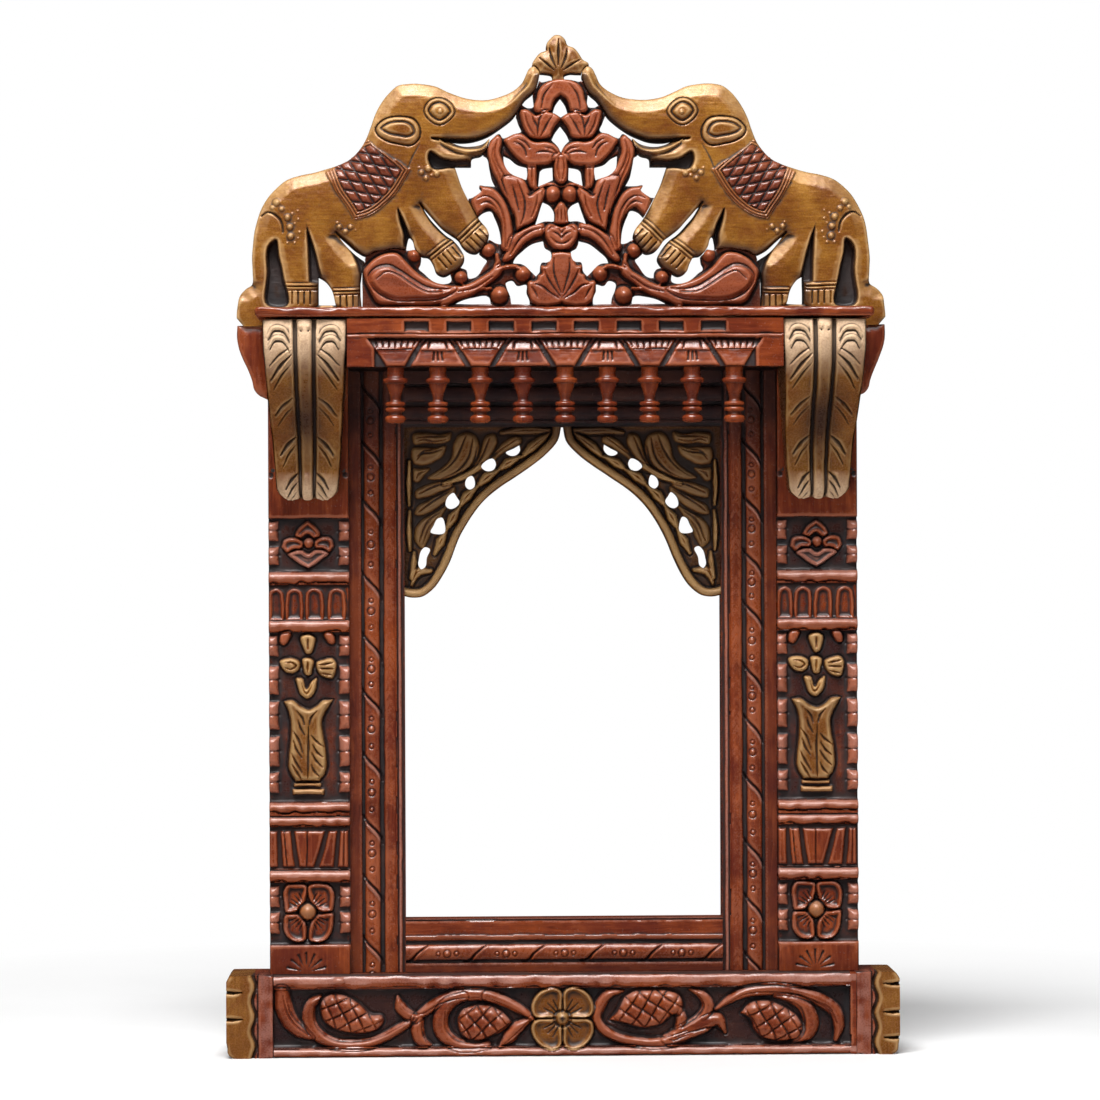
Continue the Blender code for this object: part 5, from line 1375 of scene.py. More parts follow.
def spandrel(word, side):
    def at(places, closed=True):
        return spandrel_place(seen_in(SPANDREL_VIEW, places), closed)

    relief = Relief((-0.0955, -0.1215), (0.0, -0.0160), SPANDREL_GROUND, 51 + side)
    relief.keep(spandrel_place(SPANDREL))
    board = np.minimum(relief.across + OPENING_HALF, -0.01653 - relief.up)
    relief.inside = np.minimum(relief.inside, board)
    for opening in SPANDREL_OPENINGS:
        relief.open(spandrel_place(opening))
    relief.layers["gold"][:] = 1
    relief.layers["dark"][:] = 0.62
    for leaf in SPANDREL_LEAVES:
        where, within = relief.area(at(leaf))
        found = (where, within + 0.0009)
        relief.seat(found, SPANDREL_GROUND - 0.002, SPANDREL_FRONT, 0.0036)
        relief.paint(found, "dark", 0.34, 0.0008)
    for vein in SPANDREL_VEINS:
        relief.cut(at(vein, False), [0.0003, 0.0009, 0.0005], 0.0016, 0.0009)
    for points, radii in SPANDREL_BLADES:
        radii = [r * PIXEL / SPANDREL_VIEW[2] for r in radii]
        blade(relief, at(points, False), radii, SPANDREL_GROUND, SPANDREL_FRONT)
    where, within = relief.line(spandrel_place(SPANDREL[ARCH_FIRST:ARCH_LAST], False), ARCH_REACH)
    away = ARCH_REACH - within
    share = np.clip(away / RIM_WIDTH, 0, 1)
    rim = SPANDREL_GROUND + 0.0046 * np.sqrt(np.clip(1 - (2 * share - 1) ** 2, 0, 1)) ** 0.7
    groove = np.clip(1 - np.abs(away - RIM_WIDTH * 1.12) / 0.0007, 0, 1)
    relief.deep[where] = np.where(share < 1, rim, relief.deep[where] - 0.0014 * groove)
    relief.layers["dark"][where] *= share == 1
    canopy_shade = 0.62 * np.clip((relief.up + 0.036) / 0.018, 0, 1)
    relief.layers["dark"] = np.maximum(relief.layers["dark"], canopy_shade)
    piece = solid(f"spandrel_{word}_carving", relief, 0.007, CARVED, 0.85, mirror=side > 0)
    place(piece, f"spandrel_{word}", "gold_paint")


# Brackets and ears

BRACKET_PROFILE = [
    (0.950, 0.00), (0.982, 0.06), (1.00, 0.14), (0.965, 0.24), (0.86, 0.34), (0.70, 0.44),
    (0.52, 0.54), (0.37, 0.64), (0.27, 0.74), (0.23, 0.83), (0.25, 0.90), (0.24, 0.95),
    (0.18, 0.985), (0.08, 1.00),
]
BRACKET_REACH = 0.0557
BRACKET_BACK = 0.0303
BRACKET_HEIGHT = 0.1045
BRACKET_HALF = 0.0245
BRACKET_FOOT_HALF = 0.0176
# How deep behind the bent face its own shape reaches, before the walls run to the back
BEND_REACH = 0.02
PILLAR_CENTRE = 0.15215
# Cuts of the hanging leaves, in metres along the face: from the rib outwards, and down
LEAF_CUTS = [
    (0.0080, 0.0170, 0.0215, 0.0280, 0.8), (0.0075, 0.0210, 0.0210, 0.0370, 1.2),
    (0.0075, 0.0260, 0.0200, 0.0440, 0.8), (0.0078, 0.0500, 0.0205, 0.0640, 1.0),
    (0.0072, 0.0560, 0.0190, 0.0720, 0.7), (0.0072, 0.0800, 0.0190, 0.0920, 1.2),
    (0.0072, 0.0850, 0.0180, 0.0990, 0.8), (0.0070, 0.1030, 0.0170, 0.1130, 1.2),
    (0.0068, 0.1080, 0.0165, 0.1190, 1.0), (0.0068, 0.1130, 0.0160, 0.1250, 0.7),
    (0.0080, 0.1310, 0.0120, 0.1430, 1.0), (0.0150, 0.1280, 0.0105, 0.1450, 0.8),
]
# Scrolls over the leaves at the top, given the same way
SCROLLS = [
    [(0.0085, 0.0120), (0.0125, 0.0062), (0.0180, 0.0058), (0.0215, 0.0110)],
    [(0.0085, 0.0185), (0.0130, 0.0120), (0.0175, 0.0118), (0.0205, 0.0165)],
    [(0.0015, 0.0060), (0.0030, 0.0045)],
]


def bracket_face():
    """The side view of a bracket, from the top down: depth, height, and length along it."""
    line = curve([(r * BRACKET_REACH, -d * BRACKET_HEIGHT) for r, d in BRACKET_PROFILE], False, 12)
    lengths = np.concatenate([[0], np.cumsum(np.linalg.norm(np.diff(line, axis=0), axis=1))])
    return BRACKET_BACK + line[:, 0], PILLAR_TOP + line[:, 1], lengths


def bracket(word, side):
    depths, heights, lengths = bracket_face()
    total = lengths[-1]
    facing_depth, facing_up = -np.gradient(heights, lengths), np.gradient(depths, lengths)
    share = np.clip((PILLAR_TOP - heights) / BRACKET_HEIGHT, 0, 1)
    narrowing = 1 - (1 - BRACKET_FOOT_HALF / BRACKET_HALF) * share**1.35

    def bend(points):
        down = np.clip(-points[:, 2], 0, total)
        depth, height, out, up, spread = (
            np.interp(down, lengths, values)
            for values in (depths, heights, facing_depth, facing_up, narrowing)
        )
        inward = np.clip((-points[:, 1] - BEND_REACH) / (1 - BEND_REACH), 0, 1)
        lift = np.where(points[:, 1] > -BEND_REACH, points[:, 1], 0)
        across = side * PILLAR_CENTRE + points[:, 0] * spread
        depth = (depth + out * lift) * (1 - inward) + BRACKET_BACK * inward
        return np.stack([across, -depth, height + up * lift], 1)

    relief = Relief((-BRACKET_HALF, -total), (BRACKET_HALF, 0), 0.0, 61 + side, step=PLAIN)
    half, foot = BRACKET_HALF - 1e-6, total - 0.0005
    turns = np.linspace(-math.pi, 0, 24)
    round_end = [(half * math.cos(a), 0.012 - foot + 0.012 * math.sin(a)) for a in turns]
    relief.keep([(-half, -0.00001), *round_end, (half, -0.00001)])
    relief.layers["gold"][:] = 1
    away, down = np.abs(relief.u), -relief.v
    side_share = np.clip((away - 0.0062) / 0.018, 0, 1)
    relief.deep += 0.0016 * np.sin(math.pi * side_share) ** 0.6
    lobe = np.sin(math.pi * np.clip((down - 0.8 * away - 0.004) / 0.030, 0, 8)) ** 2
    relief.deep -= 0.0013 * (1 - lobe) * smooth_step((away - 0.0062) / 0.003)
    valley = np.clip(1 - np.abs(away - 0.0056) / 0.0019, 0, 1)
    relief.deep -= 0.0028 * smooth_step(valley * 1.3)
    rib = np.clip(1 - (away / 0.0040) ** 2, 0, 1)
    relief.deep += 0.0012 * np.sqrt(rib)
    # Painted shade: the middle of the face, where it turns downwards, is darkened round the rib.
    middle_share = np.exp(-(((down / total) - 0.53) / 0.20) ** 2)
    relief.layers["dark"] = 0.80 * middle_share * np.exp(-((away / 0.0115) ** 2))
    for inner, start, outer, end, size in LEAF_CUTS:
        widths = [0.0003 * size, 0.0011 * size, 0.0005 * size]
        for way in (-1, 1):
            middle = (way * (inner + outer) * 0.5, -(start * 0.6 + end * 0.4))
            line = curve([(way * inner, -start), middle, (way * outer, -end)], False)
            relief.cut(line, widths, 0.0019 * size, 0.0010)
            relief.lift(relief.line(line - (0, 0.0014), widths), 0.0007 * size, 0.0010)
    for points in SCROLLS:
        for way in (-1, 1):
            line = curve([(way * x, -y) for x, y in points], False)
            relief.lift(relief.line(line, [0.0006, 0.0016, 0.0009]), 0.0015, 0.0016)
            relief.cut(line - (0, 0.0021), [0.0003, 0.0008, 0.0004], 0.0012, 0.0008)
    # Painted highlight: pale at the top under the shelf and at the toe, in patches.
    patches = 1 + 0.30 * noise(relief.across, relief.up, 0.007, 67)
    top_share, toe_share = 1.60 * (1 - down / 0.036), 1.35 * (1 - (total - down) / 0.022)
    relief.layers["wear_and_highlight"] = (patches * np.maximum(top_share, toe_share)).clip(0, 1)
    relief.round_rim(0.0014, 0.0012)
    piece = solid(
        f"bracket_{word}_carving", relief, -1.0, CARVED_HIGHLIGHT, 0.4, bend=bend, wall_rows=24
    )
    place(piece, f"bracket_{word}", "gold_paint")


EAR_PLACES = [
    (268, 322), (268, 322), (237, 322), (237, 322), (237, 333), (239, 345), (243, 356), (248, 367),
    (252, 378), (254, 386), (258, 391), (263, 393.5), (268, 396), (268, 396),
]


def ear(word, side):
    points = [(-0.1763 + (x - 268) * PIXEL, PILLAR_TOP - (y - 322) * PIXEL) for x, y in EAR_PLACES]
    relief = Relief((-0.1955, -0.0002), (-0.1760, 0.0450), 0.0172, 71 + side, step=PLAIN)
    relief.keep(curve(points, True, 5))
    relief.deep += 0.0010 * smooth_step(relief.inside / 0.006)
    relief.round_rim(0.0016, 0.0014)
    piece = solid(f"ear_{word}_carving", relief, 0.0, CARVED_UP, mirror=side > 0)
    place(piece, f"ear_{word}", "red_varnish")


# Pillars

PILLAR_LEFT_PX, PILLAR_MIDDLE_PX, PILLAR_RIGHT_PX = 260, 309.75, 360


def pillar_spot(px, py):
    """A photo place on the left pillar, on a pillar round x = 0."""
    return ((px - PILLAR_MIDDLE_PX) * PIXEL, (ORIGIN_ROW - py) * PIXEL)


def pillar_curve(places, closed=True):
    return curve([pillar_spot(x, y) for x, y in places], closed, 5)


def upper_place(places, closed=True):
    return pillar_curve(seen_in(UPPER_PILLAR_VIEW, places), closed)


def pillar_band(left_px, top_row, right_px, foot_row):
    """The corners of a box on the pillar, from its left, top, right and foot in photo places."""
    left, foot = pillar_spot(left_px, foot_row)
    right, top = pillar_spot(right_px, top_row)
    return (left, foot), (right, top)


PETAL = [(0.05, 0.0), (0.30, 0.58), (0.50, 0.94), (0.64, 1.0), (0.82, 0.84), (0.95, 0.46)]


def petal(middle, angle, length, width):
    """A petal's outline, with a round tip."""
    x, z = middle
    c, s = math.cos(angle), math.sin(angle)
    shape = PETAL + [(1.0, 0.0)] + [(a, -b) for a, b in reversed(PETAL[1:])]
    points = [(a * length, b * width) for a, b in shape]
    return curve([(x + a * c - b * s, z + a * s + b * c) for a, b in points], True, 5)


def ray(middle, angle, start, end):
    """A straight line out of a flower's middle, between two distances from it."""
    x, z = middle
    return [(x + r * math.cos(angle), z + r * math.sin(angle)) for r in (start, end)]


def boss(relief, middle, radius, floor, top, gap, depth):
    """A round knob with a groove round it."""
    found = where, within = relief.spot(middle, radius)
    relief.lift((where, within + gap), -depth, 0.0006)
    relief.seat(found, floor, top, radius)
    return found


PILLAR_HALF = 0.02385
PILLAR_FACE = 0.0300
PANEL_FLOOR = 0.0262
FLUTE_FLOOR = 0.0278
# Panels: top and foot, and how dark they are. Ribs and side blocks: top and foot.
PANELS = [
    (520, 573.5, 0.8), (586, 621, 0.0), (633.5, 803, 0.75), (827, 870, 0.0), (882.5, 945, 0.7),
]
RIBS = [(573.5, 585.6), (621, 633), (803, 813.4), (816.5, 827), (870, 882)]
SIDE_BLOCKS = [
    (522.5, 543.4), (548.6, 567.5), (636, 658), (667, 696), (702, 731), (737, 768), (773, 794),
    (886, 908), (912, 934),
]
BLOCK_WIDTH = 10.2
# Tongues: middle and half width. Their outline: share of the half width, and photo row.
TONGUE = [
    (-1, 623), (-1, 623), (-1, 602), (-0.8, 593), (0, 589), (0.8, 593), (1, 602), (1, 623),
    (1, 623),
]
TONGUES = [(277.5, 8.6), (295.5, 9.4), (315.5, 9.6), (337.5, 9.6)]
VASE_LEAVES = [
    ([
        (240, 860), (265, 845), (300, 845), (325, 865), (322, 915), (300, 960), (280, 965),
        (250, 920),
    ], 1),
    ([
        (118, 1000), (160, 982), (205, 985), (240, 1010), (236, 1050), (200, 1075), (160, 1070),
        (125, 1035),
    ], 1),
    ([
        (330, 1010), (370, 990), (425, 985), (448, 1015), (445, 1060), (430, 1100), (370, 1095),
        (335, 1060),
    ], 1),
    ([(250, 990), (300, 985), (318, 1000), (312, 1050), (300, 1085), (270, 1085), (252, 1040)], 1),
    ([
        (213, 1100), (250, 1100), (275, 1160), (300, 1120), (333, 1100), (335, 1140), (315, 1195),
        (280, 1222), (240, 1200), (220, 1150),
    ], 1),
    ([(128, 838), (190, 840), (178, 880), (150, 910), (125, 905)], 0),
    ([(372, 840), (428, 838), (436, 905), (410, 905), (385, 880)], 0),
]
VASE = [
    (140, 1232), (140, 1232), (190, 1225), (245, 1262), (285, 1278), (330, 1258), (370, 1225),
    (428, 1225), (428, 1225), (408, 1262), (385, 1300), (368, 1350), (372, 1420), (385, 1500),
    (392, 1568), (392, 1620), (380, 1660), (355, 1690), (352, 1700), (352, 1700), (205, 1700),
    (205, 1700), (200, 1690), (180, 1660), (166, 1620), (166, 1568), (172, 1500), (180, 1420),
    (178, 1350), (165, 1290),
]
VASE_LINES = [
    [(215, 1290), (250, 1330), (262, 1370)], [(335, 1290), (300, 1330), (290, 1370)],
    [(190, 1400), (225, 1450), (250, 1530)], [(300, 1430), (330, 1465), (375, 1500)],
    [(195, 1450), (215, 1510), (245, 1560)], [(305, 1480), (335, 1530), (370, 1560)],
    [(185, 1530), (215, 1590), (250, 1650)], [(300, 1530), (330, 1580), (370, 1620)],
    [(285, 1380), (282, 1500), (283, 1680)], [(190, 1600), (220, 1650), (245, 1690)],
    [(300, 1600), (320, 1640), (350, 1670)], [(225, 1340), (240, 1390), (262, 1430)],
]
VASE_LEAF_LINES = [
    [(282, 870), (282, 935)], [(150, 1010), (190, 1010), (215, 1030), (185, 1050), (150, 1040)],
    [(345, 1025), (430, 1010)], [(345, 1045), (430, 1045)], [(350, 1070), (425, 1085)],
    [(283, 1000), (280, 1070)], [(240, 1110), (272, 1190), (320, 1110)],
]
VASE_BARS = [(783.5, 787.5, 294, 322), (789.5, 795.5, 293, 325)]
V_FLUTES = [
    ((268.0, 278.6, 268.0, 279.4), ()), ((280.0, 291.6, 282.8, 296.0), (284.5,)),
    ((293.2, 326.6, 298.8, 315.0), (307.4,)), ((328.4, 338.6, 318.2, 334.6), ()),
    ((340.0, 349, 337.0, 349), (344.5,)),
]
STAR_PETALS = [
    [
        (210, 278), (222, 240), (258, 208), (285, 190), (285, 190), (312, 208), (344, 240),
        (356, 276), (322, 292), (285, 268), (242, 292),
    ],
    [
        (130, 345), (130, 345), (148, 300), (190, 286), (238, 296), (266, 326), (246, 352),
        (204, 354), (168, 376),
    ],
    [
        (438, 335), (438, 335), (420, 292), (385, 282), (342, 294), (318, 322), (336, 352),
        (372, 354), (408, 374),
    ],
    [
        (168, 384), (208, 362), (250, 358), (288, 380), (330, 358), (368, 358), (408, 380),
        (368, 414), (328, 444), (286, 466), (286, 466), (240, 442), (204, 414),
    ],
]
SQUARE_PETALS = [
    [
        (294, 915), (226, 903), (168, 910), (148, 950), (150, 1030), (162, 1084), (215, 1084),
        (258, 1062), (286, 1010),
    ],
    [
        (304, 915), (376, 901), (432, 912), (464, 955), (466, 1020), (450, 1076), (398, 1084),
        (345, 1062), (312, 1010),
    ],
    [
        (158, 1098), (214, 1092), (256, 1104), (284, 1150), (293, 1205), (288, 1256), (246, 1272),
        (190, 1256), (150, 1204), (146, 1150),
    ],
    [
        (456, 1090), (398, 1092), (348, 1104), (316, 1150), (302, 1205), (306, 1256), (350, 1274),
        (410, 1262), (446, 1216), (460, 1150),
    ],
]
STAR_CENTRE = (310, 545)
FLOWER_CENTRE = (307.9, 912.3)
FAN_CENTRE = (306.3, 972)
# The nails beside the bracket's foot: how far to the side, how high, and their holes' radius
NAIL_AWAY, NAIL_HEIGHT, NAIL_HOLE = 0.0222, -0.0452, 0.0016
# The hanging plate in the pillar's back, and the deeper pocket for the wall hook
PLATE_HALF_WIDTH = 0.0073
PLATE_HALF_HEIGHT = 0.0233
PLATE_MIDDLE = PILLAR_TOP - 0.031
PLATE_POCKET, HOOK_POCKET = 0.0023, 0.010
HOOK_RADIUS = 0.0036
HOOK_HEIGHT = PLATE_MIDDLE + 0.3 * 0.046


def pillar_relief(seed):
    """The pillar's panels, and the ribs and side blocks round them."""
    low, high = (-PILLAR_HALF, FRAME_FOOT), (PILLAR_HALF, PILLAR_TOP)
    relief = Relief(low, high, PILLAR_FACE, seed, step=PLAIN)
    wave = noise(relief.across, relief.up, 0.0042, seed + 3)
    for high, low, dark in PANELS:
        found = relief.band(*pillar_band(PILLAR_LEFT_PX, high, PILLAR_RIGHT_PX, low))
        relief.sink(found, PANEL_FLOOR if dark > 0.5 else FLUTE_FLOOR, 0.0006)
        relief.paint(found, "dark", dark)
    for high, low in SIDE_BLOCKS:
        for left, right in ((250, 270 + BLOCK_WIDTH), (349.4 - BLOCK_WIDTH, 370)):
            (start, foot_z), (end, top_z) = pillar_band(left, high, right, low)
            found = where, within = relief.band((start, foot_z), (end, top_z))
            relief.seat(found, PANEL_FLOOR, PILLAR_FACE + 0.0004, 0.0048)
            relief.paint(found, "dark", 0.0)
            z = (foot_z + top_z) / 2
            relief.cut([(start, z), (end, z + 0.0004)], 0.0009, 0.0009, 0.0009)
            # Painted highlight on the upper half of each block.
            relief.paint((where, within * (relief.v[where] > z)), "wear_and_highlight", 0.45)
    for high, low in RIBS:
        (_, foot_z), (_, top_z) = pillar_band(PILLAR_LEFT_PX, high, PILLAR_RIGHT_PX, low)
        middle, half = (foot_z + top_z) / 2, (top_z - foot_z) / 2
        where = relief.window([(-0.03, foot_z), (0.03, top_z)], 0.002)
        away = (relief.v[where] - middle + 0.0005 * wave[where]) / (half * (1 + 0.13 * wave[where]))
        bar = PANEL_FLOOR + 0.0054 * np.sqrt(np.clip(1 - away * away, 0, 1))
        on = np.abs(away) < 1
        relief.deep[where] = np.where(on, bar, np.minimum(relief.deep[where], PILLAR_FACE))
        relief.layers["dark"][where] *= ~on
        # Painted highlight along the upper part of each rib.
        lit = on & (away > -0.1)
        relief.layers["wear_and_highlight"][where] = np.where(lit, 0.50 + 0.45 * wave[where], 0).clip(0, 1)
    return relief


def upright_flutes(relief):
    for centre, half in TONGUES:
        outline = [(centre + half * x, y) for x, y in TONGUE]
        found = where, within = relief.area(pillar_curve(outline))
        relief.seat(found, PANEL_FLOOR, 0.0296, 0.0012)
        relief.lift((where, within - 0.0016), -0.0014, 0.0022)
    for (left, right, foot_left, foot_right), cuts in V_FLUTES:
        outline = [
            (left, 830.5), (left, 830.5), (right, 830.5), (right, 830.5), (foot_right, 868),
            (foot_right, 868), (foot_left, 868), (foot_left, 868),
        ]
        found = relief.area(pillar_curve(outline))
        relief.seat(found, PANEL_FLOOR, 0.0298, 0.0018)
        relief.paint(found, "dark", 0.0)
        for cut in cuts:
            middle = (foot_left + foot_right) / 2
            line = [(cut, 832), (cut * 0.4 + middle * 0.6, 866)]
            relief.cut(pillar_curve(line, False), 0.0005, 0.0012, 0.0005)


def vase(relief):
    for points, gold in VASE_LEAVES:
        found = form(relief, upper_place(points), PANEL_FLOOR, 0.0298, 0.0018, 0.0004)
        relief.paint(found, "gold", gold)
    found = form(relief, upper_place(VASE), PANEL_FLOOR, 0.0304, 0.0026, 0.0004)
    relief.paint(found, "gold", 1)
    relief.paint(found, "dark", 0.12)
    where, within = relief.band(*pillar_band(282, 727, 337.5, 783))
    relief.layers["dark"][where] *= 1 - np.clip(within / 0.003, 0, 1) * 0.5
    for line in VASE_LINES + VASE_LEAF_LINES:
        relief.cut(upper_place(line, False), [0.0003, 0.0008, 0.0004], 0.0016, 0.0008)
    for high, low, left, right in VASE_BARS:
        found = relief.band(*pillar_band(left, high, right, low))
        relief.seat(found, PANEL_FLOOR, 0.0300, 0.0014)
        relief.paint(found, "gold", 0.8)
        relief.paint(found, "dark", 0.0)


def star_flower(relief):
    for points in STAR_PETALS:
        found = where, within = form(
            relief, upper_place(points), PANEL_FLOOR, 0.0298, 0.0016, 0.0004
        )
        relief.lift((where, within - 0.0015), -0.0020, 0.0016)
    # Painted highlight on the lowest petal, which faces upwards.
    relief.paint(found, "wear_and_highlight", 0.6)
    middle = pillar_spot(*STAR_CENTRE)
    relief.paint(boss(relief, middle, 0.0032, PANEL_FLOOR, 0.0308, 0.0008, 0.0018), "dark", 0)


def square_flower(relief):
    middle = pillar_spot(*FLOWER_CENTRE)
    for points, angle in zip(SQUARE_PETALS, (135, 45, 225, 315)):
        turn = math.radians(angle)
        outline = pillar_curve(seen_in(LOWER_PILLAR_VIEW, points))
        where, within = form(relief, outline, PANEL_FLOOR, 0.0302, 0.0016, 0.0003)
        relief.lift((where, within - 0.0013), -0.0024, 0.0030)
        for swing in (-0.34, -0.12, 0.12, 0.34):
            line = ray(middle, turn + swing, 0.0066, 0.0125)
            relief.cut(line, [0.0006, 0.0003], 0.0012, 0.0006)
    found = boss(relief, middle, 0.0054, PANEL_FLOOR, 0.0312, 0.0009, 0.0025)
    relief.paint(found, "gold", 0.35)
    relief.paint(found, "dark", 0)


def incised_fan(relief):
    for angle in (15, 40, 65, 90, 115, 140, 165):
        line = ray(pillar_spot(*FAN_CENTRE), math.radians(angle), 0.0030, 0.0115)
        relief.cut(line, [0.0002, 0.0011, 0.0009], 0.0012, 0.0010)


def plate_pockets():
    """The pockets in the back for the hanging plate and the wall hook."""
    half = PLATE_HALF_WIDTH
    low, high = PLATE_MIDDLE - PLATE_HALF_HEIGHT, PLATE_MIDDLE + PLATE_HALF_HEIGHT
    plate = np.array([(-half, low), (-half, high), (half, high), (half, low)])
    turns = np.linspace(0, -2 * math.pi, 32, endpoint=False)
    hook = np.stack([HOOK_RADIUS * np.cos(turns), HOOK_HEIGHT + HOOK_RADIUS * np.sin(turns)], 1)
    return [(plate, PLATE_POCKET), (hook, HOOK_POCKET)]


def pillar(word, side):
    relief = pillar_relief(81 + side)
    star_flower(relief)
    upright_flutes(relief)
    vase(relief)
    square_flower(relief)
    incised_fan(relief)
    edge = PILLAR_HALF - np.abs(relief.across)
    share = np.clip(edge / 0.0009, 0, 1)
    relief.deep -= 0.0008 * (1 - np.sqrt(1 - (1 - share) ** 2))
    for way in (-1, 1):
        where, within = relief.spot((way * NAIL_AWAY, NAIL_HEIGHT), NAIL_HOLE)
        relief.sink((where, within + 0.0004), 0.0293, 0.0004)
    piece = solid(
        f"pillar_{word}_carving", relief, 0.0, CARVED_UP, bend=moved(side * PILLAR_CENTRE),
        pockets=plate_pockets(),
    )
    place(piece, f"pillar_{word}", "red_varnish")


# Window frame

STILE_OUTER = 0.128
STILE_WIDTH = 0.033
FRAME_DEEP = 0.0240
PANEL_DEEP = 0.0058
# The rope moulding in photo pixels: rows where its slanting cuts start, and one cut's places
ROPE_LEFT = (503, 577, 638, 694, 757, 820, 879, 941)
ROPE_RIGHT = (500, 555, 607, 670, 721, 780, 845, 900, 958)
ROPE_CUT = [(12.8, -4), (15.6, 1), (20.6, 7), (26.6, 13), (30.6, 19), (33, 26)]
HIDDEN_ROPE = (445, 390)
ROPE_MIDDLE, ROPE_SIDES = 21.8, 46.6
BEAD_SHARES = ((0.42, 2.0), (0.59, 3.5), (0.86, 2.2))
# The same on the sill, in metres
SILL_TOP = -0.312
SILL_CUT = [(-0.008, -0.3372), (-0.004, -0.3360), (0, -0.3318), (0.006, -0.3272)]
SILL_BEADS = ((0.0125, 0.0011), (0.0178, 0.0020), (0.0232, 0.0012))
SILL_BEAD_HEIGHT = -0.3322


def moulding(relief, away):
    """The stile's run of mouldings. Away is the distance from the outer edge in photo pixels."""
    def bar(low, high, top, power):
        share = np.clip((away - low) / (high - low), 0, 1)
        round_off = np.clip(1 - (2 * share - 1) ** 2, 0, 1) ** power
        on = (away > low) & (away < high)
        relief.deep[on] = (FRAME_DEEP - 0.0024 + (top + 0.0024) * round_off)[on]

    for low, high in ((12.0, 15.2), (30.0, 34.6)):
        on = (away > low) & (away < high)
        relief.deep[on] = FRAME_DEEP - 0.0026
        relief.layers["dark"][on] = 0.7
    bar(14.6, 30.6, 0.0010, 0.42)
    bar(34.4, 47.0, 0.0004, 0.30)
    relief.layers["dark"][away < 12.0] = 0.30
    edge = away > 47.0
    share = np.clip((away - 47.0) / 1.5, 0, 1)
    bead = np.clip(1 - ((away - 50.4) / 1.9) ** 2, 0, 1)
    step = 0.0024 * smooth_step(share) - 0.0011 * np.sqrt(bead)
    relief.deep[edge] = (FRAME_DEEP - step)[edge]
    # Painted highlight along the bead of the inner edge.
    relief.layers["wear_and_highlight"][edge] = 0.55 * bead[edge]


def rope_bead(relief, middle, radius):
    where, within = relief.spot(middle, radius)
    relief.lift((where, within + 0.0007), -0.0008, 0.0006)
    relief.lift((where, within), 0.0011 + 0.3 * radius, radius)


def stile(word, side):
    low, high = (0.0, FRAME_FOOT), (STILE_WIDTH, FRAME_TOP)
    relief = Relief(low, high, FRAME_DEEP, 91 + side, step=PLAIN, wobble=0.00015)
    away = relief.u / STILE_PIXEL
    moulding(relief, away)
    starts = sorted((ROPE_LEFT if side < 0 else ROPE_RIGHT) + HIDDEN_ROPE)

    def rope_place(x, y):
        x = x if side < 0 else ROPE_SIDES - x
        return (x * STILE_PIXEL, (ORIGIN_ROW - y) * PIXEL)

    for first, second in zip(starts, [*starts[1:], starts[-1] + 60]):
        line = curve([rope_place(x, first + y) for x, y in ROPE_CUT], False, 5)
        relief.cut(line, [0.0003, 0.0011, 0.0011, 0.0004], 0.0022, 0.0010)
        found = relief.line(line + (0.0007 * side, -0.0011), [0.0002, 0.0011, 0.0003])
        relief.lift(found, 0.0013, 0.0011)
        # Painted highlight on the lip below each cut.
        relief.paint(found, "wear_and_highlight", 0.7, 0.0008)
        for share, radius in BEAD_SHARES:
            spot = rope_place(ROPE_MIDDLE, first + (second - first) * share)
            rope_bead(relief, spot, radius * PIXEL)
    zigzag = np.abs(((relief.up / 0.0060 + np.abs((away - 40.5) / 6.5)) % 1) - 0.5) * 2
    on = (away > 35.5) & (away < 45.5)
    shade = np.clip((relief.up + 0.044) / 0.034, 0, 1) * 0.78
    relief.layers["dark"] = np.maximum(relief.layers["dark"], shade)
    faint = 0.00011 + 0.00009 * noise(relief.across, relief.up, 0.02, 97)
    relief.deep -= faint * smooth_step(1 - zigzag * 3.0) * on
    piece = solid(
        f"stile_{word}_carving", relief, PANEL_DEEP, CARVED_UP, bend=moved(-STILE_OUTER),
        mirror=side > 0, slab=[(0.0001, -0.3429), (STILE_WIDTH - 0.005, 0.0164)],
    )
    place(piece, f"window_stile_{word}", "red_varnish")


def head_rail():
    low, high = (-OPENING_HALF, -0.0165), (OPENING_HALF, FRAME_TOP)
    relief = Relief(low, high, FRAME_DEEP, 131, step=0.0007)
    moulding(relief, (FRAME_TOP - relief.v) / STILE_PIXEL)
    # Painted shade: the rail under the canopy is painted nearly all dark.
    relief.layers["dark"][:] = np.maximum(relief.layers["dark"], 0.90)
    slab = [(-0.0947, -0.0115), (0.0947, 0.0164)]
    piece = solid("head_rail_moulding", relief, PANEL_DEEP, CARVED, slab=slab)
    place(piece, "window_head_rail", "red_varnish")


def sill_rail():
    low, high = (-OPENING_HALF, FRAME_FOOT), (OPENING_HALF, SILL_TOP)
    relief = Relief(low, high, FRAME_DEEP, 133, step=PLAIN)
    away = 49.0 - (SILL_TOP - relief.v) / (0.031 / 52)
    away = np.where(away > 33.0, np.maximum(away, 47.5), away + 6.0)
    moulding(relief, away)
    for start in np.linspace(-0.088, 0.088, 6):
        line = curve([(start + x, z) for x, z in SILL_CUT], False, 5)
        relief.cut(line, [0.0003, 0.0011, 0.0004], 0.0022, 0.0010)
        lip = relief.line(line + (0.0009, -0.0008), [0.0002, 0.0010, 0.0003])
        relief.lift(lip, 0.0009, 0.0010)
        for step, radius in SILL_BEADS:
            rope_bead(relief, (start + step, SILL_BEAD_HEIGHT), radius)
    slab = [(-0.0947, -0.3429), (0.0947, -0.317)]
    piece = solid("sill_carving", relief, PANEL_DEEP, CARVED, slab=slab)
    place(piece, "window_sill_rail", "red_varnish")


# Canopy

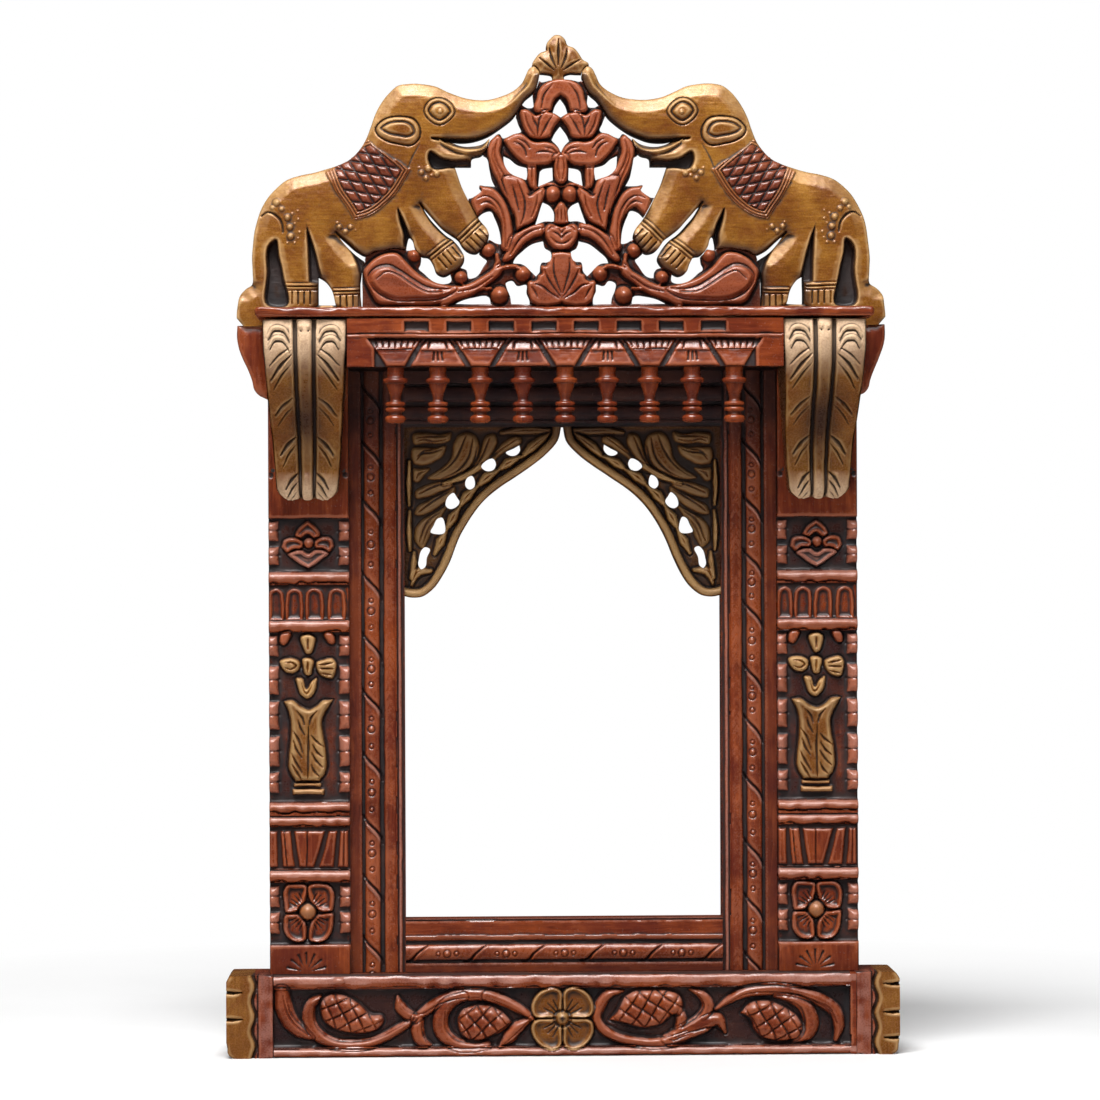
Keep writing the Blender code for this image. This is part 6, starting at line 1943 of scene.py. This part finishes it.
PENDANTS = 9
PENDANT_PITCH = 0.0248
FASCIA_FLOOR = 0.0832
FASCIA_FACE = 0.0860
FASCIA_HALF, FASCIA_LOW = 0.12735, 0.0168


def fascia_height(row):
    """How high a photo row lies on the fascia."""
    return PILLAR_TOP - (row - 318) * FASCIA_PIXEL_UP


def fascia():
    low, high = (-FASCIA_HALF, FASCIA_LOW), (FASCIA_HALF, PILLAR_TOP)
    relief = Relief(low, high, FASCIA_FACE, 101, step=PLAIN)
    dentil_top, dentil_foot = fascia_height(321), fascia_height(331.5)
    lip_top, lip_foot = fascia_height(329.8), fascia_height(331.6)
    ledge_top, ledge_foot = fascia_height(334.5), fascia_height(337.5)
    reach = PENDANTS / 2 * PENDANT_PITCH
    found = relief.band((-reach, FASCIA_LOW - 0.01), (reach, ledge_foot))
    relief.sink(found, FASCIA_FLOOR, 0.0006)
    relief.paint(found, "dark", 0.6)
    gap = PENDANT_PITCH / 2 - 8.6 * FASCIA_PIXEL
    for index in range(PENDANTS - 1):
        middle = (index - 3.5) * PENDANT_PITCH
        found = relief.band((middle - gap, dentil_foot), (middle + gap, dentil_top))
        relief.sink(found, FASCIA_FLOOR, 0.0005)
        relief.paint(found, "dark", 0.7)
        found = relief.band((middle - gap + 0.001, lip_foot), (middle + gap - 0.001, lip_top))
        relief.seat(found, FASCIA_FLOOR, 0.0848, 0.0005)
        relief.paint(found, "dark", 0.1)
    relief.lift(relief.band((-FASCIA_HALF, ledge_foot), (FASCIA_HALF, ledge_top)), 0.0006, 0.0006)
    found = relief.band((-FASCIA_HALF, ledge_top), (FASCIA_HALF, ledge_top + 0.0008))
    relief.lift(found, -0.0016, 0.0004)
    for index in range(PENDANTS):
        fascia_petal(relief, index)
    relief.round_rim(0.0006)
    piece = solid("fascia_carving", relief, 0.0715, CARVED, 0.3)
    place(piece, "canopy_fascia", "red_varnish")


def fascia_petal(relief, index):
    """The combed petal over a turned drop. Every other one stands on its wide end."""
    pixel = FASCIA_PIXEL
    middle = (index - 4) * PENDANT_PITCH
    narrow, wide = 9.2 * pixel, 27.2 * pixel
    upright = index % 2 == 1
    top, foot = (11.5 * pixel, wide) if upright else (wide, narrow)
    high, step, low = fascia_height(338.5), fascia_height(350), fascia_height(367.6)
    outline = [(-top, high), (top, high), (foot, low), (-foot, low)]
    found = where, within = relief.area([(middle + x, z) for x, z in outline])
    relief.seat(found, FASCIA_FLOOR, FASCIA_FACE, 0.0010)
    relief.paint(found, "dark", 0.0)
    height = relief.v[where]
    tier = smooth_step((step - height) / 0.0010)
    slope = np.clip((step - height) / (step - low), 0, 1)
    sunk = 0.0011 * tier * (1 - slope)
    lean = 0.0030 * np.clip((height - step) / (high - step), 0, 1) + 0.0008 * (1 - slope)
    relief.deep[where] -= np.where(within > 0, sunk + lean, 0)
    if upright:
        for shift in (-4.5, 0, 4.5):
            ends = ((shift * 0.8, step - 0.0015), (shift, low + 0.0035))
            relief.cut([(middle + x * pixel, z) for x, z in ends], 0.0006, 0.0013, 0.0006)
        arch = [(-9, step + 0.0004), (-7, high - 0.0016), (0, high - 0.0008)]
        arch += [(-x, z) for x, z in reversed(arch[:2])]
        arch = curve([(middle + x * pixel, z) for x, z in arch], False, 5)
        relief.cut(arch, 0.0005, 0.0012, 0.0005)
    else:
        for shift in np.linspace(-16, 16, 7):
            ends = ((shift * 1.2, high - 0.0012), (shift * 1.1, step + 0.0010))
            relief.cut([(middle + x * pixel, z) for x, z in ends], 0.0004, 0.0009, 0.0004)
        line = [(middle - 17 * pixel, step), (middle + 17 * pixel, step)]
        relief.cut(line, 0.0005, 0.0014, 0.0005)


PENDANT_PROFILE = [
    (8.6, 0.0), (8.7, 1.0), (8.7, 8.5), (9.2, 10.0), (11.2, 11.0), (12.3, 12.2), (12.4, 13.6),
    (11.8, 15.0), (9.6, 15.8), (9.0, 17.0), (8.6, 19.0), (7.6, 22.0), (6.2, 26.0), (5.2, 30.0),
    (5.1, 32.6), (6.0, 34.0), (8.6, 34.5), (10.0, 35.8), (10.0, 37.2), (8.8, 38.4), (7.0, 38.8),
    (6.8, 39.6), (8.8, 40.0), (10.0, 41.2), (10.0, 42.8), (8.8, 44.0), (7.0, 44.4), (6.6, 46.0),
    (7.4, 47.6), (9.4, 48.6), (10.4, 50.4), (10.4, 52.4), (9.4, 54.2), (7.4, 55.2), (4.0, 55.7),
    (1.2, 55.8),
]
PENDANT_TOP = 0.0165
PENDANT_DEEP = 0.07875
PENDANT_PIXEL = 0.0327 / 55.8


def pendant(index):
    """A turned drop. Its lathe marks and small errors come from its own seed."""
    draw = np.random.default_rng(200 + index)
    line = curve(PENDANT_PROFILE, False, 3) * PENDANT_PIXEL * (1 + draw.uniform(-0.004, 0.004))
    radii, down = line[:, 0], line[:, 1]
    radii = radii + draw.uniform(-0.00003, 0.00003, len(radii))
    count, turns = len(line), 56
    angles = np.linspace(0, 2 * math.pi, turns, endpoint=False)
    lean = draw.uniform(-0.006, 0.006, 2)
    middle = (index - 4) * PENDANT_PITCH
    across = middle + radii[:, None] * np.cos(angles) + (down * lean[0])[:, None]
    deep = PENDANT_DEEP + radii[:, None] * np.sin(angles) + (down * lean[1])[:, None]
    up = np.repeat(PENDANT_TOP - down[:, None], turns, 1)
    points = np.stack([across.ravel(), -deep.ravel(), up.ravel()], 1)
    foot = PENDANT_TOP - down[-1] - 0.0001
    ends = [
        (middle, -PENDANT_DEEP, PENDANT_TOP),
        (middle + down[-1] * lean[0], -PENDANT_DEEP - down[-1] * lean[1], foot),
    ]
    points = np.concatenate([points, ends])
    ring = np.arange(turns)
    after = (ring + 1) % turns
    quads = []
    for row in range(count - 1):
        a, b = row * turns, (row + 1) * turns
        quads.append(np.stack([a + ring, a + after, b + after, b + ring], 1))
    first, last = count * turns, count * turns + 1
    bottom = (count - 1) * turns
    caps = np.concatenate([
        np.stack([np.full(turns, first), after, ring], 1),
        np.stack([np.full(turns, last), bottom + ring, bottom + after], 1),
    ])
    smooth = np.convolve(np.pad(radii, 4, "edge"), np.ones(9) / 9, "valid")
    hollow = np.clip((smooth - radii) / 0.0009, -1, 1)
    values = {
        "gold": np.zeros(len(points)),
        "dark": np.zeros(len(points)),
        "hollow": np.concatenate([np.repeat(hollow, turns), [0, 0]]),
        "shelter": np.concatenate([np.repeat(hollow * 0.7, turns), [0, 0]]),
    }
    piece = mesh_object(
        f"pendant_{index + 1}_turning", points, np.concatenate(quads), caps, values, CARVED_UP
    )
    place(piece, f"pendant_{index + 1}", "red_varnish")


def plank(name, low, high, radius, step, seed, wave):
    """A board with rounded edges and the small waves of hand planing."""
    low, high = np.array(low), np.array(high)
    points, quads, start = [], [], 0
    sizes = np.maximum(2, np.ceil((high - low) / step).astype(int))
    for axis in range(3):
        first, second = [k for k in range(3) if k != axis]
        n, m = sizes[first], sizes[second]
        i, j = np.meshgrid(np.arange(n + 1), np.arange(m + 1), indexing="ij")
        for end in (0, 1):
            face = np.zeros((n + 1, m + 1, 3), int)
            face[..., first], face[..., second], face[..., axis] = i, j, end * sizes[axis]
            number = start + np.arange((n + 1) * (m + 1)).reshape(n + 1, m + 1)
            cells = (number[:-1, :-1], number[1:, :-1], number[1:, 1:], number[:-1, 1:])
            cells = np.stack(cells, -1).reshape(-1, 4)
            if (end == 0) != (axis == 1):
                cells = cells[:, ::-1]
            points.append(face.reshape(-1, 3))
            quads.append(cells)
            start += (n + 1) * (m + 1)
    points, quads = np.concatenate(points), np.concatenate(quads)
    points, back = np.unique(points, axis=0, return_inverse=True)
    quads = back.ravel()[quads]
    box = low + points / sizes * (high - low)
    core = np.clip(box, low + radius, high - radius)
    way = box - core
    length = np.maximum(np.linalg.norm(way, axis=1), 1e-9)[:, None]
    on_edge = (np.abs(way) > radius * 0.5).sum(1)
    rounded_box = core + way / length * radius
    flat = (np.abs(way[:, 2]) / length[:, 0]) ** 4
    push = wave * noise(box[:, 0], box[:, 2] + box[:, 1], 0.011, seed) * (1 - 0.75 * flat)
    fine = wave * 0.4 * noise(box[:, 0] + 0.3, box[:, 2] - box[:, 1], 0.0035, seed + 1)
    push += fine * (1 - 0.9 * flat)
    rounded_box += way / length * (push - wave)[:, None]
    edge = np.where(on_edge > 1, -0.75, -0.05)
    none = np.zeros(len(box))
    values = {"gold": none, "dark": none, "hollow": edge * 0.6, "shelter": edge}
    return mesh_object(name, rounded_box, quads, np.zeros((0, 3), int), values, CARVED)


# Plinth

PLINTH_HALF = 0.1734
PLINTH_LOW, PLINTH_HIGH = -0.3917, -0.3433
PLINTH_FACE = 0.0400
PLINTH_FLOOR = 0.0352
PLINTH_MIDDLE_PX, PLINTH_TOP_ROW = 561.5, 971
POST_LEFT = 0.1702
SCALE_PITCH = 0.0078


def plinth_spot(px, py):
    """A photo place on the plinth."""
    down = level_row(px, py, PLINTH_MIDDLE_PX) - PLINTH_TOP_ROW
    return ((px - PLINTH_MIDDLE_PX) * PLINTH_PIXEL, PLINTH_HIGH - down * PLINTH_PIXEL_UP)


def plinth_place(places, closed=True):
    return curve([plinth_spot(x, y) for x, y in places], closed, 4)


# Cones over the three views, each with the slant of its scales
CONES = [
    (LEFT_VIEW, 0.35, [
        (598, 400), (606, 340), (650, 304), (720, 298), (790, 326), (850, 370), (905, 420),
        (965, 430), (975, 465), (945, 510), (890, 530), (800, 538), (720, 522), (655, 496),
        (615, 460),
    ]),
    (MIDDLE_VIEW, 0.10, [
        (-45, 500), (-20, 440), (30, 412), (130, 400), (225, 428), (290, 480), (316, 520),
        (316, 520), (250, 580), (180, 612), (100, 640), (20, 630), (-30, 580),
    ]),
    (MIDDLE_VIEW, -0.20, [
        (952, 500), (952, 500), (1000, 440), (1045, 352), (1110, 305), (1210, 300), (1320, 300),
        (1400, 325), (1438, 390), (1420, 450), (1350, 480), (1290, 528), (1180, 552), (1050, 525),
    ]),
    (RIGHT_VIEW, 0.25, [
        (484, 440), (484, 440), (540, 372), (640, 350), (725, 376), (800, 420), (856, 470),
        (880, 540), (850, 592), (780, 612), (700, 612), (620, 592), (568, 540), (540, 472),
    ]),
]
# Stems and leaves over the same views: the line and its half widths. They are raised without a
# vein.
PLINTH_STEMS = [
    (
        LEFT_VIEW,
        [
            (600, 322), (556, 352), (532, 420), (548, 500), (600, 556), (680, 590), (780, 602),
            (880, 594), (980, 556), (1070, 506), (1160, 450),
        ],
        [14, 26, 34, 36, 32, 28, 28, 28, 26, 24, 20],
    ),
    (LEFT_VIEW, [(372, 296), (384, 380), (420, 460), (478, 520), (548, 560)], [40, 46, 44, 36, 14]),
    (LEFT_VIEW, [(1058, 316), (1076, 380), (1120, 424), (1180, 438)], [8, 30, 30, 16]),
    (LEFT_VIEW, [(1188, 446), (1176, 520), (1196, 580), (1256, 604)], [22, 36, 32, 8]),
    (
        LEFT_VIEW, [(1160, 450), (1240, 388), (1340, 336), (1450, 306), (1560, 304), (1640, 322)],
        [18, 28, 34, 36, 34, 30],
    ),
    (
        LEFT_VIEW,
        [(1450, 318), (1362, 360), (1312, 440), (1326, 530), (1400, 592), (1500, 606), (1590, 600)],
        [20, 34, 40, 40, 32, 26, 18],
    ),
    (
        MIDDLE_VIEW, [(160, 350), (250, 376), (350, 424), (440, 484), (484, 530)],
        [32, 32, 28, 20, 8],
    ),
    (MIDDLE_VIEW, [(236, 668), (300, 610), (356, 550), (446, 488)], [10, 38, 36, 10]),
    (
        MIDDLE_VIEW,
        [
            (1040, 312), (950, 330), (892, 400), (868, 480), (900, 550), (980, 602), (1100, 634),
            (1230, 650), (1360, 634), (1480, 592), (1580, 556),
        ],
        [8, 28, 34, 30, 28, 30, 30, 32, 34, 32, 28],
    ),
    (MIDDLE_VIEW, [(1410, 430), (1424, 500), (1400, 580)], [20, 34, 26]),
    (
        RIGHT_VIEW, [(170, 292), (240, 320), (282, 390), (250, 460), (160, 522), (60, 570)],
        [8, 26, 34, 34, 30, 26],
    ),
    (RIGHT_VIEW, [(20, 596), (130, 562), (250, 510), (340, 476), (392, 560)], [26, 34, 40, 36, 8]),
    (
        RIGHT_VIEW,
        [
            (330, 414), (420, 350), (520, 306), (640, 288), (760, 292), (880, 318), (1000, 360),
            (1080, 424), (1104, 510), (1084, 604),
        ],
        [8, 24, 32, 34, 36, 36, 36, 36, 32, 14],
    ),
    (
        RIGHT_VIEW, [(700, 330), (820, 352), (900, 410), (930, 490), (900, 570), (820, 612)],
        [10, 28, 40, 44, 36, 14],
    ),
]
PLINTH_LINES = [
    (LEFT_VIEW, [(560, 400), (574, 490), (650, 560), (780, 585), (930, 560), (1120, 470)]),
    (LEFT_VIEW, [(380, 310), (400, 400), (450, 480), (530, 545)]),
    (LEFT_VIEW, [(400, 330), (430, 420), (500, 500)]),
    (LEFT_VIEW, [(1070, 350), (1110, 398), (1180, 420), (1280, 372), (1400, 330), (1540, 318)]),
    (LEFT_VIEW, [(1200, 460), (1205, 530), (1230, 590)]),
    (LEFT_VIEW, [(1340, 400), (1340, 500), (1400, 570), (1520, 590)]),
    (MIDDLE_VIEW, [(180, 370), (300, 420), (440, 500)]),
    (MIDDLE_VIEW, [(260, 655), (340, 590), (430, 500)]),
    (MIDDLE_VIEW, [(280, 660), (360, 600), (440, 520)]),
    (MIDDLE_VIEW, [
        (990, 330), (920, 400), (896, 480), (960, 560), (1100, 605), (1280, 615), (1460, 570),
    ]),
    (RIGHT_VIEW, [(210, 310), (256, 390), (200, 470), (110, 530)]),
    (RIGHT_VIEW, [(60, 590), (200, 546), (330, 530), (384, 570)]),
    (RIGHT_VIEW, [(360, 404), (500, 322), (700, 300), (900, 340), (1040, 420), (1070, 580)]),
    (RIGHT_VIEW, [(930, 350), (1040, 400), (1090, 500)]),
    (RIGHT_VIEW, [(760, 350), (860, 400), (890, 500), (840, 590)]),
]


def cone_scales(relief, found, middle, slant):
    """The netted scales of a cone."""
    where, within = found
    u, v = relief.u[where] - middle[0], relief.v[where] - middle[1]
    u, v = u * math.cos(slant) - v * math.sin(slant), u * math.sin(slant) + v * math.cos(slant)
    first = (u * 0.80 + v * 0.72 + 0.0006 * np.sin(v / 0.003)) / SCALE_PITCH
    second = (u * 0.80 - v * 0.78 + 0.0006 * np.sin(u / 0.004)) / SCALE_PITCH
    tilt = (first - np.round(first)) + (second - np.round(second))
    first, second = np.abs(first - np.round(first)), np.abs(second - np.round(second))
    cut = 0.5 - np.maximum(first, second)
    inner = smooth_step((within - 0.0006) / 0.0006)
    scale = 0.0012 * rounded(cut * 2.6) + 0.0007 * tilt - 0.0012 * np.clip(1 - cut / 0.09, 0, 1)
    relief.deep[where] += scale * inner


def plinth_flower(relief):
    middle = plinth_spot(558.7, 1015)
    for angle in (45, 135, 225, 315):
        turn = math.radians(angle)
        found = where, within = form(
            relief, petal(middle, turn, 0.0212, 0.0112), PLINTH_FLOOR, 0.0398, 0.0016, 0.0004
        )
        relief.lift((where, within - 0.0015), -0.0024, 0.0030)
        relief.paint(found, "gold", 0.9)
        for swing in (-0.30, 0, 0.30):
            line = ray(middle, turn + swing, 0.0062, 0.0125)
            relief.cut(line, [0.0007, 0.0004], 0.0011, 0.0006)
    relief.paint(boss(relief, middle, 0.0049, PLINTH_FLOOR, 0.0402, 0.0009, 0.0022), "gold", 1)


def plinth():
    low, high = (-PLINTH_HALF, PLINTH_LOW), (PLINTH_HALF, PLINTH_HIGH)
    relief = Relief(low, high, PLINTH_FACE, 111, step=0.00055)
    wave = noise(relief.across, relief.up, 0.0060, 113)
    panel_top, panel_foot = PLINTH_HIGH - 0.0078, PLINTH_LOW + 0.0054
    found = relief.band((-0.2, panel_foot), (0.2, panel_top))
    relief.sink(found, PLINTH_FLOOR, 0.0008)
    relief.paint(found, "dark", 0.88)
    ledge = (relief.v - (PLINTH_HIGH - 0.0036) + 0.0007 * wave) / (0.0036 * (1 + 0.12 * wave))
    bar = PLINTH_FACE - 0.0024 + 0.0026 * np.sqrt(np.clip(1 - ledge * ledge, 0, 1))
    relief.deep = np.where(relief.v > panel_top, bar, relief.deep)
    relief.lift(relief.spot(plinth_spot(335, 978), (0.0036, 0.0026)), 0.0014, 0.0026)
    bead = (relief.v - (PLINTH_LOW + 0.0026) + 0.0003 * wave) / 0.0029
    bar = PLINTH_FLOOR + 0.0048 * np.sqrt(np.clip(1 - bead * bead, 0, 1))
    relief.deep = np.where(relief.v < panel_foot, bar, relief.deep)
    ledges = (np.abs(ledge - 0.25) < 0.55) | (np.abs(bead - 0.2) < 0.5)
    post = relief.u > POST_LEFT
    relief.deep[post] = PLINTH_FACE - 0.0004
    relief.layers["dark"][post] = 0
    # Pale rubbed streaks along the top ledge and the foot bead, which also paint their highlight.
    relief.layers["wear_and_highlight"] = (0.55 + 0.35 * wave) * ledges
    for view, points, radii in PLINTH_STEMS:
        line = plinth_place(seen_in(view, points), False)
        radii = [1.22 * r * PLINTH_PIXEL_UP / view[2] for r in radii]
        blade(relief, line, radii, PLINTH_FLOOR, 0.0396, False)
    for view, points in PLINTH_LINES:
        line = plinth_place(seen_in(view, points), False)
        relief.cut(line, [0.0003, 0.0008, 0.0004], 0.0013, 0.0008)
    for view, slant, points in CONES:
        outline = plinth_place(seen_in(view, points))
        found = form(relief, outline, PLINTH_FLOOR, 0.0400, 0.0050, 0.0007)
        cone_scales(relief, found, outline.mean(0), slant)
    plinth_flower(relief)
    piece = solid("plinth_carving", relief, 0.0, CARVED)
    place(piece, "plinth_board", "red_varnish")


END_INNER, END_OUTER = 0.1737, 0.2010
END_NOTCHES = {-1: (0.19, 0.52), 1: (0.13, 0.48, 0.80)}


def plinth_end(word, side):
    outer = END_OUTER - (0.002 if side > 0 else 0)
    low, high = (END_INNER, PLINTH_LOW), (outer, PLINTH_HIGH)
    relief = Relief(low, high, PLINTH_FACE, 121 + side, step=PLAIN)
    height = PLINTH_HIGH - PLINTH_LOW
    foot, top = (END_INNER + 1e-6, PLINTH_LOW), (END_INNER + 1e-6, PLINTH_HIGH)
    outline = [
        foot, foot, (outer - 0.003, PLINTH_LOW), (outer - 0.0006, PLINTH_LOW + 0.0020),
        (outer, PLINTH_LOW + 0.006), (outer, PLINTH_HIGH - 0.002), (outer - 0.0015, PLINTH_HIGH),
        top, top,
    ]
    relief.keep(curve(outline, True, 5))
    edge = [
        (
            END_INNER + 0.0112 + 0.0012 * math.cos(t * 3.1),
            PLINTH_LOW - 0.002 + t * (height + 0.004) / 6,
        )
        for t in np.linspace(0, 6, 25)
    ]
    for share in END_NOTCHES[side]:
        z = PLINTH_HIGH - share * height
        notch = [(outer + 0.002, z), (outer - 0.0040, z - 0.0004), (outer - 0.0090, z)]
        relief.cut(notch, [0.0011, 0.0009, 0.0003], 0.0050, 0.0010)
    scallop = np.interp(relief.v, [z for _, z in edge], [x for x, _ in edge])
    gilt = np.clip((relief.u - scallop) / 0.0006 + 0.5, 0, 1)
    relief.layers["gold"] = gilt
    patches = 0.22 + 0.25 * noise(relief.across, relief.up, 0.0045, 127)
    relief.layers["wear_and_highlight"] = patches * (1 - gilt)
    relief.deep += 0.0012 * smooth_step((relief.u - scallop) / 0.0030)
    relief.cut(edge, 0.0011, 0.0026, 0.0011)
    relief.cut([(END_INNER + 0.0093, -1), (END_INNER + 0.0093, 0)], 0.0006, 0.0014, 0.0006)
    relief.round_rim(0.0016, 0.0014)
    piece = solid(f"plinth_end_{word}_carving", relief, 0.0, CARVED_UP, mirror=side < 0)
    place(piece, f"plinth_end_{word}", "gold_paint")


# Floor, light and camera

FLOOR_SIZE = 4.0
FLOOR_FROM, FLOOR_TO = 0.50, 0.80
CAMERA_PLACE = (-0.0709, -2.380, -0.0905)
CAMERA_AIM = (-0.0079, -0.030, -0.0905)
CAMERA_ROLL = math.radians(-0.22)
PHOTO_WIDTH = 1100
ZOOM = 1.004
WORLD_LIGHT = 0.12
WORLD_MIRRORED = 0.03


def floor():
    """A pale floor under the plinth, which turns white away from the frame."""
    mesh = bpy.data.meshes.new("floor")
    size, low = FLOOR_SIZE, cad_box[0].z - 0.0003
    corners = [(-size, -size, low), (size, -size, low), (size, size, low), (-size, size, low)]
    mesh.from_pydata(corners, [], [(0, 1, 2, 3)])
    obj = linked("floor", mesh)
    f = Finish("floor")
    apart = f.add("ShaderNodeVectorMath", "Value", {0: f.place}, operation="LENGTH")
    far = f.scaled(apart, FLOOR_FROM, FLOOR_TO)
    seen = f.add("ShaderNodeLightPath", "Is Camera Ray")
    white = f.add("ShaderNodeEmission", inputs={"Color": (1, 1, 1, 1), "Strength": 1.0})
    under = f.add("ShaderNodeNewGeometry", "Backfacing")
    clear = f.add("ShaderNodeBsdfTransparent")
    tone = f.ramp(f.noise(7.0, 3), [(0.3, (0.86, 0.86, 0.86)), (0.7, (0.90, 0.90, 0.90))])
    f.finish(Base_Color=tone, Roughness=0.8)
    shown = f.math("MULTIPLY", seen, far)
    surface = f.add("ShaderNodeMixShader", 0, {0: shown, 1: f.shader.outputs[0], 2: white})
    surface = f.add("ShaderNodeMixShader", 0, {0: under, 1: surface, 2: clear})
    f.tree.links.new(surface, f.tree.nodes["Material Output"].inputs["Surface"])
    mesh.materials.append(f.material)
    obj.visible_glossy = False


def lamp(name, spot, target, size, power, mirrored=True, lighting=True):
    data = bpy.data.lights.new(name, "AREA")
    data.shape = "RECTANGLE"
    data.size, data.size_y = size
    data.energy = power
    obj = linked(name, data)
    obj.visible_glossy, obj.visible_diffuse, obj.visible_camera = mirrored, lighting, False
    obj.location = spot
    obj.rotation_euler = (Vector(target) - Vector(spot)).to_track_quat("-Z", "Y").to_euler()


def surroundings():
    """White where the camera sees it, and a soft grey light on the frame."""
    world = bpy.data.worlds.new("surroundings")
    world.use_nodes = True
    tree = world.node_tree
    ground = tree.nodes["Background"]
    ground.inputs["Color"].default_value = (1, 1, 1, 1)
    path = tree.nodes.new("ShaderNodeLightPath")
    seen = tree.nodes.new("ShaderNodeMapRange")
    tree.links.new(path.outputs["Is Camera Ray"], seen.inputs["Value"])
    seen.inputs["To Max"].default_value = 1.0
    soft = tree.nodes.new("ShaderNodeMapRange")
    tree.links.new(path.outputs["Is Glossy Ray"], soft.inputs["Value"])
    soft.inputs["To Min"].default_value = WORLD_LIGHT
    soft.inputs["To Max"].default_value = WORLD_MIRRORED
    tree.links.new(soft.outputs[0], seen.inputs["To Min"])
    tree.links.new(seen.outputs[0], ground.inputs["Strength"])
    bpy.context.scene.world = world


def camera():
    data = bpy.data.cameras.new("camera")
    obj = linked("camera", data)
    obj.location = CAMERA_PLACE
    away = (Vector(CAMERA_AIM) - Vector(CAMERA_PLACE)).normalized()
    turn = away.to_track_quat("-Z", "Y").to_matrix().to_4x4()
    obj.rotation_euler = (turn @ Euler((0, 0, CAMERA_ROLL)).to_matrix().to_4x4()).to_euler()
    data.sensor_width = 36
    width = PHOTO_WIDTH * PIXEL
    data.lens = data.sensor_width * (CAMERA_AIM[1] - CAMERA_PLACE[1]) / width * ZOOM
    data.clip_end = 20
    bpy.context.scene.camera = obj


floor()
surroundings()
lamp("key", (-0.25, -1.00, 1.75), (0, 0, -0.05), (1.1, 0.7), 66)
lamp("sheen", (-0.10, -1.25, 1.45), (0, 0, -0.05), (1.8, 1.2), 38, lighting=False)
lamp("fill", (-0.90, -2.20, 0.0), (0, 0, -0.10), (1.0, 1.0), 12, mirrored=False)
lamp("rear", (0.80, 1.90, 0.90), (0, 0, -0.10), (1.4, 1.0), 16, mirrored=False)
camera()
bpy.context.scene.view_settings.view_transform = "Standard"


# The frame, piece by piece

for word, side in (("left", -1), ("right", 1)):
    elephant(word, side)
    spandrel(word, side)
    bracket(word, side)
    ear(word, side)
    pillar(word, side)
    stile(word, side)
    plinth_end(word, side)
tracery()
finial()
fascia()
plinth()
head_rail()
sill_rail()
for index in range(PENDANTS):
    pendant(index)
shelf = plank(
    "canopy_shelf_plank", (-0.1822, -0.088, SHELF_FOOT), (0.1822, -0.0203, 0.0527), 0.0034, 0.0010,
    141, 0.0010,
)
place(shelf, "canopy_shelf", "red_varnish")

for name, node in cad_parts.items():
    for word, look in PACKED_LOOKS.items():
        if word in name:
            for holder in node.material_slots:
                holder.material = look
